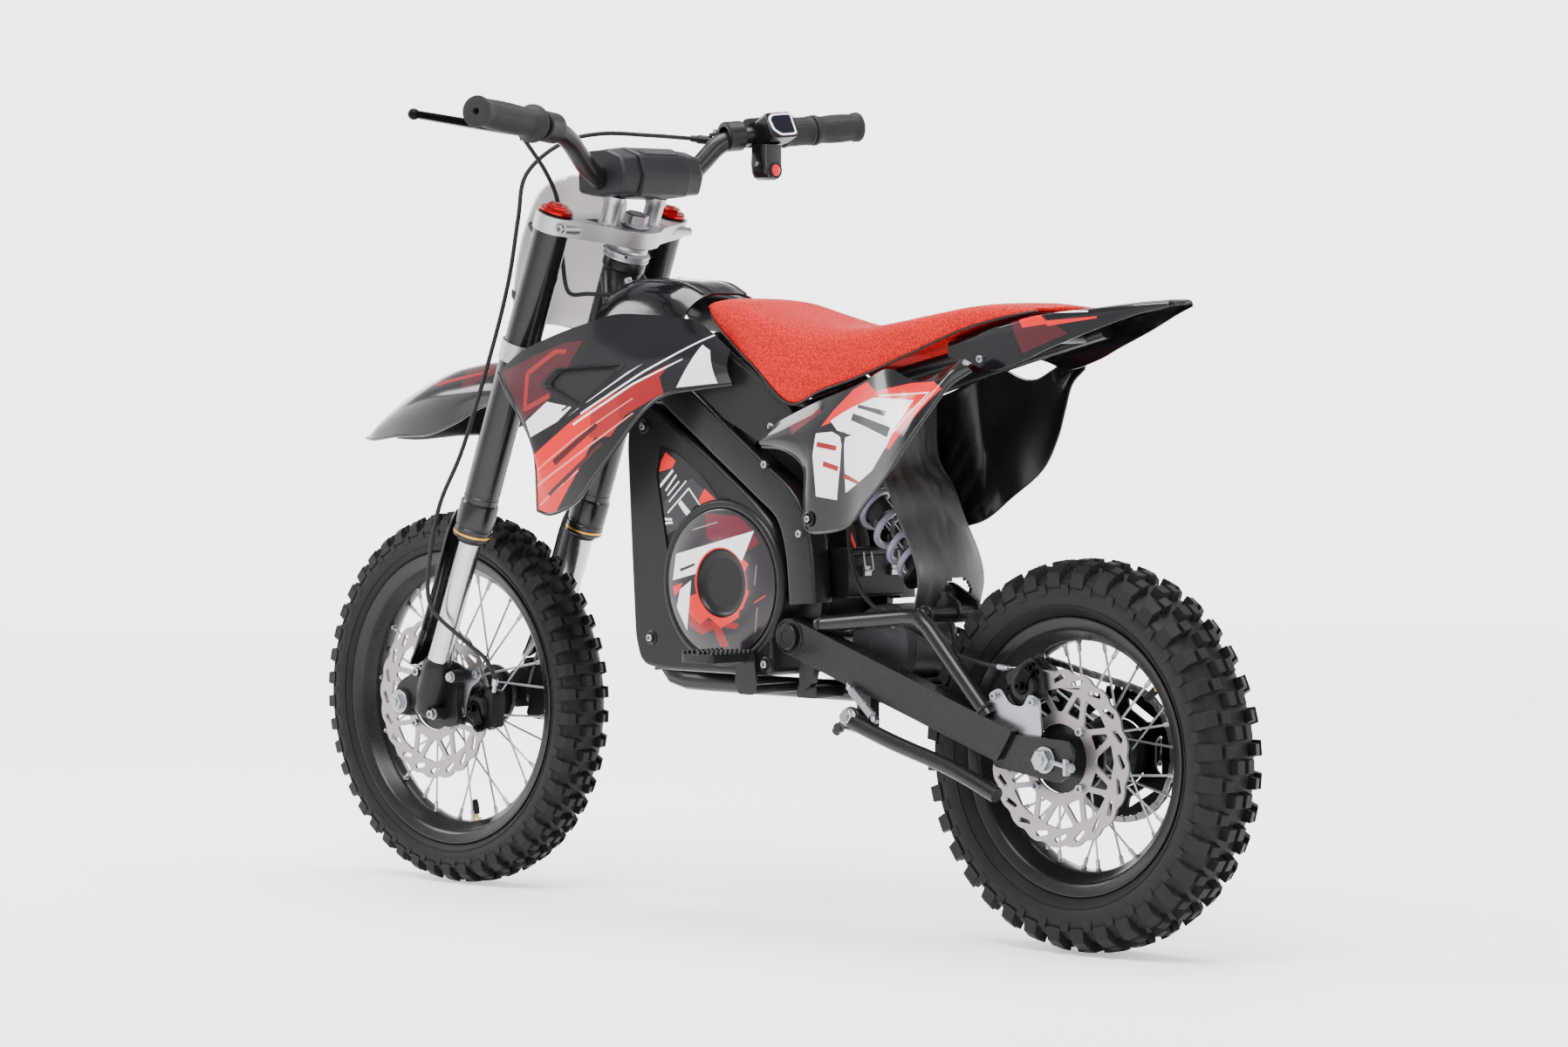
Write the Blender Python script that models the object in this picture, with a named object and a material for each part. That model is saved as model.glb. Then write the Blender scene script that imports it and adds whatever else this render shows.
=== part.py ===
"""Children's electric dirt bike, built from named sub-parts at real size.

All dimensions are in millimetres in the bike's own design frame and are turned into metres when the
meshes are made.  Design frame: X forward from the rear axle, Y to the rider's left, Z up from the ground.
The finished part's origin lies on the ground, midway between the front tyre's front and the rear
tyre's back.
"""
import math

import bmesh
import bpy
from mathutils import Vector

MM = 0.001
GAP = 0.3                      # clearance between neighbouring pieces

# Driving dimensions
WHEELBASE = 938.0
REAR_R, REAR_HALF = 201.0, 43.0          # 80/100-10 tyre
FRONT_R, FRONT_HALF = 213.5, 34.0        # 60/100-12 tyre
REAR_FLANGE, FRONT_FLANGE = 141.0, 166.5  # rim flange radii
REAR_AXLE = Vector((0.0, 0.0, REAR_R))
FRONT_AXLE = Vector((WHEELBASE, 0.0, FRONT_R))
ORIGIN_X = (WHEELBASE + FRONT_R - REAR_R) / 2
TYRE_SEGMENTS = 28
DISC_Y = 48.6                             # mid-plane of both brake discs
DISC_HALF = 1.75
REAR_DISC_R, FRONT_DISC_R = 90.0, 90.5
HUB_HALF = 46.0
SPROCKET_Y, SPROCKET_R = -48.6, 70.0
MOTOR_SPROCKET_R = 18.0
SPOKES_PER_SIDE = 14

# Steering: axis point, unit vectors up the axis and forward of it
RAKE_SLOPE = 0.389
STEER_POINT = Vector((657.0, 0.0, 757.0))
AXIS_UP = Vector((-RAKE_SLOPE, 0.0, 1.0)).normalized()
AXIS_FWD = Vector((1.0, 0.0, RAKE_SLOPE)).normalized()
SIDE = Vector((0.0, 1.0, 0.0))
LEG_A, LEG_B = 36.0, 87.0                 # fork leg offsets: forward and sideways
TUBE_R, STANCHION_R = 20.0, 13.5

# Rear suspension
SWING_PIVOT = Vector((350.0, 0.0, 311.0))
BEAM_IN, BEAM_OUT = 58.0, 78.0            # the swingarm beams' faces in Y
SHOCK_TOP = Vector((365.0, 0.0, 512.0))
SHOCK_LOW = Vector((204.0, 0.0, 356.0))
MOTOR_AXIS = Vector((255.0, 0.0, 305.0))
CASE_Y = 78.0
PEG_PIVOT = Vector((407.0, 92.0, 288.0))
STAND_PIVOT = Vector((247.0, 88.0, 229.0))
STAND_AXIS = Vector((0.094, -0.952, -0.291)).normalized()

# Bar ends: start of the straight grip run, its direction and length (left side)
GRIP_START = Vector((625.0, 185.0, 855.5))
GRIP_DIR = Vector((-29.6, 114.2, 9.7)).normalized()
GRIP_LEN = 115.0
BAR_R = 11.0
BAR_BORE = 11.9                           # bores over the bar, whose flats sit inside this radius
LEVER_PIVOT_L = Vector((664.0, 158.0, 849.0))
LEVER_PIVOT_R = Vector((664.0, -134.0, 846.0))
BUTTON = Vector((603.0, -165.0, 813.0))

COLOURS = {
    "black_gloss": ((0.012, 0.012, 0.014), 0.18, 0.0),
    "black_matte": ((0.02, 0.02, 0.022), 0.55, 0.0),
    "frame_black": ((0.015, 0.015, 0.016), 0.4, 0.2),
    "rubber": ((0.018, 0.018, 0.018), 0.8, 0.0),
    "seat_red": ((0.75, 0.03, 0.02), 0.6, 0.0),
    "red_anodised": ((0.6, 0.01, 0.015), 0.3, 0.8),
    "red_plastic": ((0.7, 0.02, 0.02), 0.35, 0.0),
    "silver": ((0.75, 0.75, 0.76), 0.3, 0.9),
    "zinc": ((0.7, 0.7, 0.72), 0.35, 0.9),
    "chrome": ((0.8, 0.8, 0.8), 0.1, 1.0),
    "disc_steel": ((0.6, 0.57, 0.56), 0.35, 0.9),
    "spring_grey": ((0.5, 0.5, 0.58), 0.4, 0.1),
    "motor_grey": ((0.12, 0.12, 0.13), 0.5, 0.3),
    "plate_white": ((0.8, 0.72, 0.75), 0.35, 0.0),
    "battery_blue": ((0.05, 0.1, 0.3), 0.5, 0.0),
}


# ---------------------------------------------------------------- frames and small maths

def fork(a, b, c):
    """A point given forward (a), left (b) and up (c) in the steering axis's frame."""
    return STEER_POINT + AXIS_FWD * a + SIDE * b + AXIS_UP * c


def mirrored(points):
    return [Vector((p[0], -p[1], p[2])) for p in points]


def along(start, direction, distance):
    return Vector(start) + Vector(direction) * distance


def catmull(points, steps):
    """Smooth curve through the points, with the given number of steps per span."""
    pts = [Vector(p) for p in points]
    pts = [pts[0] * 2 - pts[1]] + pts + [pts[-1] * 2 - pts[-2]]
    curve = []
    for i in range(1, len(pts) - 2):
        p0, p1, p2, p3 = pts[i - 1:i + 3]
        for k in range(steps):
            t = k / steps
            curve.append(0.5 * (2 * p1 + (p2 - p0) * t + (2 * p0 - 5 * p1 + 4 * p2 - p3) * t * t
                                + (3 * p1 - p0 - 3 * p2 + p3) * t ** 3))
    curve.append(pts[-2])
    return curve


def basis(direction):
    """Two unit vectors across a direction; the first is as level as it can be."""
    d = Vector(direction).normalized()
    helper = Vector((0, 0, 1)) if abs(d.z) < 0.9 else Vector((1, 0, 0))
    u = helper.cross(d).normalized()
    return u, d.cross(u).normalized()


def circle2d(radius, sides, phase=0.0):
    return [(radius * math.cos(phase + 2 * math.pi * k / sides),
             radius * math.sin(phase + 2 * math.pi * k / sides)) for k in range(sides)]


# ---------------------------------------------------------------- mesh builders (bmesh, millimetres)

def skin_rings(rings, close_ends=True, loop=False):
    """A closed mesh from rings of equal length; the ends are capped or joined to each other."""
    bm = bmesh.new()
    verts = [[bm.verts.new(p) for p in ring] for ring in rings]
    count = len(rings[0])
    spans = len(rings) if loop else len(rings) - 1
    for i in range(spans):
        a, b = verts[i], verts[(i + 1) % len(rings)]
        for k in range(count):
            bm.faces.new((a[k], a[(k + 1) % count], b[(k + 1) % count], b[k]))
    if close_ends and not loop:
        bm.faces.new(verts[0][::-1])
        bm.faces.new(verts[-1])
    bmesh.ops.recalc_face_normals(bm, faces=bm.faces)
    return bm


def tube(points, radius, sides=10, loop=False):
    """A round bar along a polyline, mitred at its corners."""
    return sweep(points, circle2d(radius, sides, math.pi / sides), loop)


def sweep(points, section, loop=False, level=None):
    """Sweep a section (u across, v up) along a polyline; rings lie in the mitre planes."""
    pts = [Vector(p) for p in points]
    n = len(pts)
    u = None
    rings = []
    for i, p in enumerate(pts):
        before = pts[i - 1] if (i or loop) else None
        after = pts[(i + 1) % n] if (i < n - 1 or loop) else None
        d_in = (p - before).normalized() if before is not None else None
        d_out = (after - p).normalized() if after is not None else None
        d_in = d_in if d_in is not None else d_out
        d_out = d_out if d_out is not None else d_in
        plane = (d_in + d_out).normalized()
        if level is not None:
            u = Vector(level)
        elif u is None:
            u = basis(d_in)[0]
        u = (u - d_in * u.dot(d_in)).normalized()
        v = d_in.cross(u)
        ring = []
        for su, sv in section:
            q = u * su + v * sv
            ring.append(p + q - d_in * (q.dot(plane) / d_in.dot(plane)))
        rings.append(ring)
        u = (u - d_out * u.dot(d_out)).normalized()
    return skin_rings(rings, loop=loop)


def lathe(profile, centre, axis, sides, phase=0.0, across=None):
    """Turn a closed profile of (distance along axis, radius) about an axis.  Radius 0 is allowed at
    the profile's first and last points only."""
    axis = Vector(axis).normalized()
    u = Vector(across).normalized() if across is not None else basis(axis)[0]
    v = axis.cross(u).normalized()
    centre = Vector(centre)
    bm = bmesh.new()
    rows = []
    for dist, radius in profile:
        if radius < 1e-6:
            rows.append([bm.verts.new(centre + axis * dist)])
            continue
        rows.append([bm.verts.new(centre + axis * dist + u * x + v * y)
                     for x, y in circle2d(radius, sides, phase)])
    solid_core = len(rows[0]) == 1
    spans = len(rows) - 1 if solid_core else len(rows)
    for i in range(spans):
        a, b = rows[i], rows[(i + 1) % len(rows)]
        for k in range(sides):
            m = (k + 1) % sides
            if len(a) == 1:
                bm.faces.new((a[0], b[m], b[k]))
            elif len(b) == 1:
                bm.faces.new((a[k], a[m], b[0]))
            else:
                bm.faces.new((a[k], a[m], b[m], b[k]))
    bmesh.ops.recalc_face_normals(bm, faces=bm.faces)
    return bm


def rod(start, end, radius, sides=16, phase=0.0):
    """A plain cylinder between two points."""
    start, end = Vector(start), Vector(end)
    u, v = basis(end - start)
    ring = circle2d(radius, sides, phase)
    return skin_rings([[p + u * x + v * y for x, y in ring] for p in (start, end)])


def prism(outline, low, high, place=lambda x, z, y: Vector((x, y, z))):
    """Extrude an (x, z) outline from one Y to another, or through another placing function."""
    return skin_rings([[place(x, z, t) for x, z in outline] for t in (low, high)])


def box(low, high):
    outline = [(low[0], low[2]), (high[0], low[2]), (high[0], high[2]), (low[0], high[2])]
    return prism(outline, low[1], high[1])


def shell(rows, thickness, inward=None, skip=()):
    """A sheet of the given thickness behind a grid of points; inward is a point that its back faces.
    skip lists (row, column) cells that are left open."""
    bm = bmesh.new()
    front = [[bm.verts.new(p) for p in row] for row in rows]
    for i in range(len(rows) - 1):
        for k in range(len(rows[0]) - 1):
            if (i, k) not in skip:
                bm.faces.new((front[i][k], front[i][k + 1], front[i + 1][k + 1], front[i + 1][k]))
    loose = [v for v in bm.verts if not v.link_faces]
    bmesh.ops.delete(bm, geom=loose, context="VERTS")
    bm.normal_update()
    if inward is not None:
        face = max(bm.faces, key=lambda f: f.calc_area())
        if face.normal.dot(Vector(inward) - face.calc_center_median()) > 0:
            bmesh.ops.reverse_faces(bm, faces=bm.faces)
            bm.normal_update()
    normals = {v: v.normal.copy() for v in bm.verts}
    faces = list(bm.faces)
    border = [e for e in bm.edges if len(e.link_faces) == 1]
    rim = []
    for edge in border:
        face = edge.link_faces[0]
        loop = next(lp for lp in face.loops if lp.edge == edge)
        rim.append((loop.vert, loop.link_loop_next.vert))
    back = {v: bm.verts.new(v.co - normals[v] * thickness) for v in normals}
    for face in faces:
        bm.faces.new([back[v] for v in reversed(face.verts)])
    for a, b in rim:
        bm.faces.new((b, a, back[a], back[b]))
    bmesh.ops.recalc_face_normals(bm, faces=bm.faces)
    return bm


def boolean(base, tools, operation):
    """Apply Boolean modifiers (exact solver) to a mesh, one for each tool."""
    objects = []
    for source in [base] + list(tools):
        mesh = bpy.data.meshes.new("operand")
        source.to_mesh(mesh)
        source.free()
        obj = bpy.data.objects.new("operand", mesh)
        bpy.context.scene.collection.objects.link(obj)
        objects.append(obj)
    for tool in objects[1:]:
        modifier = objects[0].modifiers.new("cut", "BOOLEAN")
        modifier.operation = operation
        modifier.solver = "EXACT"
        modifier.object = tool
    bpy.context.view_layer.update()
    evaluated = objects[0].evaluated_get(bpy.context.evaluated_depsgraph_get())
    bm = bmesh.new()
    bm.from_mesh(evaluated.to_mesh())
    for obj in objects:
        mesh = obj.data
        bpy.data.objects.remove(obj)
        bpy.data.meshes.remove(mesh)
    bmesh.ops.remove_doubles(bm, verts=bm.verts, dist=0.001)
    bmesh.ops.dissolve_degenerate(bm, edges=bm.edges, dist=0.001)
    return bm


def union(*parts):
    return boolean(parts[0], parts[1:], "UNION")


def cut(base, *tools):
    return boolean(base, tools, "DIFFERENCE")


# ---------------------------------------------------------------- scene objects

BODIES = {}


def to_part(point):
    """A design-frame point in the part's frame, in metres."""
    return Vector((point[0] - ORIGIN_X, point[1], point[2])) * MM


def add_body(name, pivot, parent=None):
    """An empty on a body's joint axis, which carries the body's pieces."""
    empty = bpy.data.objects.new("body_" + name, None)
    bpy.context.scene.collection.objects.link(empty)
    empty.location = to_part(pivot)
    if parent:
        empty.parent = BODIES[parent][0]
        empty.location -= to_part(BODIES[parent][1])
    BODIES[name] = (empty, Vector(pivot))


def material(name):
    made = bpy.data.materials.get(name)
    if made is None:
        made = bpy.data.materials.new(name)
        made.use_nodes = True
        colour, roughness, metallic = COLOURS[name]
        shader = made.node_tree.nodes["Principled BSDF"]
        shader.inputs["Base Color"].default_value = (*colour, 1.0)
        shader.inputs["Roughness"].default_value = roughness
        shader.inputs["Metallic"].default_value = metallic
    return made


def add_node(name, bm, body, colour, smooth=35.0):
    """Store a mesh as a named object on its body's empty."""
    empty, pivot = BODIES[body]
    for vert in bm.verts:
        vert.co = (vert.co - pivot) * MM
    mesh = bpy.data.meshes.new(name)
    bm.to_mesh(mesh)
    bm.free()
    mesh.materials.append(material(colour))
    obj = bpy.data.objects.new(name, mesh)
    bpy.context.scene.collection.objects.link(obj)
    obj.parent = empty
    mesh.shade_smooth()
    mesh.set_sharp_from_angle(angle=math.radians(smooth))
    return obj


def add_cable(name, points, radius, body, colour):
    """A cable as a curve object: a POLY spline with a round section and filled caps."""
    empty, pivot = BODIES[body]
    curve = bpy.data.curves.new(name, "CURVE")
    curve.dimensions = "3D"
    curve.bevel_depth = radius * MM
    curve.bevel_resolution = 2
    curve.use_fill_caps = True
    spline = curve.splines.new("POLY")
    spline.points.add(len(points) - 1)
    for slot, point in zip(spline.points, points):
        slot.co = (*((point - pivot) * MM), 1.0)
    curve.materials.append(material(colour))
    obj = bpy.data.objects.new(name, curve)
    bpy.context.scene.collection.objects.link(obj)
    obj.parent = empty


# ---------------------------------------------------------------- wheels

def tyre(centre, radius, half, flange, flange_half):
    """A C-shaped carcass with a flat crown, standing on one flat facet."""
    grow = 1 / math.cos(math.pi / TYRE_SEGMENTS)
    bead = flange - 7.5
    rise = radius - flange
    outer = [(flange_half - 0.6, bead), (flange_half - 0.6, flange + 1.0), (half, flange + 0.42 * rise),
             (half * 0.94, flange + 0.8 * rise), (half * 0.5, radius * grow)]
    inner = [(half * 0.42, radius - 10.0), (half * 0.8, flange + 0.5 * rise), (flange_half - 6.5, bead)]
    section = outer[::-1] + [(-y, r) for y, r in outer]
    hollow = [(-y, r) for y, r in inner[::-1]] + inner
    profile = section[:len(outer)][::-1] + section[len(outer):][::-1] + hollow
    return lathe(profile, centre, SIDE, TYRE_SEGMENTS, math.pi / TYRE_SEGMENTS, across=(1, 0, 0))


def rim(centre, flange, flange_half):
    """A drop-centre rim, 3 mm thick, with upright flanges."""
    upper = [(flange_half, flange), (flange_half, flange - 8.5), (flange_half - 12, flange - 17)]
    lower = [(flange_half - 11, flange - 20), (flange_half + 3, flange - 11.5), (flange_half + 3, flange)]
    profile = upper + [(-y, r) for y, r in upper[::-1]] + [(-y, r) for y, r in lower[::-1]] + lower
    return lathe(profile, centre, SIDE, TYRE_SEGMENTS, math.pi / TYRE_SEGMENTS, across=(1, 0, 0))


def hub(centre):
    """A barrel with two spoke flanges and a boss at each end for disc and sprocket."""
    side = [(19.6, 21), (19.6, 36), (23.6, 36), (23.6, 30), (HUB_HALF - GAP, 30), (HUB_HALF - GAP, 8.7)]
    profile = side + [(-y, r) for y, r in reversed(side)]
    return lathe(profile, centre, SIDE, 14)


def spokes(centre, rim_inner):
    """Crossed spokes, half of each flange's leaning forward and half back.  Each one starts inside its
    flange, which joins it to the hub."""
    parts = []
    step = 2 * math.pi / SPOKES_PER_SIDE
    for side in (1, -1):
        for k in range(SPOKES_PER_SIDE):
            lean = 1 if k % 2 else -1
            rim_angle = step * (k + (0.25 if side > 0 else 0.75))
            hub_angle = rim_angle + lean * math.radians(24)
            hub_y = side * (23.2 if lean > 0 else 20.0)
            start = Vector((math.cos(hub_angle) * 33.0, hub_y, math.sin(hub_angle) * 33.0))
            end_r = rim_inner - 3.0
            end = Vector((math.cos(rim_angle) * end_r, side * 4.0, math.sin(rim_angle) * end_r))
            parts.append(rod(centre + start, centre + end, 1.5, 4))
    return parts


def brake_disc(centre, radius):
    """A waved ring on a plain carrier."""
    count = 32
    rings = []
    for y in (DISC_Y - DISC_HALF, DISC_Y + DISC_HALF):
        rings.append([centre + Vector((math.cos(t) * r, y, math.sin(t) * r))
                      for t, r in ((2 * math.pi * k / count, radius + 1.5 * (-1) ** k)
                                   for k in range(count))])
    disc = skin_rings(rings)
    hole = rod(centre + SIDE * (DISC_Y - 9), centre + SIDE * (DISC_Y + 9), 24.0, 16)
    return cut(disc, hole)


def sprocket(centre, y, radius, teeth, bore):
    """A toothed plate with a round bore."""
    outline = []
    for k in range(teeth):
        for part, r in ((0.0, radius - 5.5), (0.5, radius)):
            t = 2 * math.pi * (k + part) / teeth
            outline.append((math.cos(t) * r, math.sin(t) * r))
    plate = prism([(centre.x + x, centre.z + z) for x, z in outline], y - 1.6, y + 1.6)
    hole = rod(Vector((centre.x, y - 8, centre.z)), Vector((centre.x, y + 8, centre.z)), bore, 16)
    return cut(plate, hole)


def front_wheel():
    body = "front_wheel"
    add_node("front_tyre", tyre(FRONT_AXLE, FRONT_R, FRONT_HALF, FRONT_FLANGE, 23.0), body, "rubber")
    add_node("front_rim", rim(FRONT_AXLE, FRONT_FLANGE, 23.0), body, "frame_black")
    laced = union(hub(FRONT_AXLE), *spokes(FRONT_AXLE, FRONT_FLANGE - 20))
    add_node("front_hub_and_spokes", laced, body, "frame_black")
    add_node("front_brake_disc", brake_disc(FRONT_AXLE, FRONT_DISC_R), body, "disc_steel")


def rear_wheel():
    body = "rear_wheel"
    add_node("rear_tyre", tyre(REAR_AXLE, REAR_R, REAR_HALF, REAR_FLANGE, 26.5), body, "rubber")
    add_node("rear_rim", rim(REAR_AXLE, REAR_FLANGE, 26.5), body, "frame_black")
    laced = union(hub(REAR_AXLE), *spokes(REAR_AXLE, REAR_FLANGE - 20))
    add_node("rear_hub_and_spokes", laced, body, "frame_black")
    add_node("rear_brake_disc", brake_disc(REAR_AXLE, REAR_DISC_R), body, "disc_steel")
    add_node("rear_sprocket", sprocket(REAR_AXLE, SPROCKET_Y, SPROCKET_R, 36, 24.0), body, "disc_steel")


def axle(centre, radius, reach, bearing_half, collar_r):
    """A bolt with hexagon ends and a spacer collar each side of the hub."""
    parts = [rod(centre - SIDE * reach, centre + SIDE * reach, radius, 12)]
    for sign in (1, -1):
        parts.append(rod(centre + SIDE * sign * (HUB_HALF + GAP), centre + SIDE * sign * bearing_half,
                         collar_r, 12))
        parts.append(rod(centre + SIDE * sign * (reach - 9), centre + SIDE * sign * reach, 13.0, 6))
    return union(*parts)


# ---------------------------------------------------------------- fork and steering

def fork_rod(b, c_low, c_high, radius, sides=16, a=LEG_A):
    return rod(fork(a, b, c_low), fork(a, b, c_high), radius, sides)


def fork_plate(outline, c_low, c_high):
    """A plate square to the steering axis, from an (a, b) outline."""
    return skin_rings([[fork(a, b, c) for a, b in outline] for c in (c_low, c_high)])


def clamp_outline(front, back, wing):
    """Half outline of a fork clamp in (a, b), mirrored into a whole one."""
    half = [(front, 0), (front, 30), (LEG_A + 8, 62)]
    half += [(LEG_A + 22.5 * math.cos(t), LEG_B + 22.5 * math.sin(t))
             for t in (math.radians(d) for d in (-20, 30, 80, 120, 160))]
    half += [(wing, 60), (back + 8, 30), (back, 10)]
    return half + [(a, -b) for a, b in reversed(half) if b > 0]


def steering_parts():
    body = "steering"
    stem = rod(fork(0, 0, -178), fork(0, 0, 2), 13.0, 16)
    lower = fork_plate(clamp_outline(48, -22, 6), -182, -160)
    bores = [fork_rod(side * LEG_B, -190, -150, TUBE_R + GAP) for side in (1, -1)]
    nut = rod(fork(0, 0, -5.7), fork(0, 0, 8), 16.0, 6)
    add_node("steering_stem", cut(union(stem, lower, nut), *bores), body, "silver")
    upper = fork_plate(clamp_outline(46, -26, 4), -28, -8)
    risers = [rod(fork(8, side * 32, -10), fork(8, side * 32, 24.5), 12.0, 10) for side in (1, -1)]
    upper = union(upper, *risers)
    bores = [fork_rod(side * LEG_B, -35, 0, TUBE_R + GAP) for side in (1, -1)]
    bores.append(rod(fork(0, 0, -35), fork(0, 0, 0), 13.0 + GAP, 16))
    add_node("upper_clamp", cut(upper, *bores), body, "silver")
    tube_profile = [(-60, 0), (-60, 15.4), (-394, 15.4), (-394, 21.6), (-352, 21.6), (-350, TUBE_R),
                    (-8, TUBE_R), (-6, 18), (-3, 18), (-1, 12), (4, 10.5), (4, 0)]
    for name, side in (("left", 1), ("right", -1)):
        leg = lathe(tube_profile, fork(LEG_A, side * LEG_B, 0), AXIS_UP, 16)
        add_node("fork_tube_" + name, leg, body, "frame_black")
    bar = bar_path()
    add_node("handlebar", tube(bar, BAR_R, 10), body, "frame_black")
    add_node("bar_pad", bar_pad(), body, "black_matte")
    add_node("grip_left", grip(GRIP_START, GRIP_DIR, 0.0), body, "rubber")
    right_start = mirrored([GRIP_START])[0]
    right_dir = mirrored([GRIP_DIR])[0]
    add_node("grip_right", grip(right_start, right_dir, 52.0), body, "rubber")
    add_node("brake_perch_left", brake_perch(LEVER_PIVOT_L, 1, -42, -14), body, "black_matte")
    add_node("brake_perch_right", brake_perch(LEVER_PIVOT_R, -1, -64, -42), body, "black_matte")
    add_node("throttle_display", throttle_display(right_start, right_dir), body, "black_matte")
    twist = [(11.5, BAR_BORE), (11.5, 17.5), (16, 16), (46, 15.5), (51, 17), (51, BAR_BORE)]
    add_node("throttle_twist", lathe(twist, right_start, right_dir, 12), "throttle", "rubber")
    add_node("number_plate", number_plate(), body, "plate_white")
    add_node("front_fender", front_fender(), body, "black_gloss")
    button = [(-5.2, 0), (-4.5, 6.0), (0, 7.0), (6.0, 7.0), (6.0, 0)]
    add_node("kill_button", lathe(button, BUTTON, (1, 0, 0), 12), "kill_switch", "red_plastic")
    for name, pivot, side in (("left", LEVER_PIVOT_L, 1), ("right", LEVER_PIVOT_R, -1)):
        add_node("brake_lever_" + name, brake_lever(pivot, side), "lever_" + name, "black_matte")


def bar_path():
    """The handlebar's centre line, left end to right end."""
    end = along(GRIP_START, GRIP_DIR, GRIP_LEN - 6)
    knots = [GRIP_START, (638, 134, 849), (643, 114, 840), (648, 84, 812), (651, 62, 799), (652, 40, 796)]
    left = [end] + [Vector(p) for p in knots]
    return left + mirrored(reversed(left))


def grip(start, direction, begin):
    """A hollow rubber grip with a closed, pierced end."""
    profile = [(begin, BAR_BORE), (begin, 17.5 if begin else 21.0), (begin + 8, 17.0 if begin else 20.0),
               (begin + 14, 15.5), (GRIP_LEN - 8, 16.5), (GRIP_LEN, 17.0), (GRIP_LEN, 3.0),
               (GRIP_LEN - 5, 3.0), (GRIP_LEN - 5, BAR_BORE)]
    return lathe(profile, start, direction, 12)


def bar_pad():
    """A faceted cover over the bar clamp, in three blocks; its bore lets the bar through."""
    middle = [(610, 779), (604, 806), (614, 828), (640, 836), (672, 834), (690, 820), (688, 782), (660, 777)]
    wing = [(616, 784), (610, 806), (622, 826), (644, 834), (670, 830), (684, 816), (680, 786), (658, 780)]
    pad = skin_rings([[Vector((x + drop, y, z)) for x, z in outline]
                      for outline, y, drop in ((wing, -62, 4), (middle, -36, 0), (middle, 36, 0), (wing, 62, 4))])
    bore = [tube(bar_path()[4:-4], BAR_BORE, 10)]
    risers = [rod(fork(8, side * 32, -12), fork(8, side * 32, 26), 12.0 + GAP, 10) for side in (1, -1)]
    return cut(pad, *bore, *risers)


def brake_perch(pivot, side, s_low, s_high):
    """A bar clamp with a forked ear for its lever."""
    start = Vector((GRIP_START.x, side * GRIP_START.y, GRIP_START.z))
    direction = Vector((GRIP_DIR.x, side * GRIP_DIR.y, GRIP_DIR.z))
    a, b = along(start, direction, s_low), along(start, direction, s_high)
    low = (min(a.x, b.x) + 8, pivot.y - 9, pivot.z - 10)
    high = (pivot.x + 8, pivot.y + 9, pivot.z + 10)
    block = union(rod(a, b, 17.5, 16), box(low, high))
    path = bar_path() if side > 0 else bar_path()[::-1]
    slot = box((pivot.x - 11, pivot.y - 20, pivot.z - 5.5), (pivot.x + 20, pivot.y + 20, pivot.z + 5.5))
    return cut(block, tube(path[:6], BAR_BORE, 10), slot)


def brake_lever(pivot, side):
    """A flat blade with a ball end, pivoted in its perch's slot."""
    reach = [(0, 0), (14, 8), (34, 13), (75, 17), (115, 19), (146, 21)]
    tip_y = 310.0 - 6.5
    scale = (tip_y - abs(pivot.y)) / 146
    path = [Vector((pivot.x + fwd, pivot.y + side * out * scale, pivot.z + 0.105 * out * scale))
            for out, fwd in ((o, f) for o, f in reach)]
    blade = sweep(path, [(-4.0, -6.0), (4.0, -6.0), (4.0, 6.0), (-4.0, 6.0)], level=(0, 0, 1))
    ball = lathe([(-6.5, 0), (-4.6, 4.6), (0, 6.5), (4.6, 4.6), (6.5, 0)], path[-1], SIDE, 10)
    return union(blade, ball, rod(pivot - Vector((0, 0, 5)), pivot + Vector((0, 0, 5)), 8.0, 10))


def throttle_display(start, direction):
    """Display housing clamped on the bar, with the kill switch's pod hanging under it."""
    u, v = basis(direction)
    ring = []
    for s in (-30.0, 3.0):
        p = along(start, direction, s)
        ring.append([p + Vector((x, 0, z)) for x, z in
                     ((-30, 4), (-26, 17), (-8, 22), (14, 20), (20, 6), (18, -14), (-6, -16), (-26, -8))])
    housing = skin_rings(ring)
    pod = box((598, -180, 801), (626, -147, 846))
    bore = tube(bar_path()[::-1][:6], BAR_BORE, 10)
    well = rod(BUTTON + Vector((-12, 0, 0)), BUTTON + Vector((10, 0, 0)), 7.0 + GAP, 16)
    return cut(union(housing, pod), bore, well)


def number_plate():
    """A bowed plate with rounded corners ahead of the fork legs."""
    rows = []
    for c, half, lead in ((12, 40, 104), (6, 60, 103), (-15, 72, 102), (-60, 77, 101), (-110, 72, 99),
                          (-150, 62, 97), (-163, 46, 96)):
        rows.append([fork(lead + 4 - 17 * (k / 4) ** 2, half * k / 4, c) for k in range(-4, 5)])
    return shell(rows, 3.0, inward=fork(0, 0, -60))


FENDER_STATIONS = [
    # x, centre z, crease (y, z), shoulder (y, z), lower edge (y, z)
    (1080, 517, (12, 516), (20, 513), (24, 509)),
    (1052, 538, (16, 536), (33, 522), (36, 508)),
    (1000, 566, (24, 561), (45, 541), (48, 513)),
    (940, 588, (28, 582), (54, 558), (55, 516)),
    (890, 597, (31, 591), (58, 564), (58, 530)),
    (845, 600, (33, 595), (59, 568), (57, 549)),
    (800, 598, (33, 593), (57, 568), (55, 550)),
    (757, 590, (32, 586), (52, 562), (50, 548)),
]


def front_fender():
    rows = []
    for x, top, crease, shoulder, edge in FENDER_STATIONS:
        left = [(x, edge[0], edge[1]), (x, shoulder[0], shoulder[1]), (x, crease[0], crease[1])]
        rows.append([Vector(p) for p in left] + [Vector((x, 0, top))] + mirrored(reversed(left)))
    return shell(rows, 3.0, inward=(920, 0, 400))


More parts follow.
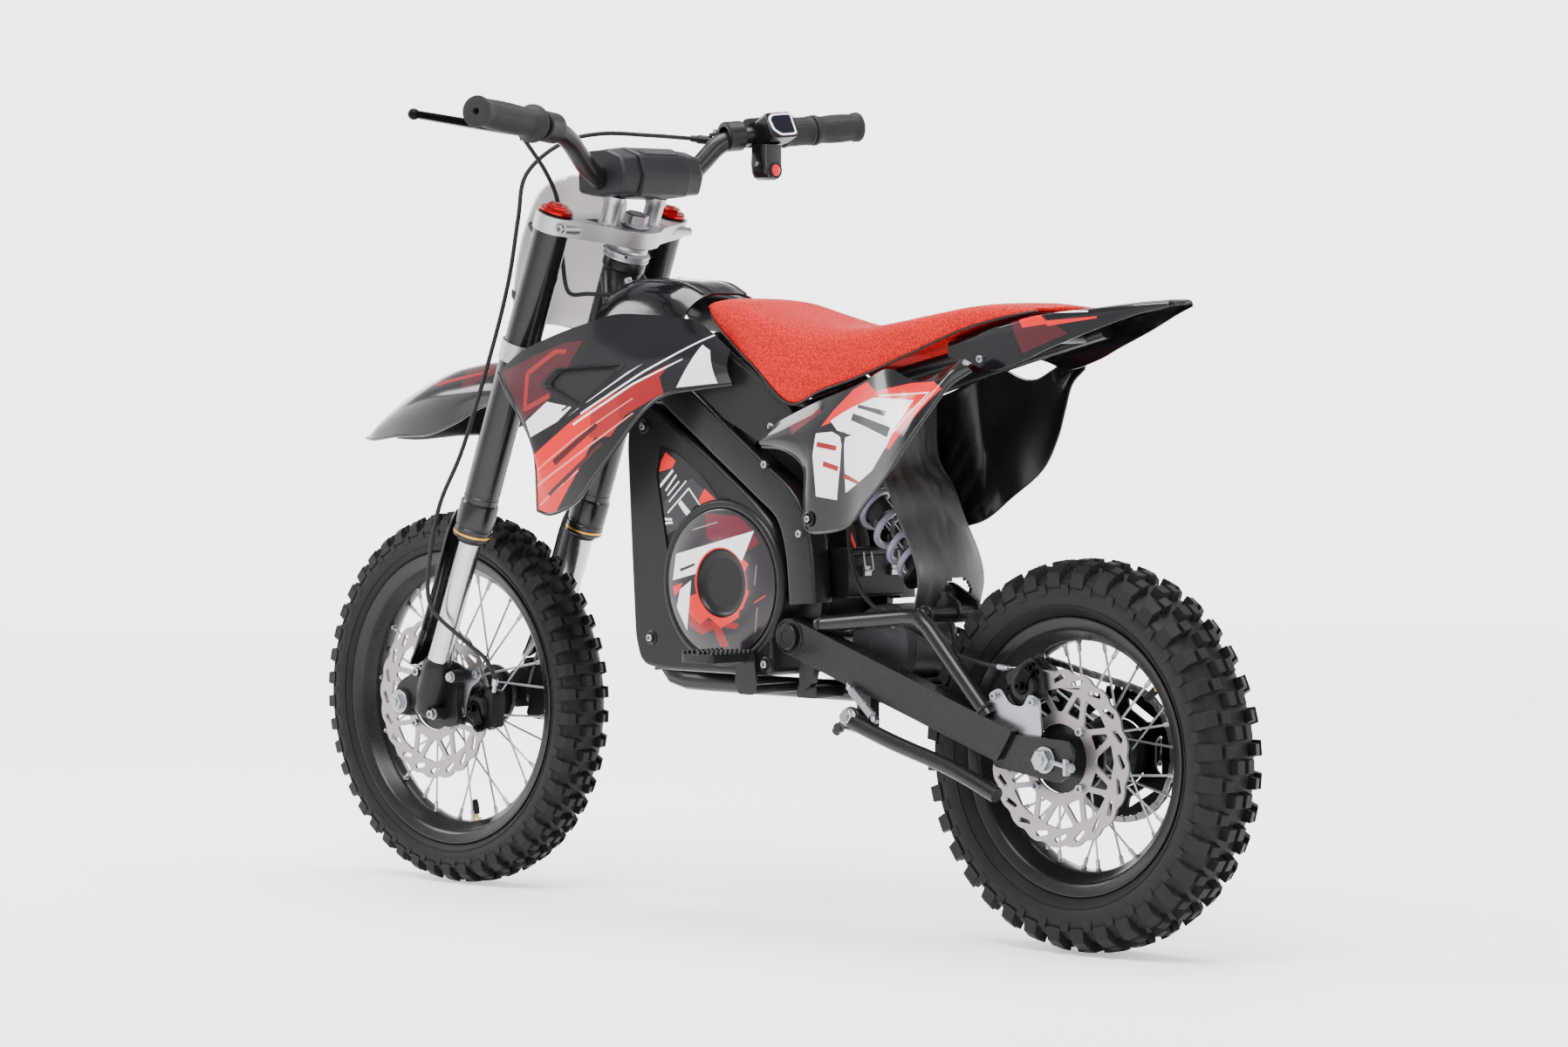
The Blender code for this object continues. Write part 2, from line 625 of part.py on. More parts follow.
def fork_lower_parts():
    body = "fork_lower"
    for name, side in (("left", 1), ("right", -1)):
        b = side * LEG_B
        stanchion = fork_rod(b, -560, -240, STANCHION_R, 14)
        carrier = fork_rod(b, -622, -545, 19.0, 12)
        foot = [(20, -622), (20, -556), (46, -548), (58, -566), (80, -590), (85, -608), (78, -624), (64, -629)]
        lug = skin_rings([[fork(a, side * y, c) for a, c in foot] for y in (71, 99)])
        ear_outline = [(8, -616), (4, -600), (8, -572), (22, -560), (30, -560), (30, -620)]
        ear = skin_rings([[fork(a, side * y, c) for a, c in ear_outline] for y in (66, 76)])
        bore = rod(FRONT_AXLE + SIDE * side * 60, FRONT_AXLE + SIDE * side * 110, 8.0 + 2 * GAP, 12)
        add_node("fork_slider_" + name, cut(union(stanchion, carrier, lug, ear), bore), body, "chrome")
        rows = []
        for c, lead in ((-371, 67), (-400, 67), (-460, 67), (-510, 67), (-540, 69), (-560, 74)):
            columns = ((-9, 69), (-2, 78), (0, 88), (-3, 98), (-10, 106))
            rows.append([fork(lead + da, side * y, c) for da, y in columns])
        add_node("fork_guard_" + name, shell(rows, 2.5, inward=fork(0, b, -460)), body, "black_matte")
    add_node("front_axle", axle(FRONT_AXLE, 8.0, 108.5, 70.5, 12.0), body, "zinc")
    add_node("front_caliper", caliper(FRONT_AXLE, math.radians(184), FRONT_DISC_R, 65.5), body, "black_matte")


def caliper(centre, angle, disc_r, mount_y):
    """A brake caliper body astride the disc, with its bracket arm towards the axle."""
    out = Vector((math.cos(angle), 0, math.sin(angle)))
    tangent = Vector((-math.sin(angle), 0, math.cos(angle)))

    def block(r_low, r_high, half, y_low, y_high):
        outline = [(r_low, -half), (r_high, -half), (r_high, half), (r_low, half)]
        return skin_rings([[centre + out * r + tangent * t + SIDE * y for r, t in outline]
                           for y in (y_low, y_high)])

    body = block(disc_r - 30, disc_r + 16, 26, 37.0, 57.0)
    cylinder = rod(centre + out * (disc_r - 6) + SIDE * 50, centre + out * (disc_r - 6) + SIDE * (mount_y - 1.5),
                   15.0, 14)
    slot = block(disc_r - 40, disc_r + 5, 40, DISC_Y - DISC_HALF - 1.5, DISC_Y + DISC_HALF + 1.5)
    return cut(union(body, cylinder), slot)


# ---------------------------------------------------------------- frame and chassis

def frame():
    """Head tube, twin box spars, cradle, seat rails and brackets, welded into one."""
    head = rod(fork(0, 0, -150), fork(0, 0, -46.5), 24.0, 14)
    parts = [head]
    spar_line = [(560, 55, 586), (504, 64, 553), (448, 66, 515), (387, 66, 473), (352, 66, 446),
                 (336, 66, 404), (330, 66, 346)]
    section = [(-14, -19), (14, -19), (14, 19), (-14, 19)]
    for side in (1, -1):
        def s(x, y, z):
            return Vector((x, side * y, z))
        parts.append(sweep([s(*p) for p in spar_line], section, level=(0, 1, 0)))
        parts.append(tube([s(680, 12, 694), s(654, 30, 652), s(604, 50, 606), s(540, 58, 574)], 15.0, 8))
        plate = [(358, 262), (358, 345), (346, 420), (322, 420), (322, 345), (330, 290), (340, 258), (358, 250)]
        parts.append(prism(plate, side * 46.0, side * 56.0))
        parts.append(tube([s(430, 62, 530), s(330, 62, 553), s(250, 58, 576), s(150, 49, 601),
                           s(60, 42, 622), s(12, 38, 633)], 9.0, 8))
        parts.append(prism([(446, 505), (446, 530), (410, 542), (400, 520), (425, 495)], side * 54.0, side * 70.0))
        tab = [(402, 553), (382, 553), (354, 520), (354, 503), (372, 500), (400, 530)]
        parts.append(prism(tab, side * 12.5, side * 18.0))
        bracket = [(396, 246), (418, 246), (424, 262), (420, 294), (394, 294), (390, 262)]
        parts.append(prism(bracket, side * 82.6, side * 85.4))
        gusset = [(684, 690), (650, 640), (690, 640), (702, 660)]
        parts.append(prism(gusset, side * 10.0, side * 15.0))
    parts.append(rod((350, -56, 311), (350, 56, 311), 15.0, 12))
    parts.append(tube([fork(0, 0, -130), (652, 0, 590), (616, 0, 548), (615, 0, 300), (596, 0, 254),
                       (560, 0, 250), (214, 0, 250)], 11.0, 8))
    parts.append(box((398, -85, 246), (416, 85, 257)))
    parts.append(box((336, -50, 243), (366, 50, 257)))
    parts.append(box((216, -34, 249), (292, 34, 262.4)))
    parts.append(rod((392, -64, 541), (392, 64, 541), 10.0, 8))
    parts.append(rod((40, -42, 626), (40, 42, 626), 7.0, 8))
    whole = union(*parts)
    steering_bore = rod(fork(0, 0, -165), fork(0, 0, -30), 15.5, 14)
    pivot_bore = rod((350, -70, 311), (350, 70, 311), 6.6, 10)
    shock_bolt = rod(SHOCK_TOP - SIDE * 18, SHOCK_TOP + SIDE * 18, 5.0, 10)
    return union(cut(whole, steering_bore, pivot_bore), shock_bolt)


CASE_OUTLINE = [(597, 510), (592, 548), (560, 560), (524, 536), (461, 495), (403, 455), (374, 430),
                (361, 391), (363, 348), (375, 338), (375, 268), (396, 266), (540, 266), (568, 273),
                (580, 286), (584, 300)]


def battery_case(side):
    """Half of the power unit's housing: an open-backed box with a round cover boss."""
    outer = prism(CASE_OUTLINE, side * 0.5, side * CASE_Y)
    centre_x = sum(x for x, z in CASE_OUTLINE) / len(CASE_OUTLINE)
    centre_z = sum(z for x, z in CASE_OUTLINE) / len(CASE_OUTLINE)
    inner = prism([(x + (centre_x - x) * 0.06, z + (centre_z - z) * 0.06) for x, z in CASE_OUTLINE],
                  side * -6.0, side * (CASE_Y - 4.0))
    boss = lathe([(-3.5, 0), (-3.5, 90), (1.5, 90), (4.0, 86), (4.0, 0)], (447, side * CASE_Y, 364), SIDE * side, 24)
    bowl = rod((447, side * (CASE_Y - 2), 364), (447, side * (CASE_Y + 8), 364), 36.4, 18)
    return cut(union(cut(outer, inner), boss), bowl)


def shroud(side):
    """A radiator-style wing with a deep front lobe."""
    top = [(744, 128, 588), (708, 126, 611), (660, 122, 629), (614, 117, 642), (580, 109, 651),
           (545, 101, 651), (508, 94, 648), (472, 88, 642), (425, 88, 613)]
    low = [(683, 127, 437), (660, 127, 434), (624, 126, 448), (599, 125, 473), (564, 122, 510),
           (529, 118, 546), (501, 111, 565), (458, 103, 572), (417, 94, 577)]
    front = [(744, 128, 588), (706, 131, 538), (684, 131, 500), (683, 127, 437)]
    rows = []
    for i, (a, b) in enumerate(zip(top, low)):
        a, b = Vector(a), Vector(b)
        column = []
        for k in range(5):
            t = k / 4
            p = a.lerp(b, t)
            p.y += 7.0 * math.sin(math.pi * t)
            column.append(p)
        if i == 0:
            column = [Vector(p) for p in front[:1]] + [Vector((724, 133, 563))] + [Vector(p) for p in front[1:]]
        rows.append([Vector((p.x, side * p.y, p.z)) for p in column])
    return shell(rows, 3.0, inward=(600, 0, 560))


def side_panel(side):
    """The number panel under the seat, swept up to the tail."""
    top = [(379, 88, 520), (364, 89, 533), (306, 90, 556), (272, 90, 567), (250, 89, 574), (232, 88, 581),
           (200, 87, 594), (170, 88, 584), (150, 88, 582), (126, 86, 592), (101, 86, 604), (86, 86, 600)]
    low = [(379, 88, 511), (342, 92, 508), (312, 95, 490), (308, 98, 452), (300, 100, 424), (243, 106, 430),
           (206, 115, 457), (170, 122, 486), (146, 118, 519), (126, 107, 550), (108, 97, 577), (84, 89, 593)]
    rows = []
    for a, b in zip(top, low):
        a, b = Vector(a), Vector(b)
        column = []
        for k in range(4):
            t = k / 3
            p = a.lerp(b, t)
            p.y += 5.0 * math.sin(math.pi * t)
            column.append(Vector((p.x, side * p.y, p.z)))
        rows.append(column)
    return shell(rows, 3.0, inward=(240, 0, 500))


SEAT_STATIONS = [
    # lower edge (x, y, z), top (x, z), under-side z
    ((500, 42, 656), (512, 661), 652),
    ((473, 64, 643), (482, 668), 636),
    ((434, 76, 619), (434, 665), 622),
    ((396, 84, 596), (388, 653), 611),
    ((341, 88, 557), (332, 640), 598),
    ((296, 86, 571), (290, 637), 596),
    ((243, 84, 586), (240, 641), 602),
    ((169, 78, 613), (170, 652), 613),
    ((114, 70, 634), (115, 660), 634),
    ((62, 62, 647), (62, 661), 647),
    ((30, 50, 653), (30, 657), 653),
]


def seat():
    rings = []
    for (x, y, z), (tx, tz), under in SEAT_STATIONS:
        wall = 12.0
        half = [(tx, 0.0, tz), (tx, 0.55 * y, tz - 1.0), (tx, 0.8 * y, tz - 0.16 * (tz - z)),
                ((x + tx) / 2, 0.94 * y, tz - 0.42 * (tz - z)), (x, y, z), (x, y - wall, z - 0.05),
                ((x + tx) / 2, y - wall - 3, max(under, z + 0.1)), (tx, 0.3 * y, max(under, z + 0.1))]
        left = [Vector(p) for p in half]
        right = mirrored(reversed(half[1:]))
        rings.append(left + right)
    return skin_rings(rings)


def tank_cover():
    """Saddle-shaped cover between head tube and seat, with side panels that run down beside the seat."""
    rows = []
    for x, top, flat, shoulder, edge in ((646, 682, (30, 681), (56, 668), (79, 640)),
                                         (620, 690, (34, 688), (62, 672), (82, 634)),
                                         (580, 690, (34, 688), (64, 671), (82, 630)),
                                         (545, 686, (33, 684), (62, 667), (82, 630)),
                                         (516, 674, (30, 672), (58, 658), (81, 630))):
        left = [(x, edge[0], edge[1]), (x, shoulder[0], shoulder[1]), (x, flat[0], flat[1])]
        rows.append([Vector(p) for p in left] + [Vector((x, 0, top))] + mirrored(reversed(left)))
    saddle = shell(rows, 3.0, inward=(580, 0, 500))
    side_outline = [(610, 640), (508, 640), (474, 636), (400, 594), (340, 550), (340, 538), (378, 512),
                    (440, 540), (500, 584), (560, 602), (610, 606)]
    sides = [prism(side_outline, side * 80.4, side * 83.6) for side in (1, -1)]
    return union(saddle, *sides)


def rear_fender():
    """The tail: a tapering inverted channel from under the seat to its tip."""
    rows = []
    for x, top, half, edge in ((140, 624, 62, 606), (112, 629, 62, 600), (81, 637, 62, 592), (40, 646, 60, 602),
                               (10, 651, 57, 614), (-40, 657, 48, 632), (-85, 662, 34, 648), (-116, 664, 20, 656)):
        left = [(x, half, edge), (x, half, top - 5), (x, half * 0.8, top - 1)]
        rows.append([Vector(p) for p in left] + [Vector((x, 0, top))] + mirrored(reversed(left)))
    return shell(rows, 3.0, inward=(20, 0, 560))


def mud_flap():
    """A rubber sheet between tyre and shock, notched over the shock's lower mount."""
    rows = []
    for x, z in ((250, 560), (247, 500), (224, 466), (210, 436), (190, 400), (183, 372), (189, 345)):
        rows.append([Vector((x + 0.004 * y * y, y, z)) for y in (-50, -30, 0, 30, 50)])
    return shell(rows, 4.0, inward=(0, 0, 201), skip=((4, 1), (4, 2), (5, 1), (5, 2)))


def cable_routes():
    """Centre lines of the two brake cables, which the bike holds all the way."""
    rear_brake = [(690, 146, 850), (700, 124, 838), (706, 92, 810), (717, 64, 782), (726, 50, 750), (724, 48, 710),
                  (704, 58, 676), (672, 56, 674), (640, 32, 670), (600, 18, 648), (556, 18, 610), (470, 32, 585),
                  (400, 36, 568), (330, 34, 530), (300, 42, 470), (286, 52, 400), (262, 52, 352), (200, 50, 322),
                  (140, 50, 300), (100, 50, 292), (76, 52, 290)]
    front_brake = [(690, -120, 850), (697, -60, 852), (702, 10, 852), (718, 56, 840), (740, 88, 806),
                   fork(84, 104, -30), fork(80, 106, -100), fork(76, 106, -180), fork(74, 108, -300),
                   fork(74, 111, -372), fork(62, 114, -440), fork(40, 116, -480), fork(0, 100, -500),
                   fork(-22, 78, -516), fork(-30, 66, -532), fork(-31, 60, -540)]
    return catmull(rear_brake, 2), catmull(front_brake, 3)


def chassis_parts():
    body = "chassis"
    add_node("frame", frame(), body, "frame_black")
    for name, side in (("left", 1), ("right", -1)):
        add_node("case_" + name, battery_case(side), body, "black_gloss")
        add_node("shroud_" + name, shroud(side), body, "black_gloss")
        add_node("side_panel_" + name, side_panel(side), body, "black_gloss")
        add_node("footpeg_" + name, footpeg(side), "footpeg_" + name, "frame_black")
    add_node("battery_pack", box((402, -60, 292), (560, 60, 430)), body, "battery_blue")
    motor = lathe([(-41, 0), (-41, 40), (-37, 42), (37, 42), (41, 40), (41, 0)], MOTOR_AXIS, SIDE, 20)
    foot = box((224, -32, 262.8), (286, 32, 268))
    shaft = rod(MOTOR_AXIS - SIDE * 52, MOTOR_AXIS - SIDE * 38, 6.0, 12)
    add_node("drive_motor", union(motor, foot, shaft), body, "motor_grey")
    add_node("motor_sprocket", sprocket(MOTOR_AXIS, SPROCKET_Y, MOTOR_SPROCKET_R, 11, 6.3), "motor_sprocket",
             "disc_steel")
    add_node("tank_cover", tank_cover(), body, "black_matte")
    add_node("seat", seat(), body, "seat_red")
    add_node("rear_fender", rear_fender(), body, "black_gloss")
    add_node("mud_flap", mud_flap(), body, "rubber")
    ring = [(-46, 15.8), (-46, 26), (-37, 26), (-35, 22), (-28.6, 22), (-28.6, 15.8)]
    add_node("head_bearing", lathe(ring, STEER_POINT, AXIS_UP, 24), body, "zinc")
    pivot_bolt = [rod((350, -84, 311), (350, 84, 311), 6.0, 10)]
    pivot_bolt += [rod((350, side * 78.5, 311), (350, side * 84, 311), 14.0, 16) for side in (1, -1)]
    add_node("swingarm_pivot_bolt", union(*pivot_bolt), body, "zinc")
    rear_brake, front_brake = cable_routes()
    add_cable("rear_brake_cable", rear_brake, 2.5, body, "rubber")
    add_cable("front_brake_cable", front_brake, 2.5, "steering", "rubber")


def footpeg(side):
    """A serrated frame on a fold hinge."""
    low, high = (384.0, 95.0, 284.0), (431.0, 160.0, 297.0)
    outer = box((low[0], side * low[1], low[2]), (high[0], side * high[1], high[2]))
    openings = [box((x, side * 106.0, 270), (x + 14.0, side * 150.0, 310)) for x in (392.0, 409.0)]
    lug = box((399, side * 90.6, 281), (415, side * 97.0, 294))
    return cut(union(outer, lug), *openings)


# ---------------------------------------------------------------- swingarm, shock, stand, chain

def swingarm():
    slope = math.radians(18.2)
    back, up = Vector((-math.cos(slope), 0, -math.sin(slope))), Vector((-math.sin(slope), 0, math.cos(slope)))
    parts = []
    for side in (1, -1):
        outline = []
        for k in range(7):
            t = math.radians(90 - 30 * k)
            outline.append(SWING_PIVOT - back * 19.5 * math.cos(t) + up * 19.5 * math.sin(t))
        outline += [SWING_PIVOT + back * 312 - up * 19.0, SWING_PIVOT + back * 322 + up * 19.0]
        parts.append(prism([(p.x, p.z) for p in outline], side * BEAM_IN, side * BEAM_OUT))
        plate = [(70, 226), (70, 190), (-18, 178), (-34, 190), (-37, 212), (-28, 222)]
        parts.append(prism(plate, side * 67.0, side * 72.0))

        def s(x, y, z):
            return Vector((x, side * y, z))
        parts.append(tube([s(316, 68, 324), s(176, 68, 338), s(160, 68, 326), s(78, 68, 240)], 9.0, 8))
        lug = [(214, 344), (214, 366), (204, 371), (192, 366), (166, 352), (162, 336), (180, 334)]
        parts.append(prism(lug, side * 12.5, side * 17.0))
    parts.append(rod((174, -69, 339), (174, 69, 339), 9.0, 8))
    parts.append(box((236, 60, 218), (258, 74, 268)))
    stand_boss = along(STAND_PIVOT, STAND_AXIS, 16.0)
    parts.append(rod(stand_boss, along(STAND_PIVOT, STAND_AXIS, 6.4), 11.0, 10))
    whole = union(*parts)
    bores = [rod((350, -90, 311), (350, 90, 311), 6.6, 10)]
    for side in (1, -1):
        slot = [(-10, 192.7), (10, 192.7), (10, 209.3), (-10, 209.3)]
        bores.append(prism(slot, side * 60.0, side * 80.0))
    whole = cut(whole, *bores)
    shock_bolt = rod(SHOCK_LOW - SIDE * 17, SHOCK_LOW + SIDE * 17, 4.5, 10)
    stand_bolt = rod(along(STAND_PIVOT, STAND_AXIS, 11.0), along(STAND_PIVOT, STAND_AXIS, -13.0), 6.0, 12)
    return union(whole, shock_bolt, stand_bolt)


def kickstand():
    """Folded back along the swingarm: lug, leg and foot."""
    hub_low, hub_high = along(STAND_PIVOT, STAND_AXIS, 6.0), along(STAND_PIVOT, STAND_AXIS, -10.0)
    lug = rod(hub_low, hub_high, 12.5, 12)
    leg = tube([STAND_PIVOT + Vector((-2, 6.5, -1)), STAND_PIVOT + Vector((-60, 5, -20)), Vector((46, 92, 163))],
               8.5, 8)
    tail = tube([STAND_PIVOT + Vector((2, 3, 4)), STAND_PIVOT + Vector((24, 3, -14))], 5.0, 6)
    bore = rod(along(STAND_PIVOT, STAND_AXIS, 30), along(STAND_PIVOT, STAND_AXIS, -30), 6.3, 12)
    return cut(union(lug, leg, tail), bore)


def rear_suspension_parts():
    add_node("swingarm", swingarm(), "swingarm", "frame_black")
    add_node("rear_axle", axle(REAR_AXLE, 7.6, 86.0, 66.5, 11.0), "swingarm", "zinc")
    add_node("rear_caliper", caliper(REAR_AXLE, math.radians(62), REAR_DISC_R, 57.6), "swingarm", "black_matte")
    add_node("kickstand", kickstand(), "kickstand", "frame_black")
    add_node("drive_chain", drive_chain(), "swingarm", "disc_steel")
    line = (SHOCK_LOW - SHOCK_TOP).normalized()
    length = (SHOCK_LOW - SHOCK_TOP).length
    eye = rod(SHOCK_TOP - SIDE * 11, SHOCK_TOP + SIDE * 11, 12.0, 14)
    barrel_profile = [(9, 0), (9, 11), (24, 11), (29, 24), (35, 24), (36, 15), (112, 15), (112, 8.5), (35, 8.5),
                      (35, 0)]
    barrel = lathe(barrel_profile, SHOCK_TOP, line, 14)
    bore = rod(SHOCK_TOP - SIDE * 13, SHOCK_TOP + SIDE * 13, 5.6, 10)
    add_node("shock_body", cut(union(eye, barrel), bore), "shock", "motor_grey")
    low_eye = rod(SHOCK_LOW - SIDE * 11, SHOCK_LOW + SIDE * 11, 13.0, 14)
    shaft = lathe([(72, 0), (72, 6), (186, 6), (187, 24), (192, 24), (194, 10), (length - 6, 10), (length - 6, 0)],
                  SHOCK_TOP, line, 14)
    low_bore = rod(SHOCK_LOW - SIDE * 13, SHOCK_LOW + SIDE * 13, 7.2, 12)
    add_node("shock_rod", cut(union(low_eye, shaft), low_bore), "shock_rod", "chrome")
    u, v = basis(line)
    turns, wire, coil_r, start, end = 6.0, 3.6, 19.6, 41.0, 181.0
    path = []
    for k in range(int(turns * 10) + 1):
        t = 2 * math.pi * k / 10
        path.append(SHOCK_TOP + line * (start + (end - start) * k / (turns * 10))
                    + u * coil_r * math.cos(t) + v * coil_r * math.sin(t))
    add_node("shock_spring", tube(path, wire, 5), "shock", "spring_grey", smooth=75)


def drive_chain():
    """The closed loop of chain round both sprockets, as a plain band."""
    big_r, small_r = SPROCKET_R + 2.5, MOTOR_SPROCKET_R + 2.5
    span = MOTOR_AXIS - REAR_AXLE
    distance = math.hypot(span.x, span.z)
    heading = math.atan2(span.z, span.x)
    wrap = math.acos((big_r - small_r) / distance)

    def loop_points(extra):
        points = []
        for k in range(17):
            t = heading + wrap + (2 * math.pi - 2 * wrap) * k / 16
            points.append((math.cos(t) * (big_r + extra), REAR_AXLE.z + math.sin(t) * (big_r + extra)))
        for k in range(9):
            t = heading - wrap + 2 * wrap * k / 8
            points.append((MOTOR_AXIS.x + math.cos(t) * (small_r + extra),
                           MOTOR_AXIS.z + math.sin(t) * (small_r + extra)))
        return points

    low, high = SPROCKET_Y - 4.0, SPROCKET_Y + 4.0
    inner, outer = loop_points(0.0), loop_points(7.5)
    rings = []
    for (xi, zi), (xo, zo) in zip(inner, outer):
        rings.append([Vector((xi, low, zi)), Vector((xo, low, zo)), Vector((xo, high, zo)), Vector((xi, high, zi))])
    return skin_rings(rings, loop=True)


# ---------------------------------------------------------------- assembly

def clear_scene():
    for obj in list(bpy.data.objects):
        bpy.data.objects.remove(obj)


def main():
    clear_scene()
    add_body("chassis", (0, 0, 0))
    add_body("steering", STEER_POINT, "chassis")
    add_body("fork_lower", fork(LEG_A, 0, -608), "steering")
    add_body("front_wheel", FRONT_AXLE, "fork_lower")
    add_body("swingarm", SWING_PIVOT, "chassis")
    add_body("rear_wheel", REAR_AXLE, "swingarm")
    add_body("kickstand", STAND_PIVOT, "swingarm")
    add_body("shock", SHOCK_TOP, "chassis")
    add_body("shock_rod", SHOCK_LOW, "shock")
    add_body("motor_sprocket", MOTOR_AXIS, "chassis")
    add_body("lever_left", LEVER_PIVOT_L, "steering")
    add_body("lever_right", LEVER_PIVOT_R, "steering")
    add_body("throttle", mirrored([GRIP_START])[0], "steering")
    add_body("kill_switch", BUTTON, "steering")
    for name, side in (("left", 1), ("right", -1)):
        add_body("footpeg_" + name, (PEG_PIVOT.x, side * PEG_PIVOT.y, PEG_PIVOT.z), "chassis")
    front_wheel()
    rear_wheel()
    steering_parts()
    fork_lower_parts()
    chassis_parts()
    rear_suspension_parts()


main()
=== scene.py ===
"""The looks of the children's electric dirt bike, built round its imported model.

Shapes are worked out in the bike's design frame, in millimetres: X forward from the rear axle, Y to the
rider's left, Z up from the ground.  to_row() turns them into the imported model's frame, in metres.
"""
import math

import bmesh
import bpy
from mathutils import Matrix, Vector


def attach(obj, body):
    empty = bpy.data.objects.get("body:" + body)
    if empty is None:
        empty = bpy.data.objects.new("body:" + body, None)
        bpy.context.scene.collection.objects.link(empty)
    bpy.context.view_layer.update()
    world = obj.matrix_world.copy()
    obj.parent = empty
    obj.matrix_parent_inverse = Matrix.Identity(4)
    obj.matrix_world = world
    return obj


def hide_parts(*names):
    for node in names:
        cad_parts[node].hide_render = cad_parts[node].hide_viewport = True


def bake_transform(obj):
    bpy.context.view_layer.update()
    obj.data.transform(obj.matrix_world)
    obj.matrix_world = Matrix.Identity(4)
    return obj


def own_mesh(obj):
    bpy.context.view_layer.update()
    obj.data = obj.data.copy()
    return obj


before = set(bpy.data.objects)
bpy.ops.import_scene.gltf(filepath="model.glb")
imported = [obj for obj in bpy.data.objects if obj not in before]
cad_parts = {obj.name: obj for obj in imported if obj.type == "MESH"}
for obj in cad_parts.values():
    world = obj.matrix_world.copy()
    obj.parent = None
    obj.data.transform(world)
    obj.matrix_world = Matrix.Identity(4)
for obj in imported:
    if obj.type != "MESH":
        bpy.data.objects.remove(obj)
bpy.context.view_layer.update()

MM = 0.001
ORIGIN_X = 475.25
WHEELBASE = 938.0
REAR_R, FRONT_R = 201.0, 213.5
REAR_AXLE = Vector((0.0, 0.0, REAR_R))
FRONT_AXLE = Vector((WHEELBASE, 0.0, FRONT_R))
SIDE = Vector((0.0, 1.0, 0.0))
STEER_POINT = Vector((657.0, 0.0, 757.0))
AXIS_UP = Vector((-0.389, 0.0, 1.0)).normalized()
AXIS_FWD = Vector((1.0, 0.0, 0.389)).normalized()
LEG_A, LEG_B = 36.0, 87.0
SWING_PIVOT = Vector((350.0, 0.0, 311.0))
SHOCK_TOP = Vector((365.0, 0.0, 512.0))
SHOCK_LOW = Vector((204.0, 0.0, 356.0))
MOTOR_AXIS = Vector((255.0, 0.0, 305.0))
STAND_PIVOT = Vector((247.0, 88.0, 229.0))
STAND_AXIS = Vector((0.094, -0.952, -0.291)).normalized()
GRIP_START = Vector((625.0, 185.0, 855.5))
GRIP_DIR = Vector((-29.6, 114.2, 9.7)).normalized()
GRIP_LEN = 115.0
LEVER_PIVOT = {1: Vector((664.0, 158.0, 849.0)), -1: Vector((664.0, -134.0, 846.0))}
BUTTON = Vector((603.0, -165.0, 813.0))
DISC_Y = 48.6
SPROCKET_Y = -48.6
CASE_Y = 78.0
BOTH = (("left", 1), ("right", -1))


# ---------------------------------------------------------------- places and curves

def to_row(p):
    """A design-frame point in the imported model's frame, in metres."""
    return Vector((p[0] - ORIGIN_X, p[1], p[2])) * MM


def fork(a, b, c):
    """A point given forward (a), left (b) and up (c) in the steering axis's frame."""
    return STEER_POINT + AXIS_FWD * a + SIDE * b + AXIS_UP * c


def mirrored(points):
    return [Vector((p[0], -p[1], p[2])) for p in points]


def flip(p, side):
    return Vector((p[0], side * p[1], p[2]))


def along(start, direction, distance):
    return Vector(start) + Vector(direction) * distance


def catmull(points, steps):
    """Smooth curve through the points, with the given number of steps per span."""
    pts = [Vector(p) for p in points]
    pts = [pts[0] * 2 - pts[1]] + pts + [pts[-1] * 2 - pts[-2]]
    curve = []
    for i in range(1, len(pts) - 2):
        p0, p1, p2, p3 = pts[i - 1:i + 3]
        for k in range(steps):
            t = k / steps
            curve.append(0.5 * (2 * p1 + (p2 - p0) * t + (2 * p0 - 5 * p1 + 4 * p2 - p3) * t * t
                                + (3 * p1 - p0 - 3 * p2 + p3) * t ** 3))
    curve.append(pts[-2])
    return curve


def basis(direction):
    """Two unit vectors across a direction; the first is as level as it can be."""
    d = Vector(direction).normalized()
    helper = Vector((0, 0, 1)) if abs(d.z) < 0.9 else Vector((1, 0, 0))
    u = helper.cross(d).normalized()
    return u, d.cross(u).normalized()


def circle2d(radius, sides, phase=0.0):
    return [(radius * math.cos(phase + 2 * math.pi * k / sides),
             radius * math.sin(phase + 2 * math.pi * k / sides)) for k in range(sides)]


def rounded(points, radius, steps=4):
    """A closed 2-D outline with its corners rounded."""
    result = []
    count = len(points)
    for i in range(count):
        here = Vector(points[i]).to_2d()
        before = Vector(points[i - 1]).to_2d() - here
        after = Vector(points[(i + 1) % count]).to_2d() - here
        cut_back = min(radius, before.length * 0.45, after.length * 0.45)
        a, b = here + before.normalized() * cut_back, here + after.normalized() * cut_back
        for k in range(steps + 1):
            t = k / steps
            p = a * (1 - t) ** 2 + here * 2 * t * (1 - t) + b * t * t
            result.append((p.x, p.y))
    return result


# ---------------------------------------------------------------- mesh builders (bmesh, millimetres)

def merge(*parts):
    """Several meshes in one."""
    whole = bmesh.new()
    for part in parts:
        scratch = bpy.data.meshes.new("scratch")
        part.to_mesh(scratch)
        part.free()
        whole.from_mesh(scratch)
        bpy.data.meshes.remove(scratch)
    return whole


def skin_rings(rings, close_ends=True, loop=False):
    """A closed mesh from rings of equal length; the ends are capped or joined to each other."""
    bm = bmesh.new()
    verts = [[bm.verts.new(p) for p in ring] for ring in rings]
    count = len(rings[0])
    spans = len(rings) if loop else len(rings) - 1
    for i in range(spans):
        a, b = verts[i], verts[(i + 1) % len(rings)]
        for k in range(count):
            bm.faces.new((a[k], a[(k + 1) % count], b[(k + 1) % count], b[k]))
    if close_ends and not loop:
        bm.faces.new(verts[0][::-1])
        bm.faces.new(verts[-1])
    bmesh.ops.recalc_face_normals(bm, faces=bm.faces)
    return bm


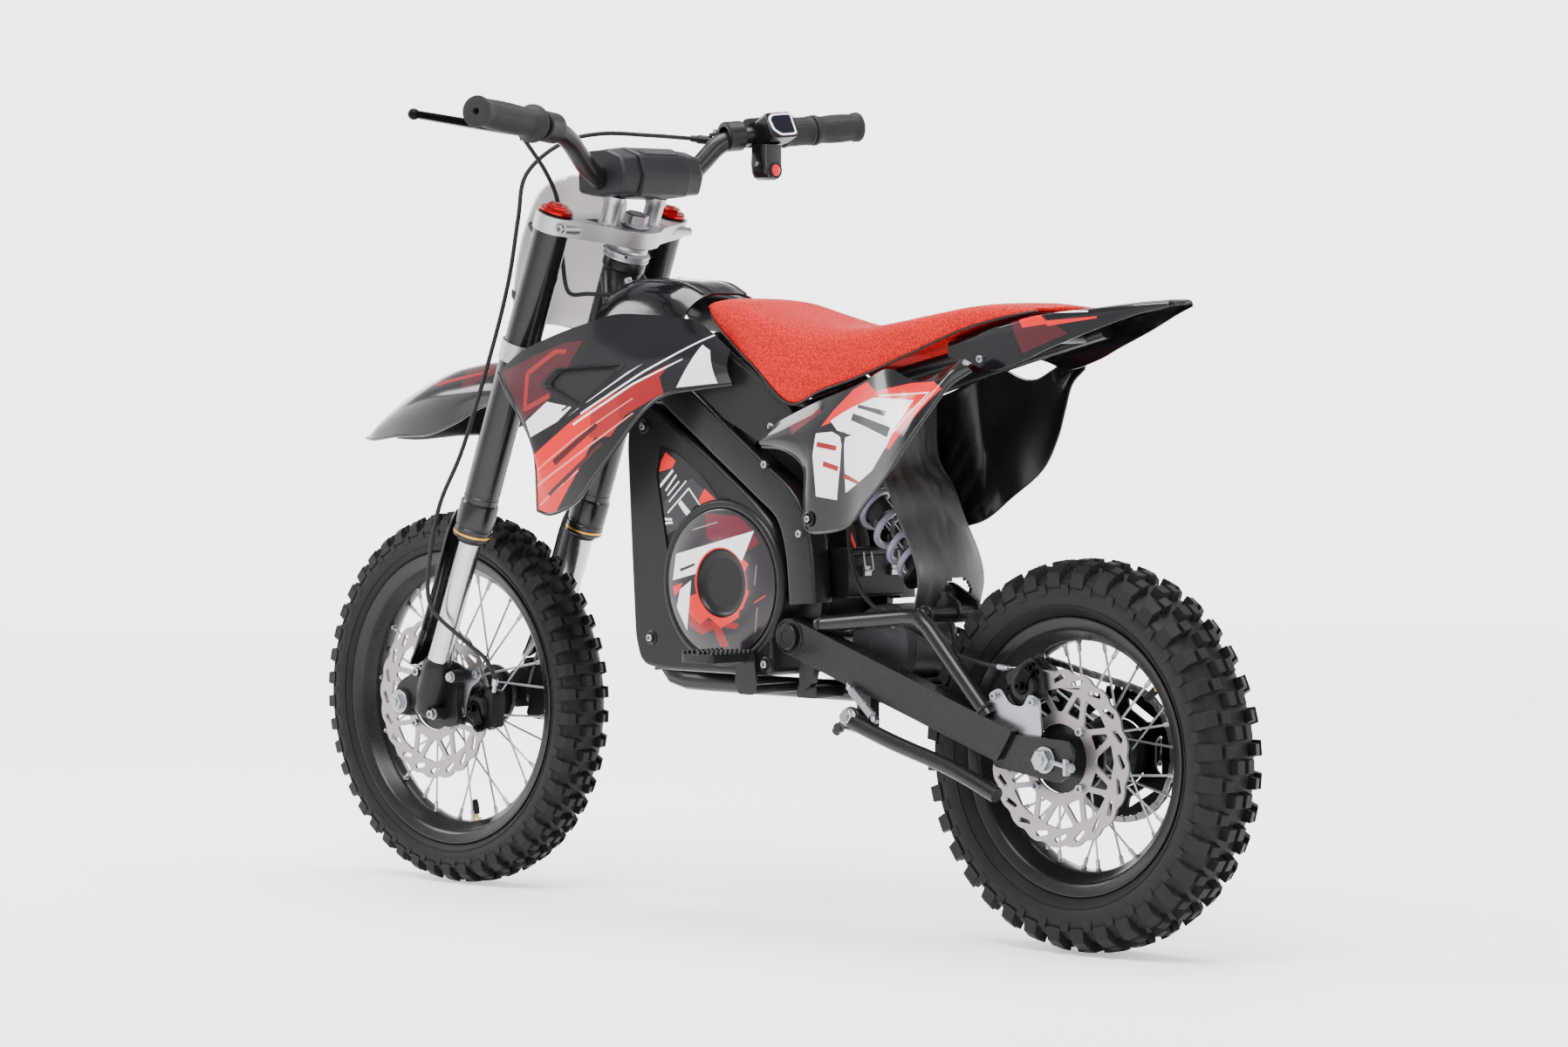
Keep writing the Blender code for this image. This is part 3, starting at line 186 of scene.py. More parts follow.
def sweep(points, section, loop=False, level=None, scales=None):
    """Sweep a section (u across, v up) along a polyline; rings lie in the mitre planes."""
    pts = [Vector(p) for p in points]
    n = len(pts)
    u = None
    rings = []
    for i, p in enumerate(pts):
        before = pts[i - 1] if (i or loop) else None
        after = pts[(i + 1) % n] if (i < n - 1 or loop) else None
        d_in = (p - before).normalized() if before is not None else None
        d_out = (after - p).normalized() if after is not None else None
        d_in = d_in if d_in is not None else d_out
        d_out = d_out if d_out is not None else d_in
        plane = (d_in + d_out).normalized()
        if level is not None:
            u = Vector(level)
        elif u is None:
            u = basis(d_in)[0]
        u = (u - d_in * u.dot(d_in)).normalized()
        v = d_in.cross(u)
        grow = scales[i] if scales else 1.0
        ring = []
        for su, sv in section:
            q = (u * su + v * sv) * grow
            ring.append(p + q - d_in * (q.dot(plane) / d_in.dot(plane)))
        rings.append(ring)
        u = (u - d_out * u.dot(d_out)).normalized()
    return skin_rings(rings, loop=loop)


def tube(points, radius, sides=20, loop=False, scales=None):
    """A round bar along a polyline."""
    return sweep(points, circle2d(radius, sides), loop, scales=scales)


def lathe(profile, centre, axis, sides=48, arc=None):
    """Turn a profile of (distance along axis, radius) about an axis.  A profile that starts and ends at
    radius 0 is a solid; any other closes on itself as a ring."""
    axis = Vector(axis).normalized()
    u = basis(axis)[0]
    v = axis.cross(u).normalized()
    centre = Vector(centre)
    bm = bmesh.new()
    rows = []
    for dist, radius in profile:
        if radius < 1e-6:
            rows.append([bm.verts.new(centre + axis * dist)])
            continue
        rows.append([bm.verts.new(centre + axis * dist + u * x + v * y) for x, y in circle2d(radius, sides)])
    spans = len(rows) - 1 if len(rows[0]) == 1 else len(rows)
    for i in range(spans):
        a, b = rows[i], rows[(i + 1) % len(rows)]
        for k in range(sides):
            m = (k + 1) % sides
            if len(a) == 1:
                bm.faces.new((a[0], b[m], b[k]))
            elif len(b) == 1:
                bm.faces.new((a[k], a[m], b[0]))
            else:
                bm.faces.new((a[k], a[m], b[m], b[k]))
    bmesh.ops.recalc_face_normals(bm, faces=bm.faces)
    return bm


def rod(start, end, radius, sides=32, chamfer=0.0):
    """A round bar between two points, with optional chamfered ends."""
    start, end = Vector(start), Vector(end)
    length = (end - start).length
    if chamfer:
        profile = [(0, 0), (0, radius - chamfer), (chamfer, radius), (length - chamfer, radius),
                   (length, radius - chamfer), (length, 0)]
    else:
        profile = [(0, 0), (0, radius), (length, radius), (length, 0)]
    return lathe(profile, start, end - start, sides)


def prism(outline, low, high, place=lambda x, z, y: Vector((x, y, z))):
    """Extrude an (x, z) outline from one Y to another, or through another placing function."""
    return skin_rings([[place(x, z, t) for x, z in outline] for t in (low, high)])


def box(low, high):
    outline = [(low[0], low[2]), (high[0], low[2]), (high[0], high[2]), (low[0], high[2])]
    return prism(outline, low[1], high[1])


def plate(outline, holes, low, high, place=None):
    """A flat plate in the X-Z plane with holes of any shape, from one Y to another."""
    curve = bpy.data.curves.new("plate", "CURVE")
    curve.dimensions = "2D"
    curve.fill_mode = "BOTH"
    curve.extrude = abs(high - low) / 2
    for points in [outline] + list(holes):
        spline = curve.splines.new("POLY")
        spline.points.add(len(points) - 1)
        for slot_point, (x, z) in zip(spline.points, points):
            slot_point.co = (x, z, 0, 1)
        spline.use_cyclic_u = True
    holder = bpy.data.objects.new("plate", curve)
    mesh = bpy.data.meshes.new_from_object(holder)
    bm = bmesh.new()
    bm.from_mesh(mesh)
    bpy.data.objects.remove(holder)
    bpy.data.curves.remove(curve)
    bpy.data.meshes.remove(mesh)
    bmesh.ops.remove_doubles(bm, verts=bm.verts, dist=0.0005)
    middle = (low + high) / 2
    for vert in bm.verts:
        flat = Vector((vert.co.x, middle + vert.co.z, vert.co.y))
        vert.co = place(flat) if place else flat
    bmesh.ops.recalc_face_normals(bm, faces=bm.faces)
    return bm


def shell(rows, thickness, inward=None, skip=()):
    """A sheet of the given thickness behind a grid of points; inward is a point that its back faces."""
    bm = bmesh.new()
    front = [[bm.verts.new(p) for p in row] for row in rows]
    for i in range(len(rows) - 1):
        for k in range(len(rows[0]) - 1):
            if (i, k) not in skip:
                bm.faces.new((front[i][k], front[i][k + 1], front[i + 1][k + 1], front[i + 1][k]))
    bmesh.ops.delete(bm, geom=[v for v in bm.verts if not v.link_faces], context="VERTS")
    bmesh.ops.recalc_face_normals(bm, faces=bm.faces)
    bm.normal_update()
    if inward is not None:
        face = max(bm.faces, key=lambda f: f.calc_area())
        if face.normal.dot(Vector(inward) - face.calc_center_median()) > 0:
            bmesh.ops.reverse_faces(bm, faces=bm.faces)
            bm.normal_update()
    normals = {v: v.normal.copy() for v in bm.verts}
    faces = list(bm.faces)
    rim = []
    for edge in [e for e in bm.edges if len(e.link_faces) == 1]:
        loop = next(lp for lp in edge.link_faces[0].loops if lp.edge == edge)
        rim.append((loop.vert, loop.link_loop_next.vert))
    back = {v: bm.verts.new(v.co - normals[v] * thickness) for v in normals}
    for face in faces:
        bm.faces.new([back[v] for v in reversed(face.verts)]).material_index = 1
    for a, b in rim:
        bm.faces.new((b, a, back[a], back[b])).material_index = 1
    bmesh.ops.recalc_face_normals(bm, faces=bm.faces)
    return bm


def boolean(base, tools, operation):
    """Apply Boolean modifiers (exact solver) to a mesh, one for each tool."""
    objects = []
    for source in [base] + list(tools):
        mesh = bpy.data.meshes.new("operand")
        source.to_mesh(mesh)
        source.free()
        obj = bpy.data.objects.new("operand", mesh)
        bpy.context.scene.collection.objects.link(obj)
        objects.append(obj)
    for tool in objects[1:]:
        modifier = objects[0].modifiers.new("cut", "BOOLEAN")
        modifier.operation = operation
        modifier.solver = "EXACT"
        modifier.object = tool
    bpy.context.view_layer.update()
    evaluated = objects[0].evaluated_get(bpy.context.evaluated_depsgraph_get())
    bm = bmesh.new()
    bm.from_mesh(evaluated.to_mesh())
    for obj in objects:
        mesh = obj.data
        bpy.data.objects.remove(obj)
        bpy.data.meshes.remove(mesh)
    bmesh.ops.remove_doubles(bm, verts=bm.verts, dist=0.001)
    bmesh.ops.dissolve_degenerate(bm, edges=bm.edges, dist=0.001)
    return bm


def union(*parts):
    return boolean(parts[0], parts[1:], "UNION")


def cut(base, *tools):
    return boolean(base, tools, "DIFFERENCE")


def hexagon(radius, phase=0.0):
    return circle2d(radius, 6, phase)


def bolt(head, direction, size, washer=True, socket=False):
    """A bolt head standing on the point head, pointing along direction; size is the thread's diameter."""
    head, direction = Vector(head), Vector(direction).normalized()
    u, v = basis(direction)
    parts = []
    base = 0.0
    if washer:
        base = size * 0.16
        parts.append(rod(head, head + direction * base, size * 1.05, 28, size * 0.04))
    tall = size * (0.62 if not socket else 0.9)
    if socket:
        hole = size * 0.42
        profile = [(base, 0), (base, size * 0.8), (base + tall * 0.9, size * 0.8), (base + tall, size * 0.72),
                   (base + tall, hole), (base + tall * 0.45, hole), (base + tall * 0.45, 0)]
        parts.append(lathe(profile, head, direction, 28))
    else:
        def ring(radius, at):
            return [head + direction * at + u * x + v * y for x, y in hexagon(radius)]
        parts.append(skin_rings([ring(size * 0.92, base), ring(size * 0.92, base + tall * 0.85),
                                 ring(size * 0.8, base + tall)]))
        parts.append(lathe([(base + tall * 0.8, 0), (base + tall * 0.8, size * 0.5),
                            (base + tall * 1.25, size * 0.46), (base + tall * 1.25, 0)], head, direction, 20))
    return merge(*parts)


# ---------------------------------------------------------------- pieces

def piece(name, bm, body, look, stands_for=(), bevel=0.0, segments=2, subsurf=0, smooth=40.0, inner=None,
          bend=None):
    """Store a mesh as a piece that rides on a body; given bend, (other body, start, end), it rides on no body and keeps
    its place baked in, and the parts of bend are not read.

    A sheet's back may have a look of its own, inner.
    """
    for vert in bm.verts:
        vert.co = to_row(vert.co)
    mesh = bpy.data.meshes.new(name)
    bm.to_mesh(mesh)
    bm.free()
    mesh.materials.append(look.mat)
    mesh.materials.append((inner or look).mat)
    obj = bpy.data.objects.new(name, mesh)
    bpy.context.scene.collection.objects.link(obj)
    mesh.shade_smooth()
    if subsurf:
        smoother = obj.modifiers.new("smooth", "SUBSURF")
        smoother.levels = smoother.render_levels = subsurf
        smoother.use_limit_surface = False
    if bevel:
        edge = obj.modifiers.new("edges", "BEVEL")
        edge.width = bevel * MM
        edge.segments = segments
        edge.limit_method = "ANGLE"
        edge.angle_limit = math.radians(smooth)
        edge.harden_normals = True
    elif not subsurf:
        mesh.set_sharp_from_angle(angle=math.radians(smooth))
    if bend:
        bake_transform(obj)
    else:
        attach(obj, body)
    if stands_for:
        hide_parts(*stands_for)
    return obj


def cable(name, points, radius, body, look, stands_for=(), steps=6, bend=None):
    """A smooth round cable through the points."""
    return piece(name, tube(catmull(points, steps), radius, 14), body, look, stands_for, smooth=60, bend=bend)


def hose(name, points, radius, body, stands_for, bend, steps):
    """A brake hose: a smooth rubber cable through the points."""
    obj = cable(name, points, radius, body, smooth_rubber, stands_for, steps, bend)


# ---------------------------------------------------------------- looks

class Look:
    """A procedural material round a Principled shader."""

    def __init__(self, name, colour, rough, metal=0.0, **sockets):
        self.mat = bpy.data.materials.new(name)
        self.mat.use_nodes = True
        self.tree = self.mat.node_tree
        self.shader = self.tree.nodes["Principled BSDF"]
        self.coords = self.tree.nodes.new("ShaderNodeTexCoord").outputs["Object"]
        self.colour = (*colour, 1.0)
        self.shader.inputs["Base Color"].default_value = self.colour
        self.shader.inputs["Roughness"].default_value = rough
        self.shader.inputs["Metallic"].default_value = metal
        for key, value in sockets.items():
            self.shader.inputs[key.replace("_", " ")].default_value = value
        self.normal = None

    def node(self, kind, inputs, **props):
        made = self.tree.nodes.new(kind)
        for key, value in props.items():
            setattr(made, key, value)
        for key, value in inputs.items():
            if isinstance(value, bpy.types.NodeSocket):
                self.tree.links.new(value, made.inputs[key])
            else:
                made.inputs[key].default_value = value
        return made

    def math(self, operation, a, b=0.0):
        return self.node("ShaderNodeMath", {0: a, 1: b}, operation=operation).outputs[0]

    def noise(self, scale, detail=3.0, rough=0.5, coords=None):
        inputs = {"Vector": coords or self.coords, "Scale": scale, "Detail": detail, "Roughness": rough}
        return self.node("ShaderNodeTexNoise", inputs).outputs["Fac"]

    def cells(self, scale, randomness=1.0, feature="F1", coords=None):
        inputs = {"Vector": coords or self.coords, "Scale": scale, "Randomness": randomness}
        return self.node("ShaderNodeTexVoronoi", inputs, feature=feature).outputs["Distance"]

    def remap(self, value, low, high, to_low=0.0, to_high=1.0):
        inputs = {"Value": value, "From Min": low, "From Max": high, "To Min": to_low, "To Max": to_high}
        return self.node("ShaderNodeMapRange", inputs).outputs["Result"]

    def mix(self, factor, a, b):
        made = self.tree.nodes.new("ShaderNodeMix")
        made.data_type = "RGBA"
        for index, value in ((0, factor), (6, a), (7, b)):
            if isinstance(value, bpy.types.NodeSocket):
                self.tree.links.new(value, made.inputs[index])
            elif index:
                made.inputs[index].default_value = (*value[:3], 1.0)
            else:
                made.inputs[index].default_value = value
        return made.outputs[2]

    def scaled(self, x, y, z):
        """The object coordinates, stretched."""
        return self.node("ShaderNodeVectorMath", {0: self.coords, 1: (x, y, z)}, operation="MULTIPLY").outputs[0]

    def set(self, socket, value):
        self.tree.links.new(value, self.shader.inputs[socket])

    def paint(self, value):
        self.set("Base Color", value)
        return self

    def bump(self, height, depth_mm, strength=1.0):
        inputs = {"Height": height, "Distance": depth_mm * MM, "Strength": strength}
        if self.normal is not None:
            inputs["Normal"] = self.normal
        self.normal = self.node("ShaderNodeBump", inputs).outputs["Normal"]
        self.set("Normal", self.normal)
        return self

    def region(self, *outlines):
        """1 inside any of the convex X-Z outlines, which are in design millimetres, and 0 outside."""
        nearest = None
        for points in outlines:
            points = [Vector((x, 0.0, z)) for x, z in points]
            middle = sum(points, Vector()) / len(points)
            inside = None
            for i, a in enumerate(points):
                edge = points[(i + 1) % len(points)] - a
                normal = Vector((-edge.z, 0.0, edge.x)).normalized()
                if normal.dot(middle - a) < 0:
                    normal = -normal
                offset = to_row(a).dot(normal)
                along_normal = self.node("ShaderNodeVectorMath", {0: self.coords, 1: normal},
                                         operation="DOT_PRODUCT").outputs["Value"]
                depth = self.math("SUBTRACT", along_normal, offset)
                inside = depth if inside is None else self.math("MINIMUM", inside, depth)
            nearest = inside if nearest is None else self.math("MAXIMUM", nearest, inside)
        return self.remap(nearest, -0.35 * MM, -0.15 * MM)

    def ring_mask(self, centre, low, high):
        """1 between two radii about a point in the X-Z plane, in design millimetres."""
        away = self.node("ShaderNodeVectorMath", {0: self.coords, 1: to_row(centre)},
                         operation="SUBTRACT").outputs[0]
        flat = self.node("ShaderNodeVectorMath", {0: away, 1: (1, 0, 1)}, operation="MULTIPLY").outputs[0]
        radius = self.node("ShaderNodeVectorMath", {0: flat}, operation="LENGTH").outputs["Value"]
        above = self.remap(radius, (low - 0.1) * MM, (low + 0.1) * MM)
        below = self.remap(radius, (high - 0.1) * MM, (high + 0.1) * MM, 1.0, 0.0)
        return self.math("MULTIPLY", above, below)


def stripe(p, q, width, width_end=None):
    """The four corners of a straight stripe between two (x, z) points."""
    a, b = Vector(p), Vector(q)
    across = (b - a).normalized().orthogonal()
    end = width if width_end is None else width_end
    return [a + across * width / 2, b + across * end / 2, b - across * end / 2, a - across * width / 2]


BLACK = (0.0045, 0.0045, 0.0055)
RED = (0.50, 0.0050, 0.0045)
DEEP_RED = (0.20, 0.005, 0.007)
MAROON = (0.045, 0.006, 0.009)
WHITE = (0.66, 0.66, 0.70)
CHARCOAL = (0.016, 0.015, 0.018)
ROSE = (0.085, 0.010, 0.018)


def scuffed(look, base, amount, low, high):
    """Roughness that varies with soft smears and fine dust."""
    smears = look.noise(9.0, 4.0, 0.6)
    dust = look.noise(700.0, 2.0, 0.7)
    both = look.math("ADD", look.math("MULTIPLY", smears, 0.7), look.math("MULTIPLY", dust, 0.3))
    look.set("Roughness", look.remap(both, 0.3, 0.7, max(0.02, base - amount * low), base + amount * high))
    return look


def gloss_plastic(name, colour=BLACK, rough=0.17):
    look = Look(name, colour, rough, Specular_IOR_Level=0.26, Coat_Weight=0.12, Coat_Roughness=0.06)
    scuffed(look, rough, 0.08, 1.0, 1.0)
    look.bump(look.noise(260.0, 2.0), 0.03, 0.35)
    return look


def grained_plastic(name, colour=(0.0085, 0.0085, 0.0095), rough=0.46, scale=1300.0, depth=0.06):
    look = Look(name, colour, rough, Specular_IOR_Level=0.18)
    grain = look.cells(scale, 1.0)
    tint = look.noise(20.0, 4.0)
    look.paint(look.mix(tint, [c * 0.82 for c in colour], [c * 1.22 for c in colour]))
    scuffed(look, rough, 0.10, 1.0, 1.0)
    look.bump(grain, depth, 0.6)
    return look


def powder_coat(name, colour=(0.0060, 0.0060, 0.0064), rough=0.30):
    look = Look(name, colour, rough, 0.0, Specular_IOR_Level=0.22, Coat_Weight=0.04, Coat_Roughness=0.22)
    tint = look.noise(45.0, 3.0)
    look.paint(look.mix(tint, [c * 0.85 for c in colour], [c * 1.2 for c in colour]))
    scuffed(look, rough, 0.08, 1.0, 1.0)
    look.bump(look.noise(900.0, 2.0, 0.6), 0.035, 0.5)
    return look


def metal(name, colour, rough, grain=(400.0, 400.0, 400.0), depth=0.012, spread=0.06, tint=0.12):
    look = Look(name, colour, rough, 1.0)
    scratches = look.noise(1.0, 5.0, 0.65, look.scaled(*grain))
    clouds = look.noise(30.0, 4.0)
    look.paint(look.mix(clouds, [c * (1 - tint) for c in colour], [min(1.0, c * (1 + tint * 0.5)) for c in colour]))
    wear = look.math("ADD", look.math("MULTIPLY", scratches, 0.6), look.math("MULTIPLY", clouds, 0.4))
    look.set("Roughness", look.remap(wear, 0.3, 0.7, max(0.03, rough - spread), rough + spread))
    look.bump(scratches, depth, 0.5)
    return look


def tyre_rubber(name):
    colour = (0.0165, 0.0160, 0.0165)
    look = Look(name, colour, 0.62, Specular_IOR_Level=0.16)
    bloom = look.noise(14.0, 5.0, 0.6)
    fine = look.noise(900.0, 3.0, 0.6)
    tone = look.mix(look.remap(bloom, 0.35, 0.65), (0.0048, 0.0046, 0.0049), (0.0092, 0.0088, 0.0091))
    look.paint(look.mix(look.remap(fine, 0.55, 0.75), tone, (0.013, 0.0125, 0.013)))
    look.set("Roughness", look.remap(bloom, 0.3, 0.7, 0.50, 0.70))
    look.bump(look.noise(1500.0, 2.0, 0.7), 0.06, 0.6)
    look.bump(look.noise(160.0, 3.0), 0.10, 0.35)
    return look


def soft_rubber(name, scale=1100.0):
    colour = (0.012, 0.012, 0.0135)
    look = Look(name, colour, 0.66, Specular_IOR_Level=0.18)
    tone = look.noise(40.0, 4.0)
    look.paint(look.mix(tone, [c * 0.75 for c in colour], [c * 1.35 for c in colour]))
    look.bump(look.cells(scale, 1.0), 0.08, 0.6)
    return look


def vinyl(name):
    """Red seat cover with a fine pebbled grain in rows, with painted shade darkening the hollows between the pebbles.
    """
    look = Look(name, RED, 0.5, Specular_IOR_Level=0.10)
    pebbles = look.cells(430.0, 0.85)
    dome = look.remap(pebbles, 0.15, 0.62, 1.0, 0.0)
    clouds = look.noise(7.0, 4.0)
    tone = look.mix(clouds, (0.50, 0.0050, 0.0034), (0.60, 0.0080, 0.0055))
    # painted shade: the colour falls to a dark red in the hollows between the pebbles
    look.paint(look.mix(dome, (0.27, 0.0026, 0.0020), tone))
    look.set("Roughness", look.remap(dome, 0.0, 1.0, 0.62, 0.44))
    look.bump(dome, 0.42, 0.85)
    look.bump(look.noise(60.0, 3.0), 0.25, 0.3)
    return look


def stickers(name, layers, base=BLACK, rough=0.15):
    """Glossy plastic with plain printed shapes; a layer is (colour, outlines)."""
    look = Look(name, base, rough, Specular_IOR_Level=0.28, Coat_Weight=0.15, Coat_Roughness=0.05)
    colour = base
    for tone, outlines in layers:
        colour = look.mix(look.region(*outlines), colour, tone)
    look.paint(colour)
    scuffed(look, rough, 0.06, 1.0, 1.0)
    look.bump(look.noise(260.0, 2.0), 0.03, 0.3)
    return look


gloss = gloss_plastic("gloss_black_plastic")
grained = grained_plastic("grained_black_plastic")
satin = grained_plastic("satin_black_plastic", (0.0065, 0.0065, 0.0072), 0.34, 1700.0, 0.03)
pad_grey = grained_plastic("pad_dark_grey", (0.009, 0.009, 0.011), 0.40, 1500.0, 0.03)
painted = powder_coat("black_paint")
black_metal = metal("black_anodised", (0.008, 0.008, 0.009), 0.36, (300, 300, 300))
cast_black = grained_plastic("cast_black", (0.0065, 0.0065, 0.0072), 0.38, 900.0, 0.08)
tread = tyre_rubber("tread_rubber")
rubber = soft_rubber("moulded_rubber")
smooth_rubber = soft_rubber("cable_rubber", 2200.0)
silver = metal("machined_silver", (0.40, 0.40, 0.42), 0.40, (120, 120, 900), 0.006)
zinc = metal("zinc_plate", (0.34, 0.35, 0.38), 0.34, (500, 500, 500), 0.006, 0.06, 0.2)
chrome = metal("hard_chrome", (0.46, 0.46, 0.48), 0.22, (60, 60, 900), 0.004, 0.04, 0.05)
disc_steel = metal("disc_steel", (0.31, 0.275, 0.27), 0.44, (700, 700, 700), 0.006, 0.06, 0.1)
chain_steel = metal("chain_steel", (0.26, 0.25, 0.24), 0.36, (600, 600, 600), 0.02, 0.1, 0.3)
gold = metal("gold_ring", (0.62, 0.31, 0.035), 0.34)
brass = metal("brass", (0.72, 0.52, 0.22), 0.3)
red_metal = metal("red_anodised", (0.40, 0.008, 0.010), 0.30, (100, 100, 100), 0.004)
motor_paint = grained_plastic("motor_grey", (0.034, 0.034, 0.038), 0.42, 700.0, 0.1)
spring_paint = gloss_plastic("spring_lilac", (0.24, 0.24, 0.30), 0.30)
orange = gloss_plastic("collar_orange", (0.45, 0.05, 0.012), 0.35)
red_plastic = gloss_plastic("red_plastic", (0.50, 0.006, 0.008), 0.22)
red_wire = gloss_plastic("red_wire", (0.55, 0.012, 0.010), 0.35)
seat_red = vinyl("red_vinyl")
white_band = gloss_plastic("label_white", (0.75, 0.75, 0.76), 0.35)
screen = Look("display_glass", (0.006, 0.007, 0.012), 0.16, Specular_IOR_Level=0.14)
screen.bump(screen.noise(40.0, 2.0), 0.01, 0.3)
blue_wrap = gloss_plastic("battery_wrap", (0.03, 0.08, 0.25), 0.4)

# ---------------------------------------------------------------- wheels

WHEELS = {
    # name: centre, tyre radius, tyre half width, flange radius, rim half width, tread repeats, knob height
    "front": (FRONT_AXLE, FRONT_R, 34.0, 166.5, 23.0, 46, 8.5),
    "rear": (REAR_AXLE, REAR_R, 43.0, 141.0, 26.5, 36, 10.0),
}
WAVES = 20            # scallops round each brake disc
SPOKE_PAIRS = 7       # crossed pairs on each side of a wheel


def on_wheel(centre, angle, radius, y):
    return centre + Vector((math.cos(angle) * radius, y, math.sin(angle) * radius))


def crown(y, radius, half):
    """Radius of the tread's envelope at a distance from the middle."""
    return radius - 0.31 * half * (abs(y) / half) ** 2.4


def carcass(centre, radius, half, flange, rim_half, knob):
    top = radius - knob
    rise = top - flange
    outline = [(rim_half - 5, flange - 8), (rim_half - 1, flange - 3), (rim_half + 0.2, flange + 1.5),
               (rim_half + 3.0, flange + 3.5), (half * 0.90, flange + 0.26 * rise), (half * 0.965, flange + 0.45 * rise),
               (half * 0.95, flange + 0.62 * rise), (half * 0.86, flange + 0.78 * rise),
               (half * 0.66, crown(half * 0.66, radius, half) - knob), (half * 0.36, crown(half * 0.36, radius, half) - knob)]
    outline = catmull([(y, 0, r) for y, r in outline], 3)
    left = [(p.x, p.z) for p in outline] + [(0.0, top)]
    ring = left + [(-y, r) for y, r in left[-2::-1]]
    inner = [(-rim_half + 8, flange - 8), (-half * 0.8, flange + 0.5 * rise), (0, top - 8),
             (half * 0.8, flange + 0.5 * rise), (rim_half - 8, flange - 8)]
    body = lathe(ring + inner, centre, SIDE, 120)
    bands = []
    for y_in, r in ((half * 0.895, flange + 0.245 * rise), (half * 0.94, flange + 0.70 * rise)):
        for sign in (1, -1):
            bands.append(lathe([(sign * (y_in - 1.5), r - 0.8), (sign * (y_in + 0.9), r - 0.5),
                                (sign * (y_in + 0.9), r + 0.5), (sign * (y_in - 1.5), r + 0.8)], centre, SIDE, 120))
    return merge(body, *bands)


def knobs(centre, radius, half, flange, count, height):
    """All tread blocks: centre pairs and shoulder blocks in one row, intermediate blocks in the next."""
    bm = bmesh.new()
    pitch = 2 * math.pi / count
    length = pitch * radius

    def block(angle, size, quad, taper, slant=0.0):
        rings = []
        for sign in (-1, 1):
            ring = []
            for i, (y, r) in enumerate(quad):
                reach = size / 2 - (taper if i > 1 else 0.0)
                t = angle + (sign * reach + slant * abs(y)) / r
                ring.append(bm.verts.new(on_wheel(centre, t, r, y)))
            rings.append(ring)
        a, b = rings
        for i in range(4):
            j = (i + 1) % 4
            bm.faces.new((a[i], a[j], b[j], b[i]))
        bm.faces.new(a[::-1])
        bm.faces.new(b)

    def upright(y_in, y_out, inset=0.9):
        low_in = crown(y_in, radius, half) - height - 1.5
        low_out = crown(y_out, radius, half) - height - 1.5
        return [(y_in, low_in), (y_out, low_out), (y_out - inset, crown(y_out, radius, half)),
                (y_in + inset, crown(y_in, radius, half))]

    shoulder_in, shoulder_out = half * 0.70, half * 0.955
    for k in range(count):
        angle = k * pitch
        for sign in (1, -1):
            def mirrored_quad(quad):
                return [(sign * y, r) for y, r in quad]
            block(angle, length * 0.44, mirrored_quad(upright(half * 0.045, half * 0.33)), 1.0)
            shoulder = upright(shoulder_in, shoulder_out)
            shoulder[1] = (half * 0.985, radius - height - 0.42 * half)
            shoulder[2] = (half * 0.945, crown(shoulder_out, radius, half) - 1.0)
            block(angle + pitch * 0.5, length * 0.50, mirrored_quad(shoulder), 1.0)
            lug = [(half * 0.90, radius - height - 0.60 * half), (half * 0.985, radius - height - 0.58 * half),
                   (half * 0.998, radius - height - 0.36 * half), (half * 0.86, radius - height - 0.30 * half)]
            block(angle, length * 0.34, mirrored_quad(lug), 1.2)
            block(angle + pitch * 0.5, length * 0.38, mirrored_quad(upright(half * 0.37, half * 0.63)), 1.0,
                  slant=0.05)
    bmesh.ops.recalc_face_normals(bm, faces=bm.faces)
    return bm


def rim_ring(centre, flange, half):
    """Drop-centre rim with rolled lips."""
    lower = [(half + 3.0, flange + 1.0), (half + 3.4, flange - 1.0), (half + 2.2, flange - 3.0),
             (half + 2.0, flange - 9.0), (half - 2.0, flange - 13.5), (half - 9.0, flange - 16.0),
             (half - 13.0, flange - 21.5), (half - 17.0, flange - 23.5)]
    upper = [(y - 0.4, r + 2.4) for y, r in lower[3:]]
    lip = [(half + 0.6, flange + 1.0), (half - 0.2, flange - 3.0)]
    right = [(-y, r) for y, r in reversed(lower)]
    ring = lip + upper + [(-y, r) for y, r in reversed(upper)] + [(-y, r) for y, r in reversed(lip)]
    return lathe(ring + right[::-1] + lower[::-1], centre, SIDE, 120)


def spoke_ends(k, side):
    """Angles at hub and rim of one spoke: odd ones lean forward and even ones back."""
    step = math.pi / SPOKE_PAIRS
    lean = 1 if k % 2 else -1
    rim_angle = step * (k + (0.25 if side > 0 else 0.75))
    return rim_angle + lean * math.radians(24), rim_angle, lean


def lacing(centre, flange):
    """Spokes with bent heads and nipples."""
    parts = []
    end_r = flange - 24.5
    for side in (1, -1):
        for k in range(2 * SPOKE_PAIRS):
            hub_angle, rim_angle, lean = spoke_ends(k, side)
            head = on_wheel(centre, hub_angle, 32.5, side * (24.6 if lean > 0 else 18.6))
            bend = on_wheel(centre, hub_angle, 33.5, side * (22.6 if lean > 0 else 20.6))
            tip = on_wheel(centre, rim_angle, end_r, side * 4.0)
            line = (tip - bend).normalized()
            parts.append(tube([head, bend, along(bend, line, 4.0), tip], 1.25, 10))
            parts.append(lathe([(0, 0), (0, 2.3), (1.2, 2.6), (2.0, 1.3), (2.0, 0)],
                               head, (bend - head), 12))
            start = along(tip, line, -11.0)
            parts.append(lathe([(0, 0), (0, 1.8), (1.0, 2.3), (9.0, 2.3), (9.6, 3.1), (13.0, 3.1), (13.0, 0)],
                               start, line, 12))
    return merge(*parts)


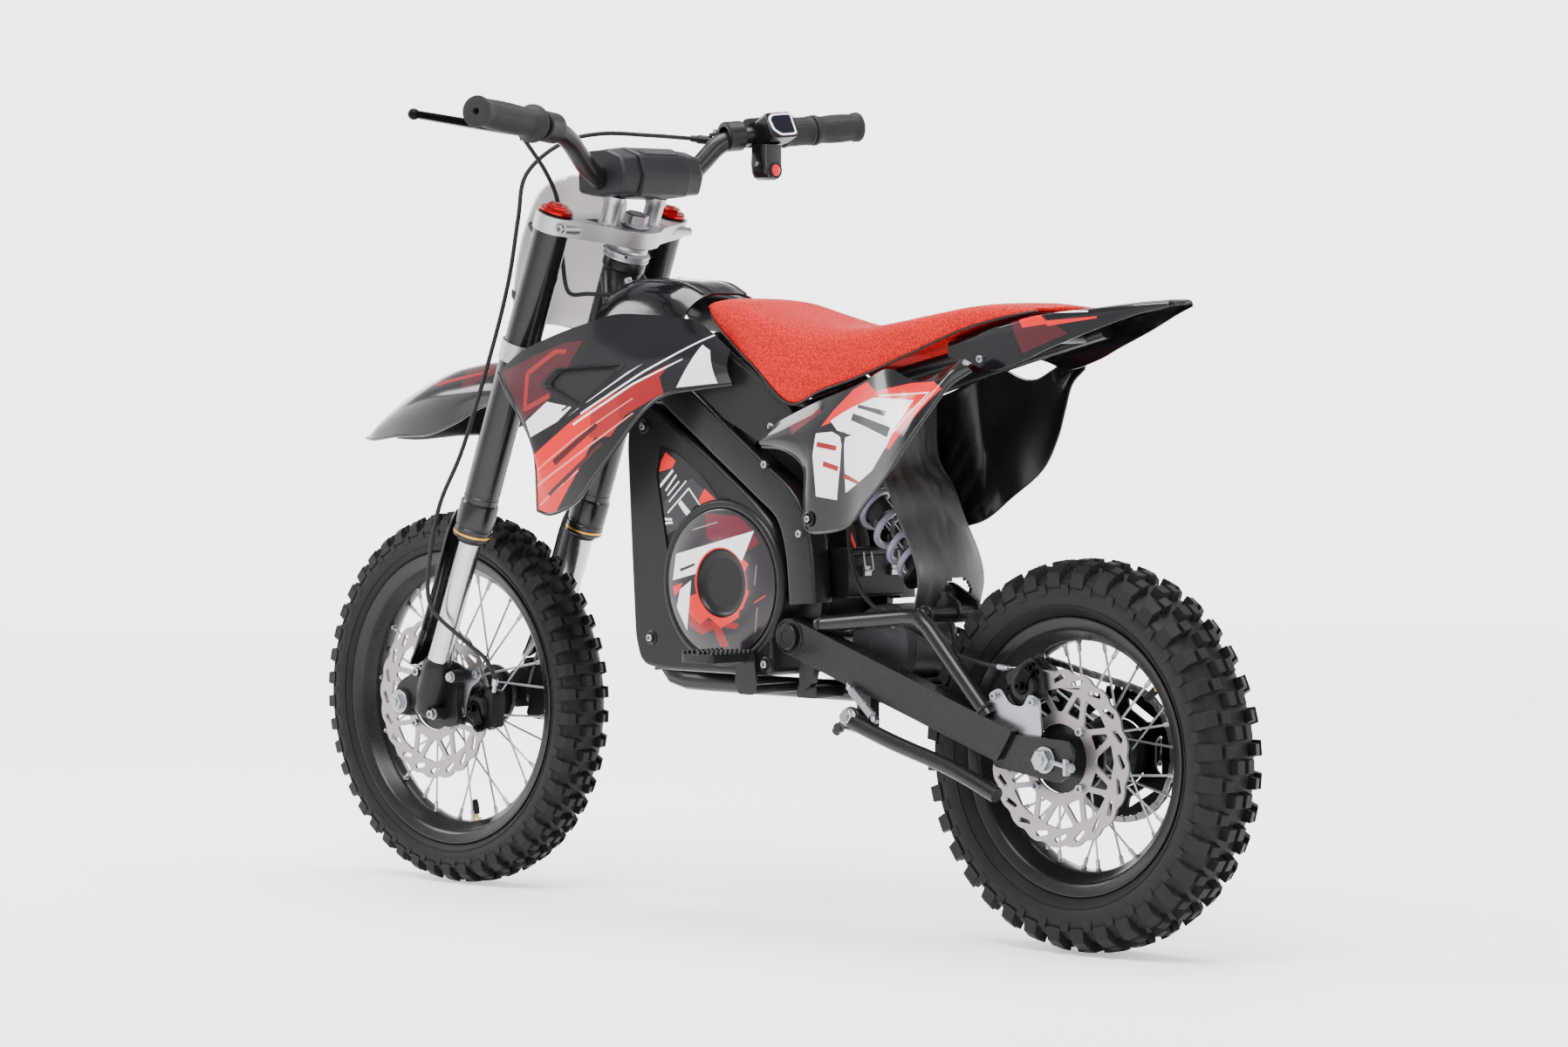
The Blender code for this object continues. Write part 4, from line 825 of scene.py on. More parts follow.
def hub_body(centre):
    """Hub barrel with spoke flanges and a bolted boss for the disc."""
    half = [(0, 17.5), (9, 17.8), (16, 21), (18.4, 24), (18.6, 35.0), (19.4, 36.5), (23.0, 36.5), (23.8, 35.0),
            (23.8, 27.0), (27, 25.5), (38, 26.0), (40.5, 29.0), (41.0, 34.8), (45.6, 35.2), (46.4, 34.6), (46.4, 18.0),
            (44.0, 16.5), (44.0, 9.2)]
    ring = half + [(-y, r) for y, r in half[:0:-1]]
    profile = [(y, r) for y, r in ring]
    return lathe(profile, centre, SIDE, 72)


def disc_outline(radius):
    steps = WAVES * 12
    points = []
    for k in range(steps):
        t = 2 * math.pi * k / steps
        wave = math.sin(WAVES * t)
        points.append(((radius + 1.4 * wave - 0.5 * wave * wave) * math.cos(t),
                       (radius + 1.4 * wave - 0.5 * wave * wave) * math.sin(t)))
    return points


def polar(radius, degrees):
    t = math.radians(degrees)
    return (radius * math.cos(t), radius * math.sin(t))


def disc_windows(radius):
    """Slanted slots near the rim, and a truss of windows inside them."""
    holes = []
    for k in range(WAVES):
        step = 360.0 / WAVES
        middle = step * k
        slot = [polar(radius - 14.6, middle - 6.4), polar(radius - 10.2, middle - 6.8),
                polar(radius - 3.4, middle + 2.2), polar(radius - 7.8, middle + 5.2)]
        holes.append(rounded(slot, 2.0, 4))
    for k in range(8):
        middle = 45.0 * k
        outward = [polar(radius - 20.0, middle - 15.5), polar(radius - 18.4, middle),
                   polar(radius - 20.0, middle + 15.5), polar(47.5, middle + 4.2), polar(47.5, middle - 4.2)]
        holes.append(rounded(outward, 3.0, 4))
        inward = [polar(47.0, middle + 12.0), polar(47.0, middle + 33.0), polar(radius - 22.0, middle + 24.8),
                  polar(radius - 22.0, middle + 20.2)]
        holes.append(rounded(inward, 2.4, 4))
    return holes


def placed(points, centre):
    return [(centre.x + x, centre.z + z) for x, z in points]


def brake_disc(centre, radius):
    holes = [circle2d(35.6, 48)] + disc_windows(radius)
    return plate(placed(disc_outline(radius), centre), [placed(h, centre) for h in holes],
                 DISC_Y - 1.5, DISC_Y + 1.5)


def toothed(radius, teeth, depth):
    outline = []
    for k in range(teeth):
        for part, r in ((0.0, radius - depth), (0.14, radius - depth), (0.36, radius - 0.6), (0.44, radius),
                        (0.56, radius), (0.64, radius - 0.6), (0.86, radius - depth)):
            t = 2 * math.pi * (k + part) / teeth
            outline.append((math.cos(t) * r, math.sin(t) * r))
    return outline


def rear_sprocket():
    holes = [circle2d(35.6, 40)]
    for k in range(6):
        middle = 60.0 * k
        holes.append(rounded([polar(58, middle - 22), polar(58, middle + 22), polar(47, middle + 17),
                              polar(47, middle - 17)], 4.0, 4))
    return plate(placed(toothed(70.0, 36, 5.5), REAR_AXLE), [placed(h, REAR_AXLE) for h in holes],
                 SPROCKET_Y - 1.6, SPROCKET_Y + 1.6)


def side_marks(centre, flange, top, half):
    """Plain raised dashes and arcs where a tyre carries its lettering."""
    rise = top - flange
    parts = []
    for start, count, gap, size, at in ((20, 5, 4.4, 5.0, 0.50), (62, 3, 6.0, 3.4, 0.40), (100, 7, 2.6, 3.0, 0.52),
                                        (160, 4, 4.4, 5.0, 0.50), (205, 8, 2.6, 2.6, 0.40), (248, 6, 4.2, 5.0, 0.50),
                                        (300, 5, 2.8, 3.0, 0.46), (334, 3, 5.0, 3.6, 0.42)):
        for k in range(count):
            t = math.radians(start + gap * k)
            r = flange + at * rise
            y = half * 0.955 + (0.0 if at > 0.45 else -0.6)
            reach = math.radians(gap * 0.30)
            for side in (1, -1):
                rings = []
                for depth in (-1.2, 0.55):
                    rings.append([on_wheel(centre, t + da, r + dr, side * (y + depth)) for da, dr in
                                  ((-reach, -size / 2), (reach, -size / 2), (reach, size / 2), (-reach, size / 2))])
                parts.append(skin_rings(rings))
    return merge(*parts)


def wheel(name):
    centre, radius, half, flange, rim_half, count, height = WHEELS[name]
    body = name + "_wheel"
    tyre = merge(carcass(centre, radius, half, flange, rim_half, height),
                 side_marks(centre, flange, radius - height, half))
    piece(name + "_tyre_carcass", tyre, body, tread, (name + "_tyre",), smooth=55)
    piece(name + "_tyre_knobs", knobs(centre, radius, half, flange, count, height), body, tread,
          bevel=0.7, segments=2)
    piece(name + "_rim_black", rim_ring(centre, flange, rim_half), body, painted,
          (name + "_rim",), smooth=50)
    piece(name + "_spokes_laced", lacing(centre, flange), body, zinc, smooth=50)
    piece(name + "_hub_body", hub_body(centre), body, painted,
          (name + "_hub_and_spokes",), smooth=35)
    disc_r = 90.0 if name == "rear" else 90.5
    piece(name + "_disc_slotted", brake_disc(centre, disc_r), body, disc_steel,
          (name + "_brake_disc",), bevel=0.25, segments=1, smooth=35)
    heads = [bolt(on_wheel(centre, math.radians(45 + 90 * k), 40.6, DISC_Y + 1.5), SIDE, 5.6, False, True)
             for k in range(4)]
    if name == "rear":
        heads += [bolt(on_wheel(centre, math.radians(60 * k + 30), 42.0, SPROCKET_Y - 1.6), -SIDE, 6.0, True)
                  for k in range(6)]
    piece(name + "_disc_bolts", merge(*heads), body, zinc, smooth=35)
    angle = math.radians(-97 if name == "front" else 140)
    foot = on_wheel(centre, angle, flange - 21.0, 0)
    inwards = (centre - foot).normalized()
    piece(name + "_valve_stem", merge(
        lathe([(-2, 0), (-2, 5.5), (2.5, 5.5), (3, 4.0), (5, 4.0), (5.5, 3.0), (12, 3.0), (12, 0)], foot, inwards, 20),
        rod(along(foot, inwards, 2.5), along(foot, inwards, 6.0), 6.0, 6)), body, brass, smooth=35)
    piece(name + "_valve_cap", lathe([(10.0, 0), (10.0, 3.9), (11, 4.3), (21, 4.0), (25.5, 3.1), (27, 2.2), (27, 0)],
                                     foot, inwards, 18), body, rubber, smooth=35)


wheel("front")
wheel("rear")
piece("rear_sprocket_black", rear_sprocket(), "rear_wheel", black_metal, ("rear_sprocket",),
      bevel=0.3, segments=1, smooth=35)

# ---------------------------------------------------------------- fork, clamps and steering

TUBE_R, STANCHION_R = 20.0, 13.5
CARRIER_BOLTS = [(911.5, 248.6, 96.5), (867.0, 244.0, 88.0), (892.7, 201.0, 92.0)]

anodised = Look("fork_black", (0.0050, 0.0050, 0.0058), 0.24, 0.0, Specular_IOR_Level=0.30, Coat_Weight=0.08)
scuffed(anodised, 0.24, 0.08, 1.0, 1.0).bump(anodised.noise(500.0, 2.0), 0.02, 0.4)
plate_white = Look("plate_translucent", (0.86, 0.80, 0.81), 0.32, Specular_IOR_Level=0.3,
                   Transmission_Weight=0.12)
plate_white.paint(plate_white.mix(plate_white.noise(9.0, 3.0), (0.84, 0.76, 0.78), (0.90, 0.84, 0.85)))
plate_white.bump(plate_white.noise(300.0, 2.0), 0.03, 0.4)


def legs(side):
    return fork(LEG_A, side * LEG_B, 0)


def fork_legs():
    for name, side in BOTH:
        top = legs(side)
        outer = [(-60, 0), (-60, 15.4), (-393, 15.4), (-393.6, 17.0), (-393.6, 20.8), (-392.6, 21.6), (-382, 21.6),
                 (-381, 20.9), (-379.6, 20.9), (-378.6, 21.6), (-353, 21.6), (-351.5, 20.9), (-350, TUBE_R),
                 (-344, TUBE_R), (-343.4, 19.4), (-341, 19.4), (-340.4, TUBE_R), (-8, TUBE_R), (-7, 19.0), (-7, 0)]
        piece("fork_tube_" + name + "_turned", lathe(outer, top, AXIS_UP, 56), "steering",
              anodised, ("fork_tube_" + name,), smooth=30)
        ring = [(-389.4, 21.3), (-389.4, 21.9), (-387.2, 21.9), (-387.2, 21.3)]
        piece("fork_ring_" + name, lathe(ring, top, AXIS_UP, 56), "steering", gold, smooth=60)
        cap = [(-6.8, 0), (-6.8, 17.8), (-5.6, 18.4), (-3.6, 18.4), (-2.6, 17.4), (-2.4, 13.6), (-2.4, 0)]
        screw = [(1.6, 0), (1.6, 4.4), (3.0, 4.4), (3.4, 4.0), (3.4, 0)]
        hexed = skin_rings([[top + AXIS_UP * at + AXIS_FWD * x + SIDE * y for x, y in hexagon(r)]
                            for at, r in ((-3.0, 12.6), (1.2, 12.6), (2.2, 11.4))])
        piece("fork_cap_" + name, merge(lathe(cap, top, AXIS_UP, 48), hexed), "steering",
              red_metal, smooth=25)
        piece("fork_cap_screw_" + name, lathe(screw, top, AXIS_UP, 20), "steering", red_metal,
              smooth=30)


def clamp_outline(front, back, wing, steps=14):
    """Half outline of a fork clamp in (a, b), mirrored into a whole one."""
    half = [(front, 0), (front - 1, 18), (front - 8, 36), (LEG_A + 6, 56)]
    half += [(LEG_A + 22.4 * math.cos(t), LEG_B + 22.4 * math.sin(t))
             for t in (math.radians(-30 + 190 * k / steps) for k in range(steps + 1))]
    half += [(wing + 4, 66), (wing - 6, 42), (back + 6, 26), (back, 10)]
    return half + [(a, -b) for a, b in reversed(half) if b > 0]


def clamp_body(front, back, wing, c_low, c_high, stem_r):
    outline = clamp_outline(front, back, wing)
    holes = [[(LEG_A + x, side * LEG_B + y) for x, y in circle2d(TUBE_R + 0.2, 40)] for side in (1, -1)]
    holes.append(circle2d(stem_r, 32))
    for side in (1, -1):
        pocket = [(8, 32), (22, 36), (20, 58), (6, 46)]
        holes.append([(a, side * b) for a, b in rounded(pocket, 5.0)])
    return plate(outline, holes, c_low, c_high, lambda p: fork(p.x, p.z, p.y))


def pinch(side, a, c, size=6.0):
    """Pinch bolts behind a clamp's leg bore."""
    place = fork(a, side * (LEG_B - 4), c)
    ears = rod(fork(a, side * (LEG_B - 15), c), fork(a, side * (LEG_B + 9), c), 5.6, 20, 0.8)
    return ears, bolt(fork(a, side * (LEG_B + 9), c), SIDE * side, size, False, True), place


def steering():
    stem = merge(rod(fork(0, 0, -160), fork(0, 0, 1), 12.6, 36, 0.6), clamp_body(48, -22, 2, -182, -160, 11.0),
                 *[pinch(side, LEG_A - 24.5, -171)[0] for side in (1, -1)])
    piece("lower_clamp_machined", stem, "steering", silver, ("steering_stem",), bevel=0.8,
          smooth=35)
    upper = [clamp_body(46, -24, 0, -27.5, -8.5, 13.6)]
    for side in (1, -1):
        upper += [pinch(side, LEG_A - 24.5, -18)[0]]
        riser = [(-12, 0), (-12, 12.0), (-8.4, 12.0), (-7, 10.6), (14, 10.6), (16, 11.8), (24, 11.8), (24, 0)]
        upper.append(lathe(riser, fork(8, side * 32, 0), AXIS_UP, 36))
    piece("upper_clamp_machined", merge(*upper), "steering", silver, ("upper_clamp",),
          bevel=0.8, smooth=35)
    nut = [(-7.6, 0), (-7.6, 16.0), (-6, 16.6), (-4.4, 16.6), (-4.4, 0)]
    hexed = skin_rings([[fork(x, y, at) for x, y in hexagon(r)] for at, r in ((-5, 14.5), (5.2, 14.5), (6.6, 12.8))])
    piece("stem_nut", merge(lathe(nut, STEER_POINT, AXIS_UP, 36), hexed), "steering", zinc,
          bevel=0.4, smooth=30)
    bolts = []
    for side in (1, -1):
        for a, c in ((LEG_A - 24.5, -18), (LEG_A - 24.5, -171)):
            bolts.append(pinch(side, a, c)[1])
        bolts.append(bolt(fork(44, side * 44, -18), AXIS_FWD, 5.0, True))
    piece("clamp_bolts", merge(*bolts), "steering", zinc, bevel=0.2, smooth=30)
    bearing = [(-46, 15.8), (-46, 24.6), (-45, 25.8), (-42.6, 25.8), (-41.8, 24.8), (-40.8, 24.8), (-40, 26.0),
               (-37.4, 26.0), (-36.4, 24.6), (-35, 22.4), (-33.4, 21.6), (-32.6, 22.2), (-29.4, 22.2), (-28.6, 21.2),
               (-28.6, 15.8)]
    piece("head_bearing_rings", lathe(bearing, STEER_POINT, AXIS_UP, 48), "chassis", silver,
          ("head_bearing",), smooth=30)
    notches = []
    for k in range(4):
        t = math.radians(45 + 90 * k)
        at = fork(25.4 * math.cos(t), 25.4 * math.sin(t), -38.7)
        notches.append(rod(at - AXIS_UP * 1.2, at + AXIS_UP * 1.2, 1.8, 8))
    piece("head_bearing_notches", merge(*notches), "chassis", black_metal, smooth=30)


def fork_lower():
    for name, side in BOTH:
        b = side * LEG_B
        piece("fork_stanchion_" + name, lathe([(-566, 0), (-566, STANCHION_R), (-240, STANCHION_R), (-240, 0)],
                                              legs(side), AXIS_UP, 48), "fork_lower", chrome,
              ("fork_slider_" + name,), smooth=40)
        seal = [(-395.4, STANCHION_R + 0.1), (-395.4, 15.2), (-398.5, 15.0), (-399.4, 14.2), (-399.4, STANCHION_R + 0.1)]
        piece("fork_seal_" + name, lathe(seal, legs(side), AXIS_UP, 40), "steering", rubber, smooth=40)
        carrier = [(-612, 0), (-612, 10.0), (-606, 14.6), (-590, 16.4), (-558, 17.0), (-552, 16.8), (-546.4, 15.8),
                   (-544.6, 14.4), (-544.6, 0)]
        foot = rounded([(24, -606), (20, -556), (44, -550), (58, -566), (80, -589), (86, -607), (78, -624),
                        (58, -624)], 8.0, 6)
        lug = skin_rings([[fork(a, side * y, c) for a, c in foot] for y in (74.0, 94.0)])
        outer = rounded([(34, -600), (34, -572), (46, -566), (60, -576), (76, -594), (78, -612), (60, -618)], 8.0, 5)
        boss = skin_rings([[fork(a, side * y, c) for a, c in outer] for y in (93.6, 98.2)])
        ear = rounded([(10, -617), (-2, -612), (-6, -600), (4, -584), (8, -566), (22, -560), (30, -560),
                       (30, -620)], 6.0, 5)
        inner_ear = skin_rings([[fork(a, side * y, c) for a, c in ear] for y in (67, 75.5)])
        stub = merge(*[rod(Vector((x, side * 72, z)), Vector((x, side * high, z)), 7.4, 28, 0.8)
                       for x, z, high in CARRIER_BOLTS])
        cup = lathe([(98, 9.4), (98, 15.5), (102.6, 14.6), (102.6, 9.4)], FRONT_AXLE, SIDE * side, 32)
        piece("fork_carrier_" + name, merge(lathe(carrier, legs(side), AXIS_UP, 40), lug, boss, inner_ear,
                                                   stub, cup),
              "fork_lower", cast_black, bevel=1.2, segments=3, smooth=32)
        rows = []
        for c, lead, wide, bow in ((-370, 62, 0.80, 8), (-384, 65, 0.92, 9), (-400, 66, 1.0, 10), (-430, 66, 1.0, 10),
                                   (-470, 66, 0.98, 10), (-510, 66, 0.94, 9), (-535, 67, 0.86, 7),
                                   (-550, 69, 0.74, 5), (-560, 72, 0.56, 3), (-566, 74, 0.34, 1.5)):
            rows.append([fork(lead + 1.0 - bow * (k / 5) ** 2, side * (87.5 + 18.5 * wide * k / 5), c)
                         for k in range(-5, 6)])
        guard = shell(rows, 2.4, inward=fork(0, b, -460))
        piece("fork_guard_" + name + "_moulded", guard, "fork_lower", gloss,
              ("fork_guard_" + name,), bevel=0.6, segments=2, smooth=50)
    heads = []
    for side in (1, -1):
        for x, z, high in CARRIER_BOLTS:
            heads.append(bolt((x, side * high, z), SIDE * side, 6.0, True, x > 880))
    piece("carrier_bolts", merge(*heads), "fork_lower", zinc, bevel=0.2, smooth=30)
    ends = []
    for side in (1, -1):
        ends.append(rod(FRONT_AXLE + SIDE * side * 46.4, FRONT_AXLE + SIDE * side * 70.4, 11.8, 32, 0.8))
        ends.append(rod(FRONT_AXLE + SIDE * side * 102.0, FRONT_AXLE + SIDE * side * 104.0, 13.4, 32, 0.5))
        ends.append(bolt(FRONT_AXLE + SIDE * side * 104.0, SIDE * side, 10.2, False))
    ends.append(rod(FRONT_AXLE - SIDE * 104, FRONT_AXLE + SIDE * 104, 7.8, 24))
    piece("front_axle_bolt", merge(*ends), "fork_lower", zinc, ("front_axle",), smooth=25)


def caliper(name, body, centre, degrees, disc_r, mount_y):
    """Mechanical brake caliper: forged body astride the disc, round actuator, swinging arm and bolts."""
    angle = math.radians(degrees)
    out = Vector((math.cos(angle), 0, math.sin(angle)))
    tangent = Vector((-math.sin(angle), 0, math.cos(angle)))

    def at(r, t, y):
        return centre + out * r + tangent * t + SIDE * y

    def slab(outline, y_low, y_high, radius=3.5):
        return skin_rings([[at(r, t, y) for r, t in rounded(outline, radius, 4)] for y in (y_low, y_high)])

    r0 = disc_r
    inner = [(r0 - 28, -20), (r0 - 8, -25), (r0 + 14, -20), (r0 + 15, 20), (r0 - 8, 25), (r0 - 28, 18)]
    parts = [slab(inner, 37.6, 45.0), slab(inner, 52.2, 56.6)]
    bridge = [(r0 + 7.6, -17), (r0 + 14.6, -17), (r0 + 14.6, 17), (r0 + 7.6, 17)]
    parts.append(slab(bridge, 42, 55, 2.0))
    middle = at(r0 - 8, 0, 0)
    barrel = [(56, 0), (56, 15.6), (58.6, 15.6), (59.2, 14.0), (60.6, 14.0), (61.2, 15.4), (mount_y - 2.6, 15.0),
              (mount_y - 1.6, 13.8), (mount_y - 1.6, 9.0), (mount_y - 3.6, 8.6), (mount_y - 3.6, 0)]
    parts.append(lathe([(y, min(r, 15.4)) for y, r in barrel], middle, SIDE, 36))
    for t in (-19.0, 19.0):
        lug = at(r0 - 2, t, 0)
        parts.append(lathe([(38, 0), (38, 6.4), (44.8, 6.4), (44.8, 0)], lug, SIDE, 24))
        parts.append(lathe([(52.4, 0), (52.4, 6.4), (56.8, 6.4), (57.4, 5.8), (57.4, 0)], lug, SIDE, 24))
    piece(name + "_caliper_cast", merge(*parts), body, cast_black, (name + "_caliper",),
          bevel=0.9, segments=2, smooth=32)
    arm_y = mount_y - 2.4
    arm = rounded([(r0 - 16, -7), (r0 - 1, -7), (r0 + 10, 14), (r0 + 8, 25), (r0 - 1, 24), (r0 - 10, 6),
                   (r0 - 16, 6)], 5.0, 5)
    arms = [skin_rings([[at(r, t, y) for r, t in arm] for y in (arm_y, arm_y + 3.2)])]
    arms.append(lathe([(arm_y - 2, 0), (arm_y - 2, 6.0), (arm_y + 4.6, 6.0), (arm_y + 4.6, 0)],
                      at(r0 + 3, 20, 0), SIDE, 24))
    piece(name + "_caliper_arm", merge(*arms), body, black_metal, bevel=0.6, smooth=32)
    heads = [bolt(at(r0 - 8, 0, arm_y + 3.2), SIDE, 5.4, False, True),
             bolt(at(r0 + 3, 20, arm_y + 4.6), SIDE, 4.0, False, True)]
    heads += [bolt(at(r0 - 2, t, 57.4), SIDE, 4.6, False, True) for t in (-19.0, 19.0)]
    piece(name + "_caliper_bolts", merge(*heads), body, black_metal, bevel=0.2, smooth=30)


fork_legs()
steering()
fork_lower()
caliper("front", "fork_lower", FRONT_AXLE, 184, 90.5, 65.5)
caliper("rear", "swingarm", REAR_AXLE, 62, 90.0, 57.6 + 8.0)

bracket = rounded([(909, 256), (903, 263), (880, 258), (862, 250), (846, 255), (840, 247), (846, 238), (858, 232),
                   (866, 214), (868, 198), (880, 196), (886, 206), (880, 226), (890, 246)], 5.0, 5)
piece("front_bracket_bent", plate(bracket, [[(847 + x, 247 + z) for x, z in circle2d(2.6, 14)]], 62.6, 65.6),
      "fork_lower", zinc, bevel=0.4, smooth=35)
heads = [bolt((x, 65.6, z), SIDE, size, True, socket)
         for x, z, size, socket in ((904, 254, 6.0, False), (877, 203, 6.0, False), (847, 247, 5.4, True))]
piece("front_bracket_bolts", merge(*heads), "fork_lower", zinc, bevel=0.2, smooth=30)
front_barrel = [fork(-31, 60, -540), fork(-31.4, 59, -548), fork(-32, 58, -556)]
piece("front_cable_end", merge(rod(front_barrel[0], front_barrel[1], 3.6, 16, 0.5),
                               rod(front_barrel[1], front_barrel[2], 2.4, 12)), "fork_lower",
      zinc, smooth=35)

# ---------------------------------------------------------------- handlebar and controls

BAR_R = 11.0
HOSE_TIP = {1: Vector((690, 146, 850)), -1: Vector((690, -120, 850))}


def bar_path():
    """The handlebar's centre line, left end to right end, with rounded bends."""
    end = along(GRIP_START, GRIP_DIR, GRIP_LEN - 6)
    knots = [end, GRIP_START, Vector((638, 134, 849)), Vector((643, 114, 840)), Vector((648, 84, 812)),
             Vector((651, 62, 799)), Vector((652, 40, 796))]
    left = [knots[0], knots[1]]
    for i in range(2, len(knots) - 1):
        here = knots[i]
        back, ahead = knots[i - 1] - here, knots[i + 1] - here
        reach = min(back.length, ahead.length) * 0.42
        a, b = here + back.normalized() * reach, here + ahead.normalized() * reach
        for k in range(5):
            t = k / 4
            left.append(a * (1 - t) ** 2 + here * 2 * t * (1 - t) + b * t * t)
    left.append(knots[-1])
    return left + mirrored(reversed(left))


def grip_dir(side):
    return Vector((GRIP_DIR.x, side * GRIP_DIR.y, GRIP_DIR.z))


def grip_start(side):
    return Vector((GRIP_START.x, side * GRIP_START.y, GRIP_START.z))


def grip(name, side, begin):
    start, direction = grip_start(side), grip_dir(side)
    profile = [(begin, 11.3)]
    if begin < 5:
        profile += [(begin, 19.6), (begin + 1.2, 21.0), (begin + 4.6, 21.0), (begin + 6.0, 19.4), (begin + 9, 17.6)]
    else:
        profile += [(begin, 16.8), (begin + 1.0, 17.4), (begin + 5.0, 17.4), (begin + 6.0, 16.4)]
    first = begin + 12
    last = GRIP_LEN - 9
    for k in range(9):
        t = k / 8
        profile.append((first + (last - first) * t, 15.3 + 1.3 * math.sin(math.pi * t)))
    profile += [(GRIP_LEN - 7, 16.6), (GRIP_LEN - 2, 17.1), (GRIP_LEN - 0.4, 16.6), (GRIP_LEN, 15.4),
                (GRIP_LEN, 4.2), (GRIP_LEN - 1.4, 3.4), (GRIP_LEN - 5, 3.2), (GRIP_LEN - 5, 11.3)]
    bm = lathe(profile, start, direction, 64)
    u, v = basis(direction)
    for vert in bm.verts:
        rel = vert.co - start
        s = rel.dot(direction)
        radial = rel - direction * s
        if radial.length < 14.5 or not begin + 14 < s < GRIP_LEN - 12:
            continue
        turn = math.atan2(radial.dot(v), radial.dot(u))
        wave = math.cos(turn * 8)
        if wave > 0.3:
            vert.co -= radial.normalized() * 0.7 * min(1.0, (wave - 0.3) * 3)
    piece("grip_" + name + "_ribbed", bm, "steering", rubber, ("grip_" + name,), smooth=50)


def lever_parts(name, side, s_low, s_high):
    pivot = LEVER_PIVOT[side]
    start, direction = grip_start(side), grip_dir(side)
    a, b = along(start, direction, s_low), along(start, direction, s_high)
    clamp = lathe([(0, 11.5), (0, 15.6), (1.2, 17.0), ((b - a).length - 1.2, 17.0), ((b - a).length, 15.6),
                   ((b - a).length, 11.5)], a, b - a, 40)
    mid = (a + b) / 2
    ears = []
    for low_z, high_z in ((pivot.z - 9.6, pivot.z - 5.8), (pivot.z + 5.8, pivot.z + 9.6)):
        outline = rounded([(mid.x + 13, pivot.y - 8.6), (pivot.x + 4, pivot.y - 8.6), (pivot.x + 8, pivot.y),
                           (pivot.x + 4, pivot.y + 8.6), (mid.x + 13, pivot.y + 8.6)], 4.0, 5)
        ears.append(skin_rings([[Vector((x, y, z)) for x, y in outline] for z in (low_z, high_z)]))
    web = box((mid.x + 12, pivot.y - 8.4, pivot.z - 9.4), (pivot.x - 11.4, pivot.y + 8.4, pivot.z + 9.4))
    inboard = Vector((pivot.x + 14, pivot.y - side * 9, pivot.z + 2))
    tip = HOSE_TIP[side]
    root = Vector((pivot.x + 4, pivot.y - side * 3, pivot.z + 1))
    nut = merge(rod(root, tip.lerp(root, 0.30), 5.2, 20, 0.8), rod(tip.lerp(root, 0.42), tip, 3.9, 16, 0.5))
    piece("brake_perch_" + name + "_cast", merge(clamp, web, *ears, nut), "steering", cast_black,
          ("brake_perch_" + name,), bevel=0.8, smooth=32)
    screws = [bolt((pivot.x, pivot.y, pivot.z + 9.6), (0, 0, 1), 5.0, False, True),
              bolt(mid + Vector((15.5, 0, -8.0)), Vector((1, 0, 0)), 4.5, False, True)]
    piece("brake_perch_screws_" + name, merge(*screws), "steering", zinc, bevel=0.2, smooth=30)
    reach = [(0, 0), (14, 8), (34, 13), (75, 17), (115, 19), (146, 21)]
    scale = (303.5 - abs(pivot.y)) / 146
    path = catmull([(pivot.x + fwd, pivot.y + side * out * scale, pivot.z + 0.105 * out * scale)
                    for out, fwd in reach], 5)
    widths = [1.0 - 0.22 * k / (len(path) - 1) for k in range(len(path))]
    section = rounded([(-5.2, -8.2), (5.2, -8.2), (5.2, 8.2), (-5.2, 8.2)], 3.4, 3)
    blade = sweep(path, section, level=(0, 0, 1), scales=widths)
    ball = lathe([(-6.5, 0), (-6.1, 2.4), (-4.6, 4.6), (-2.4, 6.0), (0, 6.5), (2.4, 6.0), (4.6, 4.6), (6.1, 2.4),
                  (6.5, 0)], path[-1], SIDE, 28)
    boss = rod(pivot - Vector((0, 0, 5.0)), pivot + Vector((0, 0, 5.0)), 7.8, 28, 0.8)
    piece("brake_lever_" + name + "_blade", merge(blade, ball, boss), "lever_" + name,
          black_metal, ("brake_lever_" + name,), smooth=45)


def pad_outline(scale_x, scale_z, drop=0.0):
    """Section of the bar pad in (x, z)."""
    middle = (648.0, 806.0)
    outline = [(612, 781), (605, 803), (613, 826), (638, 835), (672, 833.5), (688, 820), (686.5, 783), (660, 778)]
    return [(middle[0] + (x - middle[0]) * scale_x + drop, middle[1] + (z - middle[1]) * scale_z)
            for x, z in rounded(outline, 4.5, 3)]


